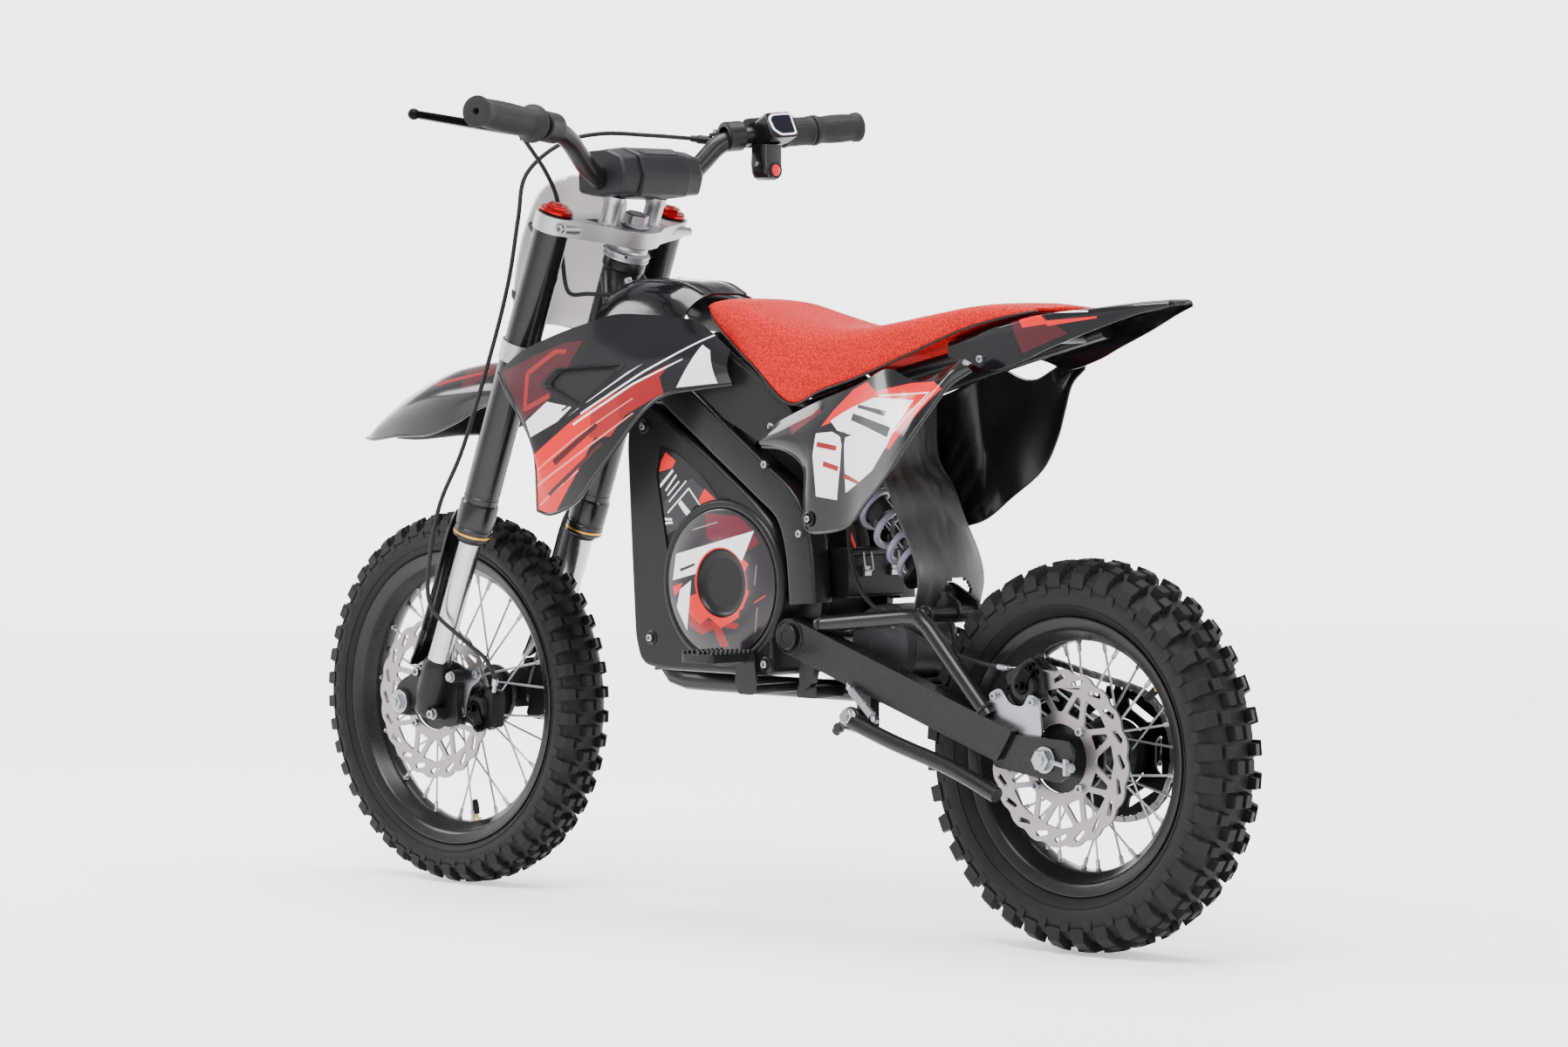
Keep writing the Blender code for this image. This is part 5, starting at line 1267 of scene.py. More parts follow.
def bar_pad():
    """Faceted pad: a raised middle block between two narrower wings, with grooves at the joins."""
    stations = [(-61.5, 0.86, 0.84), (-58.5, 0.92, 0.90), (-39.0, 0.95, 0.94), (-37.4, 0.93, 0.92), (-36.6, 0.97, 0.97),
                (-34.8, 1.0, 1.0), (0, 1.0, 1.0), (34.8, 1.0, 1.0), (36.6, 0.97, 0.97), (37.4, 0.93, 0.92),
                (39.0, 0.95, 0.94), (58.5, 0.92, 0.90), (61.5, 0.86, 0.84)]
    body = skin_rings([[Vector((x, y, z)) for x, z in pad_outline(sx, sz, 2.0 if abs(y) > 37 else 0.0)]
                       for y, sx, sz in stations])
    path = bar_path()
    inside = [p for p in path if abs(p.y) < 92]
    risers = [rod(fork(8, side * 32, -12), fork(8, side * 32, 26), 12.3, 28) for side in (1, -1)]
    shaped = cut(body, tube(inside, 11.4, 28), *risers)
    piece("bar_pad_moulded", shaped, "steering", pad_grey, ("bar_pad",), bevel=0.5,
          smooth=24)
    inset = rounded([(-26, 617), (26, 617), (29, 626), (24, 633.5), (-24, 633.5), (-29, 626)], 3.0, 4)
    slope = Vector((25.0, 0, 9.0)).normalized()
    lift = Vector((-9.0, 0, 25.0)).normalized()
    rings = []
    for depth in (-0.6, 0.5):
        rings.append([Vector((622, 0, 829.6)) + slope * (z - 625) + SIDE * y + lift * depth for y, z in inset])
    piece("bar_pad_badge_blank", skin_rings(rings), "steering", satin, bevel=0.25,
          smooth=30)


def display():
    start, direction = grip_start(-1), grip_dir(-1)
    ring = [(-29, 4), (-26, 14), (-12, 19.4), (12, 18.4), (19.4, 6), (17.4, -13.4), (-6, -15.6), (-25, -10)]
    ring = rounded(ring, 5.0, 4)
    shape = []
    for s, grow in ((-29.6, 0.93), (-28.0, 1.0), (1.0, 1.0), (2.6, 0.95)):
        p = along(start, direction, s)
        shape.append([p + Vector((x * grow, 0, z * grow)) for x, z in ring])
    housing = skin_rings(shape)
    drop = [(614, -164, 842, 11.5, 15.0), (614, -164, 832, 11.5, 15.2), (613.5, -163, 820, 12.0, 15.0),
            (613, -163, 810, 12.4, 13.6), (613, -163, 804.5, 11.6, 11.0), (613, -163, 802, 9.0, 7.0)]
    pod = skin_rings([[Vector((x + u, y + v, z)) for u, v in rounded([(-w, -h), (w, -h), (w, h), (-w, h)], 5.0, 5)]
                      for x, y, z, w, h in drop])
    path = [p for p in bar_path() if p.y < -100]
    bore = tube(path, 11.4, 28)
    well = rod(BUTTON + Vector((-12, 0, 0)), BUTTON + Vector((10, 0, 0)), 7.3, 28)
    body = cut(union(housing, pod), bore, well)
    piece("throttle_display_case", body, "steering", gloss, ("throttle_display",),
          bevel=0.5, smooth=28)
    normal = Vector((-0.90, 0.0, 0.436))
    upward = Vector((0.436, 0.0, 0.90))
    origin = along(start, direction, -13.5) + Vector((-28.0, 0, 8.6))

    def on_face(outline, low, high):
        return skin_rings([[origin + direction * x + upward * y + normal * d for x, y in outline]
                           for d in (low, high)])

    body_outline = rounded([(-17.5, -16), (15.5, -16), (19.0, -9), (19.0, 9), (15.5, 16), (-17.5, 16)], 5.0, 5)
    bezel = rounded([(15, -13.5), (15.6, 13.6), (-11, 13.6), (-15.6, 8), (-14, -6), (-6, -13.5)], 4.0, 5)
    glass = [(x * 0.85, y * 0.84) for x, y in bezel]
    piece("display_pod", on_face(body_outline, -15.0, 3.0), "steering", gloss, bevel=1.2,
          segments=3, smooth=30)
    piece("display_bezel", on_face(bezel, 2.0, 4.0), "steering", white_band, smooth=30)
    piece("display_glass", on_face(glass, 3.0, 4.3), "steering", screen, smooth=30)
    ring = lathe([(-1.8, 7.6), (-1.8, 9.4), (0.4, 9.4), (0.4, 7.6)], Vector((600, BUTTON.y, BUTTON.z)),
                 Vector((-1, 0, 0)), 32)
    piece("kill_switch_surround", ring, "steering", satin, bevel=0.3, smooth=40)
    button = [(-4.9, 0), (-4.9, 3.0), (-4.4, 5.4), (-3.2, 6.7), (0, 6.9), (6.0, 6.9), (6.0, 0)]
    piece("kill_button_domed", lathe(button, BUTTON, (1, 0, 0), 32), "kill_switch", red_plastic,
          ("kill_button",), smooth=40)
    screws = [bolt((612, -148 + 0.2, 820), SIDE, 3.0, False, True)]
    piece("display_screws", merge(*screws), "steering", zinc, smooth=30)


def throttle():
    start, direction = grip_start(-1), grip_dir(-1)
    profile = [(11.5, 11.5), (11.5, 16.8), (12.3, 17.4), (15.0, 17.4), (16.2, 16.2), (46, 15.6), (47.4, 16.8),
               (50.0, 16.8), (50.8, 16.0), (50.8, 11.5)]
    bm = lathe(profile, start, direction, 64)
    u, v = basis(direction)
    piece("throttle_twist_sleeve", bm, "throttle", rubber, ("throttle_twist",), smooth=50)
    ribs = []
    for k in range(24):
        t = 2 * math.pi * k / 24
        out = u * math.cos(t) + v * math.sin(t)
        ribs.append(rod(along(start, direction, 18) + out * 15.4, along(start, direction, 44) + out * 15.0,
                        1.1, 8, 0.4))
    piece("throttle_twist_ribs", merge(*ribs), "throttle", rubber, smooth=50)


def number_plate():
    rows = []
    profile = [(13, 30, 103), (12, 42, 104), (6, 58, 103.5), (-4, 67, 103), (-15, 72, 102), (-36, 75.5, 101.6),
               (-60, 77, 101), (-86, 75.5, 100.2), (-110, 72, 99), (-132, 67, 98), (-150, 60, 97), (-159, 50, 96.4),
               (-163, 36, 96)]
    for c, half, lead in profile:
        rows.append([fork(lead + 4 - 17 * (k / 7) ** 2, half * k / 7, c) for k in range(-7, 8)])
    piece("number_plate_moulded", shell(rows, 2.6, inward=fork(0, 0, -60)), "steering",
          plate_white, ("number_plate",), bevel=0.7, smooth=55)
    rim = [fork(lead + 4 - 17 - 0.5, half * 0.985, c) for c, half, lead in profile[2:-1]]
    other = mirrored(rim)
    strips = [tube(line, 1.7, 10) for line in (rim, other)]
    straps = []
    for side in (1, -1):
        for c in (-40, -120):
            straps.append(tube([fork(60, side * LEG_B, c), fork(74, side * 80, c), fork(90, side * 66, c)], 2.6, 10))
    piece("number_plate_rim", merge(*strips), "steering", plate_white, smooth=60)
    piece("number_plate_straps", merge(*straps), "steering", rubber, smooth=60)
    heads = [bolt(fork(101.5, side * 28, -20), AXIS_FWD, 5.0, True) for side in (1, -1)]
    piece("number_plate_screws", merge(*heads), "steering", zinc, smooth=30)


piece("handlebar_bent", tube(bar_path(), BAR_R, 36), "steering", painted, ("handlebar",),
      smooth=50)
bar_pad()
grip("left", 1, 0.0)
grip("right", -1, 52.0)
lever_parts("left", 1, -42, -14)
lever_parts("right", -1, -64, -42)
display()
throttle()
number_plate()

rear_brake = [(690, 146, 850), (700, 124, 838), (706, 92, 810), (717, 64, 782), (726, 50, 750), (724, 48, 710),
              (704, 58, 676), (672, 56, 674), (640, 32, 670), (600, 18, 648), (556, 18, 610), (470, 32, 585),
              (400, 36, 568), (330, 34, 530), (300, 42, 470), (286, 52, 400), (262, 52, 352), (200, 50, 322),
              (140, 50, 300), (100, 50, 292), (76, 52, 290)]
front_brake = [(690, -120, 850), (697, -60, 852), (702, 10, 852), (718, 56, 840), (740, 88, 806),
               fork(80, 98, -30), fork(75, 93, -100), fork(73, 93, -180), fork(74, 97, -300),
               fork(76, 108, -372), fork(62, 114, -440), fork(40, 116, -480), fork(0, 100, -500),
               fork(-22, 78, -516), fork(-30, 66, -532), fork(-31, 60, -540)]
hose("rear_brake_hose", rear_brake, 2.45, "chassis", ("rear_brake_cable",),
     ("steering", Vector((560, 18, 620)), Vector((730, 48, 720))), 6)
hose("front_brake_hose", front_brake, 2.45, "steering", ("front_brake_cable",),
     ("fork_lower", fork(74, 108, -290), fork(62, 114, -450)), 8)
piece("cable_ferrules", merge(rod((691, 144, 850.5), (687.5, 151, 852), 3.6, 16, 0.4),
                              rod((690.4, -121, 850), (688.2, -127, 850), 3.6, 16, 0.4)), "steering",
      zinc, smooth=35)

# ---------------------------------------------------------------- frame

def mirrored_pair(build):
    """The same mesh built for the left side and the right side."""
    return [build(side) for side in (1, -1)]


def weld(point, direction, radius):
    """A rippled weld bead round a joint."""
    u, v = basis(direction)
    rings = []
    count = 48
    for k in range(count):
        t = 2 * math.pi * k / count
        out = u * math.cos(t) + v * math.sin(t)
        grow = 1.5 + 0.35 * (k % 2)
        rings.append([Vector(point) + out * (radius + grow * x) + Vector(direction).normalized() * grow * y
                      for x, y in circle2d(1.0, 6)])
    return skin_rings(rings, loop=True)


def frame_parts():
    head = lathe([(-150, 15.6), (-150, 23.4), (-148.6, 24.0), (-142, 24.0), (-140.5, 22.4), (-58, 22.4), (-56.5, 24.0),
                  (-48, 24.0), (-46.6, 23.2), (-46.6, 15.6)], STEER_POINT, AXIS_UP, 48)
    parts = [head]
    spar_line = [(560, 55, 586), (504, 64, 553), (448, 66, 515), (387, 66, 473), (352, 66, 446), (336, 66, 404),
                 (330, 66, 346)]
    section = rounded([(-14, -19), (14, -19), (14, 19), (-14, 19)], 3.6, 4)
    for side in (1, -1):
        line = [Vector((x, side * y, z)) for x, y, z in spar_line]
        smooth_line = [line[0], line[1], line[2]] + [Vector(p) for p in catmull(line[2:7], 4)][1:]
        parts.append(sweep(smooth_line, section, level=(0, 1, 0)))
        upper = [(680, 12 * side, 694), (654, 30 * side, 652), (604, 50 * side, 606), (540, 58 * side, 574)]
        parts.append(tube(catmull(upper, 6), 14.8, 28))
        rail = [(430, 62, 530), (330, 62, 553), (250, 58, 576), (150, 49, 601), (60, 42, 622), (12, 38, 633)]
        parts.append(tube(catmull([(x, side * y, z) for x, y, z in rail], 5), 8.9, 24))
        pivot_plate = rounded([(357, 262), (357, 345), (345, 420), (323, 420), (323, 345), (331, 290), (340, 258),
                               (357, 251)], 5.0, 5)
        parts.append(prism(pivot_plate, side * 46.2, side * 55.8))
        parts.append(prism([(446, 505), (446, 530), (410, 542), (400, 520), (425, 495)], side * 54.2, side * 69.8))
        tab = rounded([(402, 553), (382, 553), (354, 520), (354, 503), (372, 500), (400, 530)], 5.0, 4)
        parts.append(prism(tab, side * 12.6, side * 17.8))
        peg_ear = rounded([(396, 247), (418, 247), (423, 262), (419, 293), (395, 293), (391, 262)], 3.0, 3)
        parts.append(prism(peg_ear, side * 82.7, side * 85.3))
        gusset = rounded([(684, 690), (650, 641), (690, 641), (701, 660)], 6.0, 4)
        parts.append(prism(gusset, side * 10.2, side * 14.8))
    parts.append(rod((350, -55.8, 311), (350, 55.8, 311), 14.8, 36, 1.0))
    down = [fork(0, 0, -130), Vector((652, 0, 590)), Vector((616, 0, 548)), Vector((615.4, 0, 500)),
            Vector((615, 0, 300)), Vector((610, 0, 270)), Vector((596, 0, 255)), Vector((575, 0, 250.4)),
            Vector((540, 0, 250)), Vector((214, 0, 250))]
    parts.append(tube(down, 10.9, 28))
    parts.append(prism(rounded([(399, 247), (415.5, 247), (415.5, 256.6), (399, 256.6)], 2.0, 3), -84.8, 84.8))
    parts.append(prism(rounded([(337, 244), (365.5, 244), (365.5, 256.6), (337, 256.6)], 2.0, 3), -49.8, 49.8))
    parts.append(prism(rounded([(217, 250), (291.5, 250), (291.5, 262.2), (217, 262.2)], 2.0, 3), -33.8, 33.8))
    parts.append(rod((392, -63, 541), (392, 63, 541), 9.8, 28, 0.6))
    parts.append(rod((40, -42, 626), (40, 42, 626), 6.8, 24, 0.5))
    piece("frame_welded", merge(*parts), "chassis", painted, ("frame",), bevel=0.5,
          smooth=38)
    beads = [weld((392, side * 57.0, 541), (0, 1, 0), 10.4) for side in (1, -1)]
    beads += [weld((350, side * 45.4, 311), (0, 1, 0), 15.2) for side in (1, -1)]
    beads.append(weld((615, 0, 262), (0.2, 0, 1), 9.2))
    piece("frame_welds", merge(*beads), "chassis", painted, smooth=60)
    screws = []
    for side in (1, -1):
        screws.append(bolt((381, side * 80.1, 492), SIDE * side, 5.0, False, True))
        screws.append(bolt((331, side * 80.1, 420), SIDE * side, 5.0, False, True))
        screws.append(bolt((365, side * 18.0, 512), SIDE * side, 8.0, True))
    piece("frame_screws", merge(*screws), "chassis", zinc, bevel=0.2, smooth=30)
    caps = []
    for side in (1, -1):
        caps.append(lathe([(78.5, 6.6), (78.5, 12.6), (79.4, 13.8), (82.6, 13.8), (83.8, 12.6), (83.8, 0.0)][:-1]
                          + [(83.8, 6.6)], (350, 0, 311), SIDE * side, 40))
        caps.append(rod((350, side * 60, 311), (350, side * 83.2, 311), 7.0, 28, 0.6))
    caps.append(rod((350, -70, 311), (350, 70, 311), 6.2, 24))
    piece("swingarm_pivot_capped", merge(*caps), "chassis", satin, ("swingarm_pivot_bolt",),
          bevel=0.4, smooth=30)


def footpegs():
    for name, side in BOTH:
        outline = rounded([(384.6, side * 95.4), (430.6, side * 95.4), (430.6, side * 159.4),
                           (384.6, side * 159.4)], 5.0, 4)
        holes = [[(x, side * y) for x, y in rounded([(x0, 106), (x0 + 13, 106), (x0 + 13, 150), (x0, 150)], 4.0, 4)]
                 for x0 in (392.6, 409.2)]
        body = plate(outline, holes, 284.4, 293.4, lambda p: Vector((p.x, p.z, p.y)))
        teeth = []
        for x in (386.6, 405.9, 428.6):
            for k in range(9):
                y0 = 98.0 + k * 6.9
                tooth = [(y0, 293), (y0 + 5.6, 293), (y0 + 4.2, 296.9), (y0 + 1.4, 296.9)]
                teeth.append(skin_rings([[Vector((xx, side * y, z)) for y, z in tooth]
                                         for xx in (x - 1.9, x + 1.9)]))
        lug = prism(rounded([(399.4, 281.4), (414.6, 281.4), (414.6, 293.6), (399.4, 293.6)], 2.5, 3),
                    side * 90.9, side * 97.0)
        piece("footpeg_" + name + "_serrated", merge(body, lug, *teeth), "footpeg_" + name,
              painted, ("footpeg_" + name,), bevel=0.4, segments=1, smooth=35)


def motor_parts():
    can = lathe([(-40.6, 0), (-40.6, 36), (-39.6, 39.4), (-36, 41.2), (-30, 41.8), (-29, 40.4), (-26, 40.4),
                 (-25, 41.8), (25, 41.8), (26, 40.4), (29, 40.4), (30, 41.8), (36, 41.2), (39.6, 39.4),
                 (40.6, 36), (40.6, 13), (39.6, 12), (39.6, 0)], MOTOR_AXIS, SIDE, 64)
    fins = []
    for k in range(24):
        t = 2 * math.pi * k / 24
        if -2.4 < t - 1.5 * math.pi < 0.9:
            continue
        place = MOTOR_AXIS + Vector((math.cos(t) * 40.9, 0, math.sin(t) * 40.9))
        fins.append(rod(place - SIDE * 22, place + SIDE * 22, 1.1, 8))
    foot = prism(rounded([(224.6, 263), (285.6, 263), (285.6, 269), (224.6, 269)], 1.5, 3), -31.6, 31.6)
    shaft = rod(MOTOR_AXIS - SIDE * 51.6, MOTOR_AXIS - SIDE * 38, 5.9, 28, 0.8)
    piece("drive_motor_can", merge(can, foot, shaft, *fins), "chassis", motor_paint,
          ("drive_motor",), bevel=0.4, smooth=32)
    heads = [bolt(MOTOR_AXIS + Vector((math.cos(t) * 30, 40.4, math.sin(t) * 30)), SIDE, 4.0, False, True)
             for t in (math.radians(45 + 90 * k) for k in range(4))]
    piece("drive_motor_screws", merge(*heads), "chassis", zinc, smooth=30)
    holes = [circle2d(6.4, 20)]
    piece("motor_sprocket_cut", plate(placed(toothed(18.0, 11, 4.6), MOTOR_AXIS),
                                      [placed(h, MOTOR_AXIS) for h in holes], SPROCKET_Y - 1.6, SPROCKET_Y + 1.6),
          "motor_sprocket", chain_steel, ("motor_sprocket",), bevel=0.25, segments=1, smooth=30)
    control = prism(rounded([(296, 352), (322, 352), (322, 398), (296, 398)], 4.0, 4), -44, 44)
    lid = prism(rounded([(293, 396), (325, 396), (325, 404), (293, 404)], 3.0, 4), -46, 46)
    piece("controller_box", merge(control, lid), "chassis", satin, bevel=0.6, smooth=32)
    latches = []
    for y in (-24, 18):
        loop = [(293.0, y - 6, 400), (290.6, y - 6, 386), (290.0, y - 4.4, 381), (290.0, y + 4.4, 381),
                (290.6, y + 6, 386), (293.0, y + 6, 400)]
        latches.append(tube(catmull(loop, 4), 1.0, 10))
        latches.append(prism(rounded([(291.4, 374), (295.6, 374), (295.6, 386), (291.4, 386)], 1.5, 3), y - 5, y + 5))
    piece("controller_latches", merge(*latches), "chassis", zinc, smooth=45)
    wire = [(316, 40, 470), (306, 46, 455), (297, 48, 436), (292, 44, 418), (296, 34, 405)]
    cable("power_wire_red", wire, 1.5, "chassis", red_wire, (), 8)
    leads = [(318, 26, 470), (309, 30, 450), (303, 30, 428), (305, 24, 405)]
    cable("power_wire_black", leads, 2.2, "chassis", smooth_rubber, (), 8)


frame_parts()
footpegs()
motor_parts()

# ---------------------------------------------------------------- power unit housing

CASE_OUTLINE = [(596, 510), (591, 547), (561, 559), (524, 535), (461, 495), (403, 455), (374, 430), (362, 391),
                (364, 352), (376, 336), (376, 268), (396, 266.5), (540, 266.5), (574, 271), (584, 300)]
COVER = (447.0, 364.0)

case_print = stickers("case_print", [
    ((0.020, 0.018, 0.021), [[(496, 475), (454, 448), (488, 423), (533, 416), (542, 446)]]),
    ((0.20, 0.02, 0.016), [[(532, 410), (510, 414), (520, 390), (526, 384)]]),
    (WHITE, [stripe((524, 483), (544, 465), 2.6), stripe((519, 478), (535, 461), 1.8),
             stripe((515, 471), (532, 456), 1.4), stripe((504, 472), (530, 449), 1.0),
             stripe((500, 464), (532, 437), 1.2), stripe((500, 464), (478, 441), 1.2),
             stripe((539, 430), (526, 430), 2.0), stripe((538, 425.5), (525, 426.5), 2.0),
             stripe((514, 449), (500, 436), 5.0, 7.0), stripe((498, 426), (486, 430), 2.2)]),
    (WHITE, [[(499, 434), (451, 450), (448, 447), (478, 433)]]),
    (RED, [[(535, 502), (520, 493), (525, 486), (550, 480)], [(476, 464), (454, 449), (481, 443), (484, 453)]]),
], base=(0.006, 0.005, 0.007), rough=0.22)
cover_print = stickers("cover_print", [
    (ROSE, [[(470, 438), (420, 436), (400, 422), (451, 406), (468, 412)], [(415, 395), (398, 418), (386, 404), (406, 400)]]),
    (DEEP_RED, [[(494, 330), (446, 319), (476, 308), (494, 317)], [(462, 321), (449, 320), (435, 297), (447, 296)],
                [(438, 324), (420, 321), (424, 316), (440, 317)]]),
    (RED, [[(494, 348), (482, 352), (464, 328), (478, 319), (495, 330)],
           [(476, 334), (447, 316), (420, 329), (420, 345)], [(412, 363), (405, 356), (415, 338), (424, 334)],
           [(417, 392), (406, 386), (411, 378), (417, 380)], [(519, 358), (496, 365), (508, 355), (514, 338)]]),
    (WHITE, [[(514, 393), (398, 421), (415, 390), (519, 365)], [(508, 355), (492, 365), (498, 312), (513, 336)]]),
    ((0.16, 0.13, 0.14), [stripe((489, 420), (452, 429), 1.0), stripe((394, 385), (397, 364), 0.8),
                          stripe((393, 340), (396, 314), 0.8)]),
    (RED, [stripe((397, 345), (381, 353), 0.8)]),
    (CHARCOAL, [stripe((508, 376), (486, 383), 3.0, 2.0)]),
], base=(0.018, 0.014, 0.018), rough=0.2)
edge = cover_print.ring_mask((COVER[0], 0, COVER[1]), 35.5, 38.6)
shader_colour = cover_print.shader.inputs["Base Color"].links[0].from_socket
cover_print.paint(cover_print.mix(edge, shader_colour, RED))


def case_half(name, side):
    """One half of the housing: flat side with softly rounded edges, a raised band and a sunk print area."""
    outer_outline = rounded(CASE_OUTLINE, 13.0, 5)
    middle = Vector((sum(x for x, z in CASE_OUTLINE) / len(CASE_OUTLINE),
                     sum(z for x, z in CASE_OUTLINE) / len(CASE_OUTLINE)))

    def shrunk(outline, amount):
        result = []
        n = len(outline)
        for i in range(n):
            a, b, c = Vector(outline[i - 1]), Vector(outline[i]), Vector(outline[(i + 1) % n])
            normal = ((b - a).normalized() + (c - b).normalized()).orthogonal()
            normal = normal.normalized() if normal.length > 1e-6 else (b - a).orthogonal().normalized()
            if normal.dot(middle - b) < 0:
                normal = -normal
            result.append(tuple(b + normal * amount))
        return result

    section = [(0.6, 0.0), (60.0, 0.0), (70.0, 0.2), (74.2, 1.0), (76.6, 2.8), (77.8, 5.4), (75.4, 6.4), (72.0, 3.4),
               (0.6, 3.0)]
    wall = skin_rings([[Vector((x, side * y, z)) for x, z in shrunk(outer_outline, inset)] for y, inset in section],
                      loop=True)
    window = rounded([(541, 512), (548, 478), (532, 398), (524, 352), (511, 318), (484, 288), (447, 276), (408, 284),
                      (376, 314), (368, 352), (372, 386), (390, 424), (430, 450), (478, 478), (516, 503)], 5.0, 5)
    face = plate(shrunk(outer_outline, 5.0), [window], side * 75.0, side * 77.8)
    floor_outline = [(x + (x - 455) * 0.02, z + (z - 390) * 0.02) for x, z in window]
    recess = prism(floor_outline, side * 73.4, side * 75.5)
    back = plate(shrunk(outer_outline, 2.0), [], side * 0.6, side * 2.6)
    piece("case_" + name + "_moulded", merge(wall, face, recess, back), "chassis", satin,
          ("case_" + name,), smooth=34)
    tongue = rounded([(538, 508), (546, 478), (533, 412), (518, 420), (490, 446), (452, 450), (480, 478),
                      (516, 501)], 3.0, 4)
    piece("case_print_" + name, plate(tongue, [], side * 75.6, side * 76.3), "chassis",
          case_print, bevel=0.2, segments=1, smooth=30)
    boss = lathe([(74.6, 36.6), (74.6, 79.6), (79.6, 79.6), (81.0, 79.2), (81.7, 78.0), (81.7, 38.4), (81.2, 37.0),
                  (80.0, 36.6)], (COVER[0], 0, COVER[1]), SIDE * side, 96)
    piece("case_cover_" + name, boss, "chassis", cover_print, smooth=40)
    ring = lathe([(74.6, 79.8), (74.6, 90.4), (76.8, 90.2), (79.6, 88.6), (80.8, 86.4), (80.8, 82.2), (79.4, 80.4)],
                 (COVER[0], 0, COVER[1]), SIDE * side, 96)
    piece("case_ring_" + name, ring, "chassis", satin, smooth=40)
    bowl = lathe([(75.2, 0.0), (75.2, 22.0), (75.8, 31.0), (77.6, 35.0), (80.6, 36.5), (72.0, 36.5), (72.0, 0.0)],
                 (COVER[0], 0, COVER[1]), SIDE * side, 72)
    piece("case_bowl_" + name, bowl, "chassis", satin, smooth=40)
    heads = []
    cups = []
    for x, z in ((556, 301), (384, 280), (566, 530)):
        heads.append(bolt((x, side * 78.0, z), SIDE * side, 5.0, False, True))
        cups.append(lathe([(76.6, 4.6), (76.6, 8.4), (78.6, 8.0), (79.2, 6.8), (78.4, 5.2)], (x, 0, z),
                          SIDE * side, 32))
    piece("case_screws_" + name, merge(*heads), "chassis", zinc, bevel=0.2, smooth=30)
    piece("case_screw_cups_" + name, merge(*cups), "chassis", satin, smooth=40)


for half_name, half_side in BOTH:
    case_half(half_name, half_side)

# ---------------------------------------------------------------- bodywork

shroud_print = stickers("shroud_print", [
    (MAROON, [[(736, 588), (686, 607), (644, 620), (617, 623), (640, 588), (664, 556), (696, 537)]]),
    ((0.20, 0.010, 0.012), [stripe((696, 587), (656, 611), 5.0), stripe((696, 587), (696, 546), 5.0),
                            stripe((696, 548), (660, 563), 5.0), stripe((656, 611), (640, 611), 4.0)]),
    (DEEP_RED, [[(612, 590), (563, 567), (510, 592), (495, 598), (545, 545), (600, 520)]]),
    (RED, [[(682, 498), (631, 532), (597, 552), (572, 540), (618, 482), (650, 435), (690, 432)]]),
    ((0.24, 0.010, 0.010), [[(597, 552), (563, 567), (530, 577), (550, 545), (572, 520), (600, 518)]]),
    (DEEP_RED, [[(563, 567), (510, 592), (503, 567), (559, 539)]]),
    ((0.58, 0.16, 0.15), [stripe((680, 464), (618, 499), 1.8), stripe((618, 499), (541, 545), 1.8, 0.8),
                          stripe((680, 480), (618, 519), 1.2), stripe((618, 519), (541, 561), 1.2, 0.6),
                          stripe((678, 443), (618, 482), 1.4)]),
    (MAROON, [stripe((652, 490), (590, 532), 6.5, 4.5), stripe((640, 470), (584, 512), 4.5, 3.0),
              stripe((662, 455), (630, 478), 4.0)]),
    (WHITE, [[(694, 534), (663, 556), (615, 549), (647, 535), (682, 508)]]),
    (WHITE, [[(626, 544), (578, 582), (544, 603), (448, 643), (435, 642), (536, 595), (608, 554), (645, 532)]]),
    (WHITE, [stripe((612, 544), (527, 590), 1.6), stripe((527, 590), (428, 639), 1.6, 1.0),
             stripe((623, 532), (542, 576), 1.8), stripe((542, 576), (480, 603), 1.8, 0.8)]),
    (CHARCOAL, [stripe((640, 547), (560, 590), 2.0, 1.0)]),
    (WHITE, [[(486, 573), (458, 618), (447, 612), (435, 578)]]),
], base=(0.0045, 0.0045, 0.0060), rough=0.13)
panel_print = stickers("side_panel_print", [
    (ROSE, [stripe((330, 529), (290, 551), 10.0, 6.0)]),
    (RED, [[(229, 567), (165, 579), (131, 581), (118, 577), (114, 574), (127, 562), (192, 560)],
           [(130, 572), (122, 568), (172, 512), (182, 514), (152, 562)],
           [(246, 572), (228, 580), (205, 566), (250, 545), (285, 534), (270, 551)]]),
    (WHITE, [[(292, 526), (269, 528), (258, 523), (253, 510), (257, 458), (289, 461), (295, 503)],
             [(283, 534), (259, 547), (243, 554), (212, 564), (152, 562), (165, 539), (251, 519), (263, 530)],
             [(251, 522), (165, 542), (177, 516), (198, 490), (220, 478), (254, 460), (250, 515)]]),
    (WHITE, [stripe((131, 570), (174, 525), 0.9), stripe((204, 566), (131, 570), 0.9)]),
    (BLACK, [stripe((253, 528), (252, 458), 2.6), stripe((276, 532), (255, 524), 2.6)]),
    (CHARCOAL, [stripe((243, 544), (178, 529), 7.0, 10.0), stripe((236, 555), (190, 548), 3.0, 5.0)]),
    (DEEP_RED, [stripe((290, 515), (262, 511), 5.0), stripe((280, 495), (257, 490), 5.0),
                stripe((247, 483), (222, 476), 5.0, 3.0)]),
], base=(0.0052, 0.0052, 0.0066), rough=0.13)
tail_print = stickers("tail_print", [
    (MAROON, [[(60, 650), (20, 650), (-14, 630), (40, 610)]]),
    (RED, [[(52, 652), (24, 652), (8, 640), (40, 636)], stripe((10, 640), (-46, 646), 5.0, 1.5)]),
    (WHITE, [stripe((20, 652), (-36, 652), 3.0, 1.0)]),
], base=(0.0045, 0.0045, 0.0060), rough=0.13)
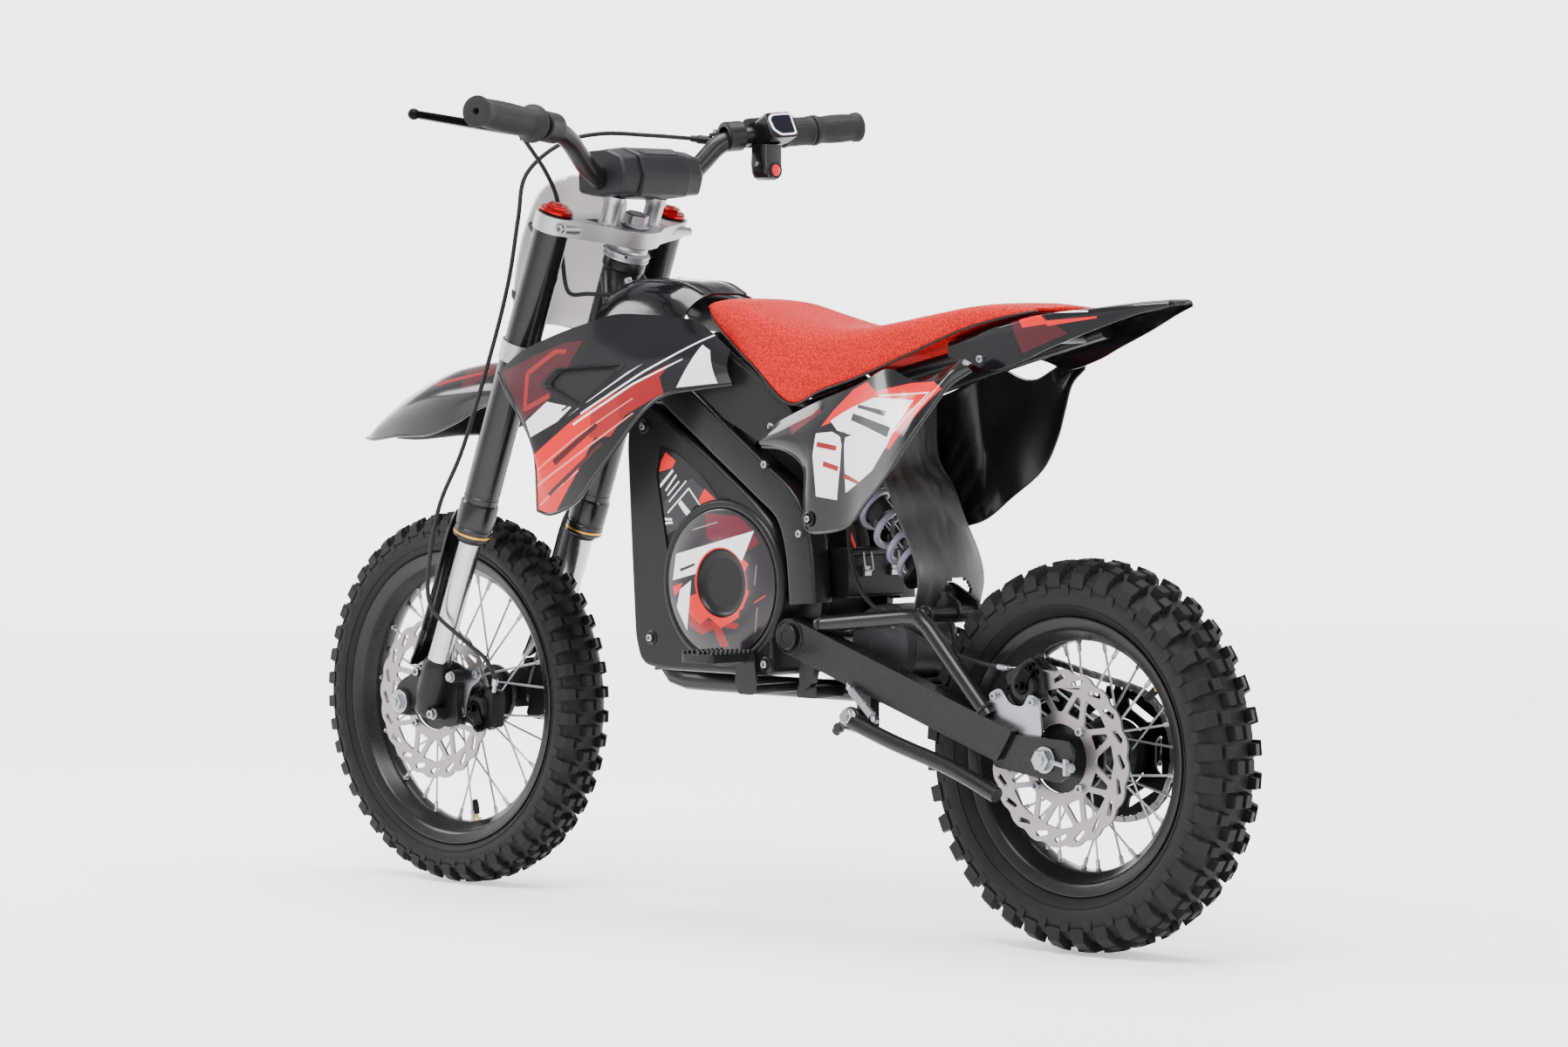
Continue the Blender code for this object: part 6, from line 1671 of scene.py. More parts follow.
fender_print = stickers("front_fender_print", [
    (MAROON, [[(900, 596), (840, 600), (826, 590), (880, 566)]]),
    (DEEP_RED, [stripe((940, 572), (850, 588), 5.0, 2.0)]),
    (CHARCOAL, [stripe((980, 560), (880, 578), 3.0, 1.5)]),
], base=(0.0045, 0.0045, 0.0060), rough=0.15)


def resample(rows, across, down):
    """A smooth finer grid through a coarse one."""
    fine = [catmull(row, down) for row in rows]
    columns = [catmull([row[k] for row in fine], across) for k in range(len(fine[0]))]
    return [[column[i] for column in columns] for i in range(len(columns[0]))]


SHROUD_TOP = [(744, 128, 588), (708, 126, 611), (660, 122, 629), (614, 117, 642), (580, 109, 651), (545, 101, 651),
              (508, 94, 648), (472, 88, 642), (425, 88, 613)]
SHROUD_LOW = [(683, 127, 437), (660, 127, 434), (624, 126, 448), (599, 125, 473), (564, 122, 510), (529, 118, 546),
              (501, 111, 565), (458, 103, 572), (417, 94, 577)]
SHROUD_FRONT = [(744, 128, 588), (724, 133, 563), (706, 131, 538), (684, 131, 500), (683, 127, 437)]
VENT_OUTER = [(672, 579), (656, 593), (554, 599), (554, 594), (611, 551), (618, 549), (672, 572)]


def shroud_grid(side, sink=0.0):
    rows = []
    for i, (a, b) in enumerate(zip(SHROUD_TOP, SHROUD_LOW)):
        a, b = Vector(a), Vector(b)
        column = []
        for k in range(5):
            t = k / 4
            p = a.lerp(b, t)
            p.y += 7.0 * math.sin(math.pi * t)
            column.append(p)
        if i == 0:
            column = [Vector(p) for p in SHROUD_FRONT]
        rows.append([Vector((p.x, side * (p.y - sink), p.z)) for p in column])
    return rows


def shroud_y(x, z, rows):
    """Height of the shroud's surface at a point of its side view, by the nearest grid corners."""
    near = sorted(((Vector((p.x, 0, p.z)) - Vector((x, 0, z))).length, p.y) for row in rows for p in row)[:4]
    weights = [1.0 / (d + 0.5) ** 2 for d, y in near]
    return sum(w * y for w, (d, y) in zip(weights, near)) / sum(weights)


def shroud(name, side):
    rows = resample(shroud_grid(side), 6, 6)
    body = shell(rows, 2.8, inward=(600, 0, 560))
    vent = rounded(VENT_OUTER, 7.0, 5)
    hole = prism(vent, side * 90, side * 160)
    body = cut(body, hole)
    piece("shroud_" + name + "_moulded", body, "chassis", shroud_print,
          ("shroud_" + name,), bevel=0.7, segments=2, smooth=42, inner=gloss)
    centre = Vector((sum(x for x, z in vent) / len(vent), sum(z for x, z in vent) / len(vent)))

    def ring(scale, depth):
        points = []
        for x, z in vent:
            q = centre + (Vector((x, z)) - centre) * scale
            points.append(Vector((q.x, side * (abs(shroud_y(q.x, q.y, rows)) - depth), q.y)))
        return points

    insert = skin_rings([ring(1.03, 4.4), ring(1.0, 1.4), ring(0.985, -0.3), ring(0.93, -0.5), ring(0.90, 1.6),
                         ring(0.86, 2.6), ring(0.78, 2.0), ring(0.78, 4.4)])
    piece("shroud_vent_" + name, insert, "chassis", grained, smooth=35)
    edge_line = [p + Vector((0, -side * 1.0, 0)) for p in (row[-1] for row in rows)]
    front_line = [p + Vector((0, -side * 1.0, 0)) for p in rows[0]]
    piece("shroud_edge_" + name, merge(tube(edge_line, 2.0, 10), tube(front_line, 1.8, 10)), "chassis",
          gloss, smooth=60)


def side_panel(name, side):
    top = [(379, 88, 520), (364, 89, 533), (306, 90, 556), (272, 90, 567), (250, 89, 574), (232, 88, 581),
           (200, 87, 594), (170, 88, 584), (150, 88, 582), (126, 86, 592), (101, 86, 604), (86, 86, 600)]
    low = [(379, 88, 511), (342, 92, 508), (312, 95, 490), (308, 98, 452), (300, 100, 424), (243, 106, 430),
           (206, 115, 457), (170, 122, 486), (146, 118, 519), (126, 107, 550), (108, 97, 577), (84, 89, 593)]
    rows = []
    for a, b in zip(top, low):
        a, b = Vector(a), Vector(b)
        column = []
        for k in range(5):
            t = k / 4
            p = a.lerp(b, t)
            p.y += 5.0 * math.sin(math.pi * t)
            column.append(Vector((p.x, side * p.y, p.z)))
        rows.append(column)
    rows = resample(rows, 5, 6)
    piece("side_panel_" + name + "_moulded", shell(rows, 2.8, inward=(240, 0, 500)), "chassis",
          panel_print, ("side_panel_" + name,), bevel=0.7, segments=2, smooth=42,
          inner=gloss)
    lip = [row[-1] + Vector((0, -side * 0.9, 0)) for row in rows]
    piece("side_panel_edge_" + name, tube(lip, 1.9, 10), "chassis", gloss, smooth=60)
    screw = merge(lathe([(0, 4.0), (0, 8.2), (1.6, 7.8), (2.2, 6.4), (1.2, 4.6)], (299, side * 101.4, 437),
                        SIDE * side, 32))
    piece("side_panel_cup_" + name, screw, "chassis", satin, smooth=40)
    piece("side_panel_screw_" + name, bolt((299, side * 101.0, 437), SIDE * side, 4.5, False, True), "chassis",
          zinc, bevel=0.2, smooth=30)


def tank_cover():
    rows = []
    for x, top, flat, shoulder, edge in ((646, 682, (30, 681), (56, 668), (79, 640)),
                                         (620, 690, (34, 688), (62, 672), (82, 634)),
                                         (580, 690, (34, 688), (64, 671), (82, 630)),
                                         (545, 686, (33, 684), (62, 667), (82, 630)),
                                         (516, 674, (30, 672), (58, 658), (81, 630))):
        left = [(x, edge[0], edge[1]), (x, shoulder[0], shoulder[1]), (x, flat[0], flat[1])]
        rows.append([Vector(p) for p in left] + [Vector((x, 0, top))] + mirrored(reversed(left)))
    fine = resample(rows, 6, 5)
    saddle = shell(fine, 2.8, inward=(580, 0, 500))
    ridge = []
    for side in (1, -1):
        line = [Vector((p[0], side * p[1], p[2])) for p in ((640, 34, 682.6), (616, 37, 687.4), (580, 37, 687.4),
                                                           (546, 36, 683.6), (520, 33, 673))]
        ridge.append(tube(catmull(line, 5), 2.0, 10))
    piece("tank_cover_saddle", merge(saddle, *ridge), "chassis", gloss, ("tank_cover",),
          bevel=0.6, smooth=45)
    outline = rounded([(610, 640), (508, 640), (474, 636), (400, 594), (340, 550), (340, 538), (378, 512), (440, 540),
                       (500, 584), (560, 602), (610, 606)], 5.0, 4)
    sides = [prism(outline, side * 80.5, side * 83.4) for side in (1, -1)]
    grooves = []
    for side in (1, -1):
        grooves.append(tube([Vector((470, side * 83.2, 628)), Vector((398, side * 83.2, 586)),
                             Vector((350, side * 83.2, 551))], 1.0, 8))
    piece("tank_cover_sides", merge(*sides, *grooves), "chassis", satin, bevel=0.6,
          smooth=40)
    heads = [bolt((x, side * y, z), (0, side * 0.35, 0.94), 5.0, True, True)
             for side in (1, -1) for x, y, z in ((628, 40, 686.5),)]
    heads += [bolt((x, side * 83.4, z), SIDE * side, 5.0, False, True) for side in (1, -1)
              for x, z in ((368, 532),)]
    piece("tank_cover_screws", merge(*heads), "chassis", zinc, bevel=0.2, smooth=30)


def fender_rows(stations):
    rows = []
    for x, top, crease, shoulder, edge in stations:
        left = [(x, edge[0], edge[1]), (x, shoulder[0], shoulder[1]), (x, crease[0], crease[1])]
        rows.append([Vector(p) for p in left] + [Vector((x, 0, top))] + mirrored(reversed(left)))
    return rows


def front_fender():
    stations = [(1080, 517, (12, 516), (20, 513), (24, 509)), (1052, 538, (16, 536), (33, 522), (36, 508)),
                (1000, 566, (24, 561), (45, 541), (48, 513)), (940, 588, (28, 582), (54, 558), (55, 516)),
                (890, 597, (31, 591), (58, 564), (58, 530)), (845, 600, (33, 595), (59, 568), (57, 549)),
                (800, 598, (33, 593), (57, 568), (55, 550)), (757, 590, (32, 586), (52, 562), (50, 548))]
    rows = resample(fender_rows(stations), 6, 4)
    body = shell(rows, 2.8, inward=(920, 0, 400))
    piece("front_fender_moulded", body, "steering", fender_print, ("front_fender",),
          bevel=0.7, smooth=45, inner=gloss)
    rims = [tube([row[0] for row in rows], 1.7, 10), tube([row[-1] for row in rows], 1.7, 10)]
    piece("front_fender_edge", merge(*rims), "steering", gloss, smooth=60)
    heads = [bolt(fork(a, side * 24, -183), -AXIS_UP, 6.0, True) for side in (1, -1) for a in (30,)]
    piece("front_fender_screws", merge(*heads), "steering", zinc, smooth=30)


def rear_fender():
    rows = []
    for x, top, half, edge in ((140, 624, 62, 606), (112, 629, 62, 600), (81, 637, 62, 592), (40, 646, 60, 602),
                               (10, 651, 57, 614), (-40, 657, 48, 632), (-85, 662, 34, 648), (-116, 664, 20, 656)):
        left = [(x, half, edge), (x, half, top - 5), (x, half * 0.8, top - 1)]
        rows.append([Vector(p) for p in left] + [Vector((x, 0, top))] + mirrored(reversed(left)))
    fine = resample(rows, 6, 4)
    for row in fine:
        for p in row:
            p.z = min(p.z, 663.6)
            p.y = max(-61.8, min(61.8, p.y))
    piece("rear_fender_moulded", shell(fine, 1.6, inward=(20, 0, 560)), "chassis",
          tail_print, ("rear_fender",), bevel=0.6, smooth=45, inner=gloss)
    heads = [bolt((94, side * 61.6, 604), SIDE * side, 5.0, False, True) for side in (1, -1)]
    piece("rear_fender_screws", merge(*heads), "chassis", zinc, bevel=0.2, smooth=30)


def mud_flap():
    scuffed_rubber = Look("flap_rubber", (0.022, 0.021, 0.021), 0.6)
    streaks = scuffed_rubber.noise(1.0, 5.0, 0.65, scuffed_rubber.scaled(60.0, 90.0, 14.0))
    scuffed_rubber.paint(scuffed_rubber.mix(scuffed_rubber.remap(streaks, 0.45, 0.75), (0.0075, 0.0072, 0.0072),
                                            (0.030, 0.029, 0.028)))
    scuffed_rubber.set("Roughness", scuffed_rubber.remap(streaks, 0.3, 0.7, 0.36, 0.6))
    scuffed_rubber.bump(scuffed_rubber.noise(700.0, 3.0), 0.08, 0.5)
    rows = []
    for x, z in ((250, 560), (247, 500), (224, 466), (210, 436), (190, 400), (183, 372), (189, 345)):
        rows.append([Vector((x + 0.004 * y * y, y, z)) for y in (-50, -38, -26, -13, 0, 13, 26, 38, 50)])
    fine = resample(rows, 8, 4)
    skip = set()
    for i, (above, below) in enumerate(zip(fine, fine[1:])):
        for k in range(len(above) - 1):
            middle = (above[k] + above[k + 1] + below[k] + below[k + 1]) / 4
            if (middle.y / 25.0) ** 2 + ((middle.z - 350.0) / 26.0) ** 2 < 1:
                skip.add((i, k))
    piece("mud_flap_sheet", shell(fine, 3.6, inward=(0, 0, 201), skip=skip), "chassis",
          scuffed_rubber, ("mud_flap",), smooth=50,
          bend=("swingarm", Vector((240, 0, 500)), Vector((187, 0, 375))))


for body_name, body_side in BOTH:
    shroud(body_name, body_side)
    side_panel(body_name, body_side)
tank_cover()
front_fender()
rear_fender()
mud_flap()

# ---------------------------------------------------------------- seat

SEAT_STATIONS = [
    # lower edge (x, y, z), top (x, z), under-side z
    ((500, 42, 656), (512, 661), 652),
    ((473, 64, 643), (482, 668), 636),
    ((434, 76, 619), (434, 665), 622),
    ((396, 84, 596), (388, 653), 611),
    ((341, 88, 557), (332, 640), 598),
    ((296, 86, 571), (290, 637), 596),
    ((243, 84, 586), (240, 641), 602),
    ((169, 78, 613), (170, 652), 613),
    ((114, 70, 634), (115, 660), 634),
    ((62, 62, 647), (62, 661), 647),
    ((30, 50, 653), (30, 657), 653),
]


def seat():
    """Padded saddle: a crowned top that rolls over into flat sides pulled tight to the lower edge."""
    rings = []
    for (x, y, z), (tx, tz), under in SEAT_STATIONS:
        low = max(under, z + 0.1)
        tall = tz - z
        half = [(tx, 0.0, tz), (tx, 0.32 * y, tz - 0.2), (tx, 0.60 * y, tz - 1.4), (tx, 0.78 * y, tz - 0.10 * tall - 1.0),
                ((3 * tx + x) / 4, 0.89 * y, tz - 0.26 * tall), ((x + tx) / 2, 0.95 * y, tz - 0.48 * tall),
                ((x * 3 + tx) / 4, 0.985 * y, tz - 0.74 * tall), (x, y - 0.4, z + 0.04 * tall), (x, y - 1.6, z - 0.0),
                (x, y - 8, z - 0.05), ((x + tx) / 2, max(0.4 * y, y - 15), low), (tx, 0.3 * y, low)]
        left = [Vector(p) for p in half]
        rings.append(left + mirrored(reversed(half[1:])))
    dense = [[] for _ in range((len(rings) - 1) * 5 + 1)]
    for k in range(len(rings[0])):
        for i, p in enumerate(catmull([ring[k] for ring in rings], 5)):
            dense[i].append(p)
    bm = skin_rings(dense)
    obj = piece("seat_cover_red", bm, "chassis", seat_red, ("seat",), subsurf=1, smooth=60)
    welt = []
    for side in (1, -1):
        line = [Vector((x, side * (y - 0.6), z - 0.6)) for (x, y, z), t, u in SEAT_STATIONS]
        welt.append(tube(catmull(line, 5), 1.3, 10))
    piece("seat_base_edge", merge(*welt), "chassis", satin, smooth=60)


seat()

# ---------------------------------------------------------------- swingarm, shock and stand

BEAM_IN, BEAM_OUT = 58.0, 78.0


def swingarm():
    slope = math.radians(18.2)
    back, up = Vector((-math.cos(slope), 0, -math.sin(slope))), Vector((-math.sin(slope), 0, math.cos(slope)))
    parts = []
    for side in (1, -1):
        outline = []
        for k in range(17):
            t = math.radians(90 - 180 * k / 16)
            outline.append(SWING_PIVOT - back * 19.2 * math.cos(t) + up * 19.2 * math.sin(t))
        outline += [SWING_PIVOT + back * 311 - up * 18.8, SWING_PIVOT + back * 321 + up * 18.8]
        flat = [(p.x, p.z) for p in outline]
        flat = flat[:-2] + rounded(flat[-3:] + flat[:1], 5.0, 4)[5:15]
        parts.append(prism(flat, side * (BEAM_IN + 0.2), side * (BEAM_OUT - 0.2)))
        tip = rounded([(70, 225.6), (70, 190.4), (-18, 178.4), (-33.4, 190), (-36.6, 212), (-28, 221.6)], 6.0, 5)
        slot = rounded([(-14, 192.9), (12, 192.9), (12, 209.1), (-14, 209.1)], 5.0, 5)
        parts.append(plate(tip, [slot], side * 67.2, side * 71.8))
        boss = [(0, 17.0), (0, 19.2), (1.2, 18.6), (1.2, 17.0)]
        parts.append(lathe([(58.0 + 20.0 + d, r) for d, r in boss], SWING_PIVOT, SIDE * side, 48))

        def s(x, y, z):
            return Vector((x, side * y, z))
        brace = [s(316, 68, 324), s(250, 68, 331), s(190, 68, 337), s(174, 68, 337), s(160, 68, 326), s(78, 68, 240)]
        parts.append(tube(brace, 8.9, 28))
        lug = rounded([(214, 344), (214, 366), (204, 371), (192, 366), (166, 352), (162, 336), (180, 334)], 4.0, 4)
        parts.append(prism(lug, side * 12.6, side * 16.8))
    parts.append(rod((174, -69, 339), (174, 69, 339), 8.9, 28, 0.8))
    parts.append(prism(rounded([(237, 219), (257, 219), (257, 267), (237, 267)], 3.0, 3), 60.5, 73.6))
    parts.append(rod(along(STAND_PIVOT, STAND_AXIS, 15.8), along(STAND_PIVOT, STAND_AXIS, 6.6), 10.8, 28, 0.8))
    piece("swingarm_welded", merge(*parts), "swingarm", painted, ("swingarm",), bevel=0.9,
          segments=2, smooth=32)
    beads = []
    for side in (1, -1):
        beads.append(weld((174, side * 58.6, 339), (0, 1, 0), 9.4))
        beads.append(weld((84, side * 68, 246.6), (-0.69, 0, -0.72), 9.2))
        beads.append(weld((311, side * 68, 324.6), (1, 0, 0.1), 9.0))
    piece("swingarm_welds", merge(*beads), "swingarm", painted, smooth=60)
    ends = [rod(REAR_AXLE - SIDE * 80, REAR_AXLE + SIDE * 80, 7.4, 24)]
    adjusters = []
    for side in (1, -1):
        ends.append(rod(REAR_AXLE + SIDE * side * 46.4, REAR_AXLE + SIDE * side * 66.4, 10.8, 32, 0.8))
        ends.append(rod(REAR_AXLE + SIDE * side * 72.2, REAR_AXLE + SIDE * side * 74.6, 13.6, 32, 0.5))
        ends.append(bolt(REAR_AXLE + SIDE * side * 74.6, SIDE * side, 12.4, False))
        adjusters.append(rod((-6, side * 75.4, 201), (-36, side * 75.4, 195), 2.6, 16, 0.4))
        adjusters.append(bolt((-35.6, side * 75.4, 195.0), (-0.98, 0, -0.2), 5.0, True))
        adjusters.append(prism(rounded([(-33, 187), (-29, 187), (-29, 204), (-33, 204)], 1.2, 3), side * 72,
                               side * 79))
    piece("rear_axle_bolt", merge(*ends), "swingarm", zinc, ("rear_axle",), bevel=0.3, smooth=30)
    piece("chain_adjusters", merge(*adjusters), "swingarm", zinc, bevel=0.25, smooth=30)
    bracket = rounded([(78, 266), (66, 270), (52, 254), (36, 252), (27, 266), (15, 262), (10, 226), (14, 214),
                       (70, 228), (84, 240)], 5.0, 5)
    holes = [[(x0 + x, z0 + z) for x, z in circle2d(2.4, 14)] for x0, z0 in ((72, 262), (21, 258))]
    piece("rear_bracket_bent", plate(bracket, holes, 62.4, 65.6), "swingarm", zinc, bevel=0.4,
          smooth=30)
    heads = [bolt((x, 65.6, z), SIDE, 5.0, True, True) for x, z in ((72, 262), (21, 258))]
    piece("rear_bracket_bolts", merge(*heads), "swingarm", zinc, bevel=0.2, smooth=30)
    end = [Vector((80, 52, 290.4)), Vector((72, 52, 289.6)), Vector((40, 53, 291)), Vector((4, 54, 288))]
    piece("rear_cable_end", merge(rod(end[0], end[1], 3.4, 20, 0.5), rod(end[1], along(end[1], (-1, 0, 0), 6), 2.6, 16)),
          "swingarm", zinc, smooth=35)
    cable("rear_cable_inner", end[1:], 0.8, "swingarm", zinc, (), 6)


def chain_path():
    big, small = 70.0 - 1.2, 18.0 - 0.6
    span = MOTOR_AXIS - REAR_AXLE
    distance = math.hypot(span.x, span.z)
    heading = math.atan2(span.z, span.x)
    wrap = math.acos((big - small) / distance)
    points = []
    for k in range(65):
        t = heading + wrap + (2 * math.pi - 2 * wrap) * k / 64
        points.append(Vector((math.cos(t) * big, SPROCKET_Y, REAR_AXLE.z + math.sin(t) * big)))
    for k in range(33):
        t = heading - wrap + 2 * wrap * k / 32
        points.append(Vector((MOTOR_AXIS.x + math.cos(t) * small, SPROCKET_Y, MOTOR_AXIS.z + math.sin(t) * small)))
    return points


def chain():
    """Outer and inner link plates with rollers, spaced evenly round the loop."""
    points = chain_path()
    lengths = [0.0]
    for i, p in enumerate(points):
        lengths.append(lengths[-1] + (points[(i + 1) % len(points)] - p).length)
    total = lengths[-1]
    count = 2 * round(total / 8.0 / 2)
    pins = []
    i = 0
    for k in range(count):
        s = total * k / count
        while lengths[i + 1] < s:
            i += 1
        a, b = points[i], points[(i + 1) % len(points)]
        pins.append(a.lerp(b, (s - lengths[i]) / (lengths[i + 1] - lengths[i])))
    bm = bmesh.new()

    def add_prism(outline, y_low, y_high):
        low = [bm.verts.new(Vector((x, y_low, z))) for x, z in outline]
        high = [bm.verts.new(Vector((x, y_high, z))) for x, z in outline]
        n = len(outline)
        for q in range(n):
            bm.faces.new((low[q], low[(q + 1) % n], high[(q + 1) % n], high[q]))
        bm.faces.new(low[::-1])
        bm.faces.new(high)

    for k, pin in enumerate(pins):
        ahead = pins[(k + 1) % count]
        along_link = (ahead - pin).normalized()
        heading = math.atan2(along_link.z, along_link.x)
        outline = []
        for centre, start in ((ahead, -90), (pin, 90)):
            for q in range(7):
                t = heading + math.radians(start + 30 * q)
                outline.append((centre.x + 3.1 * math.cos(t), centre.z + 3.1 * math.sin(t)))
        wide = (2.7, 3.5) if k % 2 else (1.75, 2.5)
        for sign in (1, -1):
            add_prism(outline, SPROCKET_Y + sign * wide[0], SPROCKET_Y + sign * wide[1])
        add_prism([(pin.x + x, pin.z + z) for x, z in circle2d(2.0, 10)], SPROCKET_Y - 3.8, SPROCKET_Y + 3.8)
    bmesh.ops.recalc_face_normals(bm, faces=bm.faces)
    piece("drive_chain_links", bm, "chassis", chain_steel, ("drive_chain",), smooth=40,
          bend=("swingarm", MOTOR_AXIS + Vector((-22, 0, 0)), MOTOR_AXIS + Vector((-150, 0, -40))))


def shock():
    line = (SHOCK_LOW - SHOCK_TOP).normalized()
    length = (SHOCK_LOW - SHOCK_TOP).length
    eye = lathe([(-10.8, 5.7), (-10.8, 11.0), (-9.8, 11.9), (9.8, 11.9), (10.8, 11.0), (10.8, 5.7)], SHOCK_TOP, SIDE, 40)
    neck = [(9, 0), (9, 10.6), (22, 10.8), (25, 14), (28.6, 22.4), (29.6, 23.8), (34.4, 23.8), (35, 22.6), (35, 16.4),
            (36.4, 14.8), (52, 14.8), (52.8, 13.9), (54.2, 13.9), (55, 14.8), (111, 14.8), (111.8, 14.0), (111.8, 8.7),
            (108, 8.5), (36, 8.5), (36, 0)]
    piece("shock_body_turned", merge(eye, lathe(neck, SHOCK_TOP, line, 48)), "shock", motor_paint,
          ("shock_body",), smooth=32)
    collar = [(36.5, 15.2), (36.5, 21.2), (38.0, 22.4), (43.0, 22.4), (44.4, 21.2), (44.4, 15.2)]
    piece("shock_collar", lathe(collar, SHOCK_TOP, line, 48), "shock", orange, smooth=35)
    low_eye = lathe([(-10.8, 7.3), (-10.8, 12.0), (-9.6, 12.9), (9.6, 12.9), (10.8, 12.0), (10.8, 7.3)], SHOCK_LOW,
                    SIDE, 40)
    foot = [(185.6, 5.9), (186.2, 22.6), (187.2, 23.8), (191.4, 23.8), (192.6, 21), (194.6, 11), (length - 7, 9.8),
            (length - 7, 5.9)]
    rodded = [(74, 0), (74, 5.9), (190, 5.9), (190, 0)]
    piece("shock_rod_chromed", lathe(rodded, SHOCK_TOP, line, 40), "shock_rod", chrome,
          ("shock_rod",), smooth=35)
    piece("shock_foot", merge(low_eye, lathe(foot, SHOCK_TOP, line, 48)), "shock_rod", cast_black,
          smooth=32)
    bump_stop = [(160, 6.2), (160, 10.4), (163, 11.8), (168, 10.6), (173, 12.2), (180, 12.8), (185, 12.4), (185, 6.2)]
    piece("shock_bump_stop", lathe(bump_stop, SHOCK_TOP, line, 40), "shock_rod", rubber, smooth=45)
    u, v = basis(line)
    turns, wire, coil_r, start, end = 6.0, 3.6, 19.6, 41.0, 181.0
    path = []
    for k in range(int(turns * 40) + 1):
        t = 2 * math.pi * k / 40
        share = k / (turns * 40)
        eased = share - 0.035 * math.sin(2 * math.pi * share)
        path.append(SHOCK_TOP + line * (start + (end - start) * eased) + u * coil_r * math.cos(t)
                    + v * coil_r * math.sin(t))
    spring = piece("shock_spring_coil", tube(path, wire, 18), "shock", spring_paint,
                   ("shock_spring",), smooth=75)
    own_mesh(spring)
    heads = [bolt(SHOCK_LOW + SIDE * side * 16.9, SIDE * side, 8.0, True) for side in (1, -1)]
    piece("shock_lower_bolt", merge(rod(SHOCK_LOW - SIDE * 17, SHOCK_LOW + SIDE * 17, 4.4, 20), *heads), "swingarm",
          zinc, bevel=0.3, smooth=30)


def stand():
    low, high = along(STAND_PIVOT, STAND_AXIS, 5.9), along(STAND_PIVOT, STAND_AXIS, -9.9)
    lug = rod(low, high, 12.3, 32, 1.0)
    leg = tube(catmull([STAND_PIVOT + Vector((-2, 6.5, -1)), STAND_PIVOT + Vector((-60, 5, -20)),
                        Vector((110, 93, 188)), Vector((48, 92, 164))], 5), 8.3, 28)
    foot_line = [Vector((66, 92, 171)), Vector((46.6, 92, 163.2))]
    foot = rod(foot_line[0], foot_line[1], 8.4, 28, 0.8)
    tail = tube([STAND_PIVOT + Vector((2, 3, 4)), STAND_PIVOT + Vector((24, 3, -14))], 4.9, 20)
    ear = rod(STAND_PIVOT + Vector((18, 0, -9)), STAND_PIVOT + Vector((18, 8, -9)), 5.4, 20, 0.6)
    piece("kickstand_bent", merge(lug, leg, foot, tail, ear), "kickstand", painted,
          ("kickstand",), bevel=0.5, smooth=40)
    head = along(STAND_PIVOT, STAND_AXIS, -10.4)
    piece("kickstand_bolt", merge(rod(along(STAND_PIVOT, STAND_AXIS, 11), along(STAND_PIVOT, STAND_AXIS, -12), 5.9, 24),
                                  bolt(head, -STAND_AXIS, 9.0, True)), "swingarm", zinc, bevel=0.3,
          smooth=30)
    top, bottom = Vector((257, 84, 262)), Vector((212, 95, 232))
    axis = (bottom - top).normalized()
    span = (bottom - top).length
    u, v = basis(axis)
    coil = []
    turns = 15
    for k in range(turns * 14 + 1):
        t = 2 * math.pi * k / 14
        share = k / (turns * 14)
        coil.append(top + axis * (5 + (span - 10) * share) + (u * math.cos(t) + v * math.sin(t)) * 4.0)
    hooks = [tube(catmull([top - axis * 4 + v * 2, top - axis * 6, top - axis * 2 - v * 3, top + axis * 5], 4), 0.95, 10),
             tube(catmull([bottom + axis * 4 + v * 2, bottom + axis * 6, bottom + axis * 2 - v * 3, bottom - axis * 5],
                          4), 0.95, 10)]
    piece("kickstand_spring", merge(tube(coil, 0.95, 10), *hooks), "swingarm", zinc, smooth=75)
    eyes = rod(bottom - SIDE * 5, bottom + SIDE * 3, 3.0, 20, 0.4)
    piece("kickstand_spring_pin", merge(eyes, rod(top - SIDE * 8, top + SIDE * 3, 3.0, 20, 0.4)), "swingarm",
          zinc, smooth=35)


swingarm()
chain()
shock()
stand()

for kept in ("battery_pack",):
    holder = bpy.data.objects[kept]
    for material_slot in holder.material_slots:
        material_slot.material = blue_wrap.mat

# ---------------------------------------------------------------- camera, lights and floor

CAMERA_AT = Vector((-3.64285, 3.7675, 0.6345))
YAW, PITCH, ROLL = math.radians(-46.31), math.radians(-2.241), math.radians(-0.128)
FLOOR_RADIUS, RIM = 9.0, 5.0


def add_camera():
    lens = bpy.data.cameras.new("camera")
    lens.lens = 111.21
    lens.sensor_width = 36.0
    lens.shift_y = -0.0029
    camera = bpy.data.objects.new("camera", lens)
    view = Vector((math.cos(PITCH) * math.cos(YAW), math.cos(PITCH) * math.sin(YAW), math.sin(PITCH)))
    turn = view.to_track_quat("-Z", "Y").to_matrix() @ Matrix.Rotation(ROLL, 3, "Z")
    camera.matrix_world = Matrix.Translation(CAMERA_AT) @ turn.to_4x4()
    bpy.context.scene.collection.objects.link(camera)
    bpy.context.scene.camera = camera


def add_light(name, place, target, size, power, tint=(1.0, 1.0, 1.0)):
    lamp = bpy.data.lights.new(name, "AREA")
    lamp.shape = "RECTANGLE"
    lamp.size, lamp.size_y = size
    lamp.energy = power
    lamp.color = tint
    obj = bpy.data.objects.new(name, lamp)
    place = Vector(place)
    turn = (Vector(target) - place).to_track_quat("-Z", "Y")
    obj.matrix_world = Matrix.Translation(place) @ turn.to_matrix().to_4x4()
    bpy.context.scene.collection.objects.link(obj)


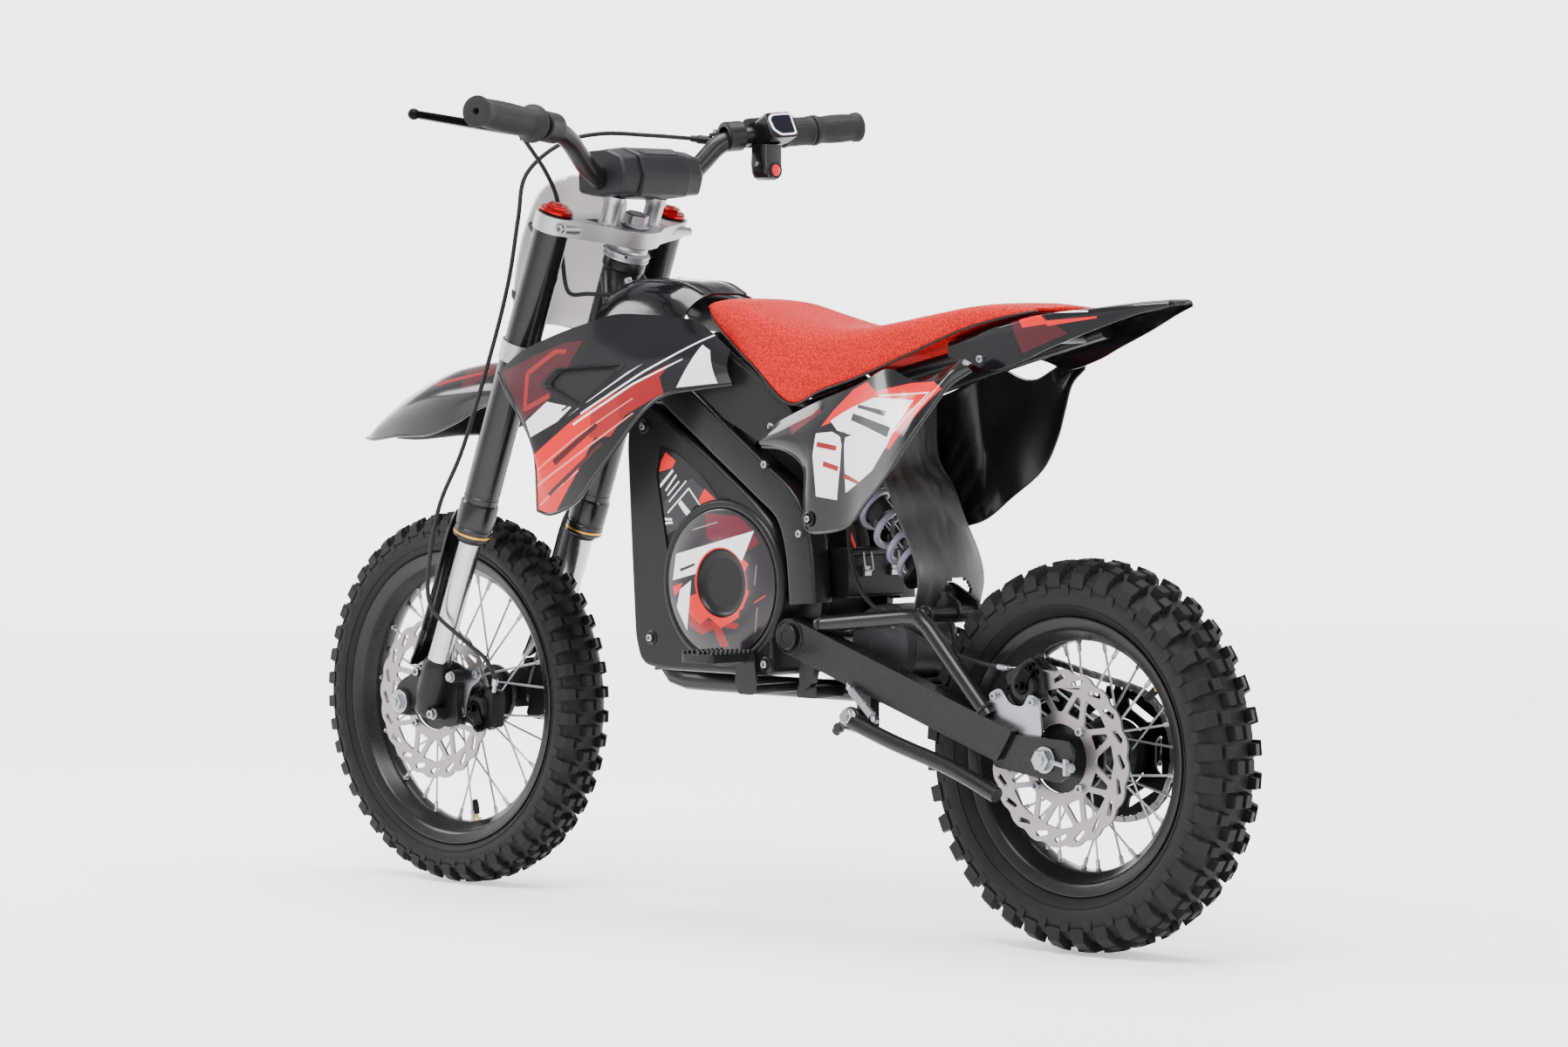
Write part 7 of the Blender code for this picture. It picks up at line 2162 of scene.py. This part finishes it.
def add_floor():
    """A flat disc whose far rim curves up all round, so that no horizon shows."""
    profile = [(0.0, 0.0), (2.0, 0.0), (FLOOR_RADIUS, 0.0)]
    for k in range(1, 17):
        t = math.radians(90 * k / 16)
        profile.append((FLOOR_RADIUS + RIM * math.sin(t), RIM * (1 - math.cos(t))))
    bm = bmesh.new()
    sides = 96
    centre = bm.verts.new((0, 0, 0))
    rings = [[bm.verts.new((r * math.cos(2 * math.pi * k / sides), r * math.sin(2 * math.pi * k / sides), z))
              for k in range(sides)] for r, z in profile[1:]]
    for k in range(sides):
        bm.faces.new((centre, rings[0][k], rings[0][(k + 1) % sides]))
    for a, b in zip(rings, rings[1:]):
        for k in range(sides):
            bm.faces.new((a[k], b[k], b[(k + 1) % sides], a[(k + 1) % sides]))
    mesh = bpy.data.meshes.new("floor")
    bm.to_mesh(mesh)
    bm.free()
    mesh.shade_smooth()
    look = Look("floor_pale", (0.93, 0.93, 0.935), 0.7)
    look.paint(look.mix(look.noise(1.5, 2.0), (0.92, 0.92, 0.925), (0.94, 0.94, 0.945)))
    behind = look.node("ShaderNodeVectorMath", {0: look.coords, 1: Vector((0.691, -0.723, 0.0))},
                       operation="DOT_PRODUCT").outputs["Value"]
    look.shader.inputs["Emission Color"].default_value = (1.0, 1.0, 1.0, 1.0)
    look.set("Emission Strength", look.remap(behind, -1.0, 5.5, 0.30, 2.6))
    mesh.materials.append(look.mat)
    floor = bpy.data.objects.new("floor", mesh)
    bpy.context.scene.collection.objects.link(floor)


def add_world():
    world = bpy.data.worlds.new("studio")
    world.use_nodes = True
    back = world.node_tree.nodes["Background"]
    back.inputs["Color"].default_value = (1.0, 1.0, 1.0, 1.0)
    back.inputs["Strength"].default_value = 0.80
    bpy.context.scene.world = world


add_camera()
add_floor()
add_world()
add_light("key_softbox", (-0.9, 1.9, 3.3), (0, 0, 0.4), (2.2, 1.2), 200.0)
add_light("front_softbox", (3.0, 1.6, 2.4), (0.1, 0, 0.4), (1.4, 1.2), 90.0)
add_light("top_softbox", (0.2, -0.6, 3.6), (0, 0, 0.4), (3.0, 1.6), 190.0)
add_light("rear_strip", (-3.0, -0.4, 1.5), (0, 0, 0.4), (0.5, 1.6), 40.0)
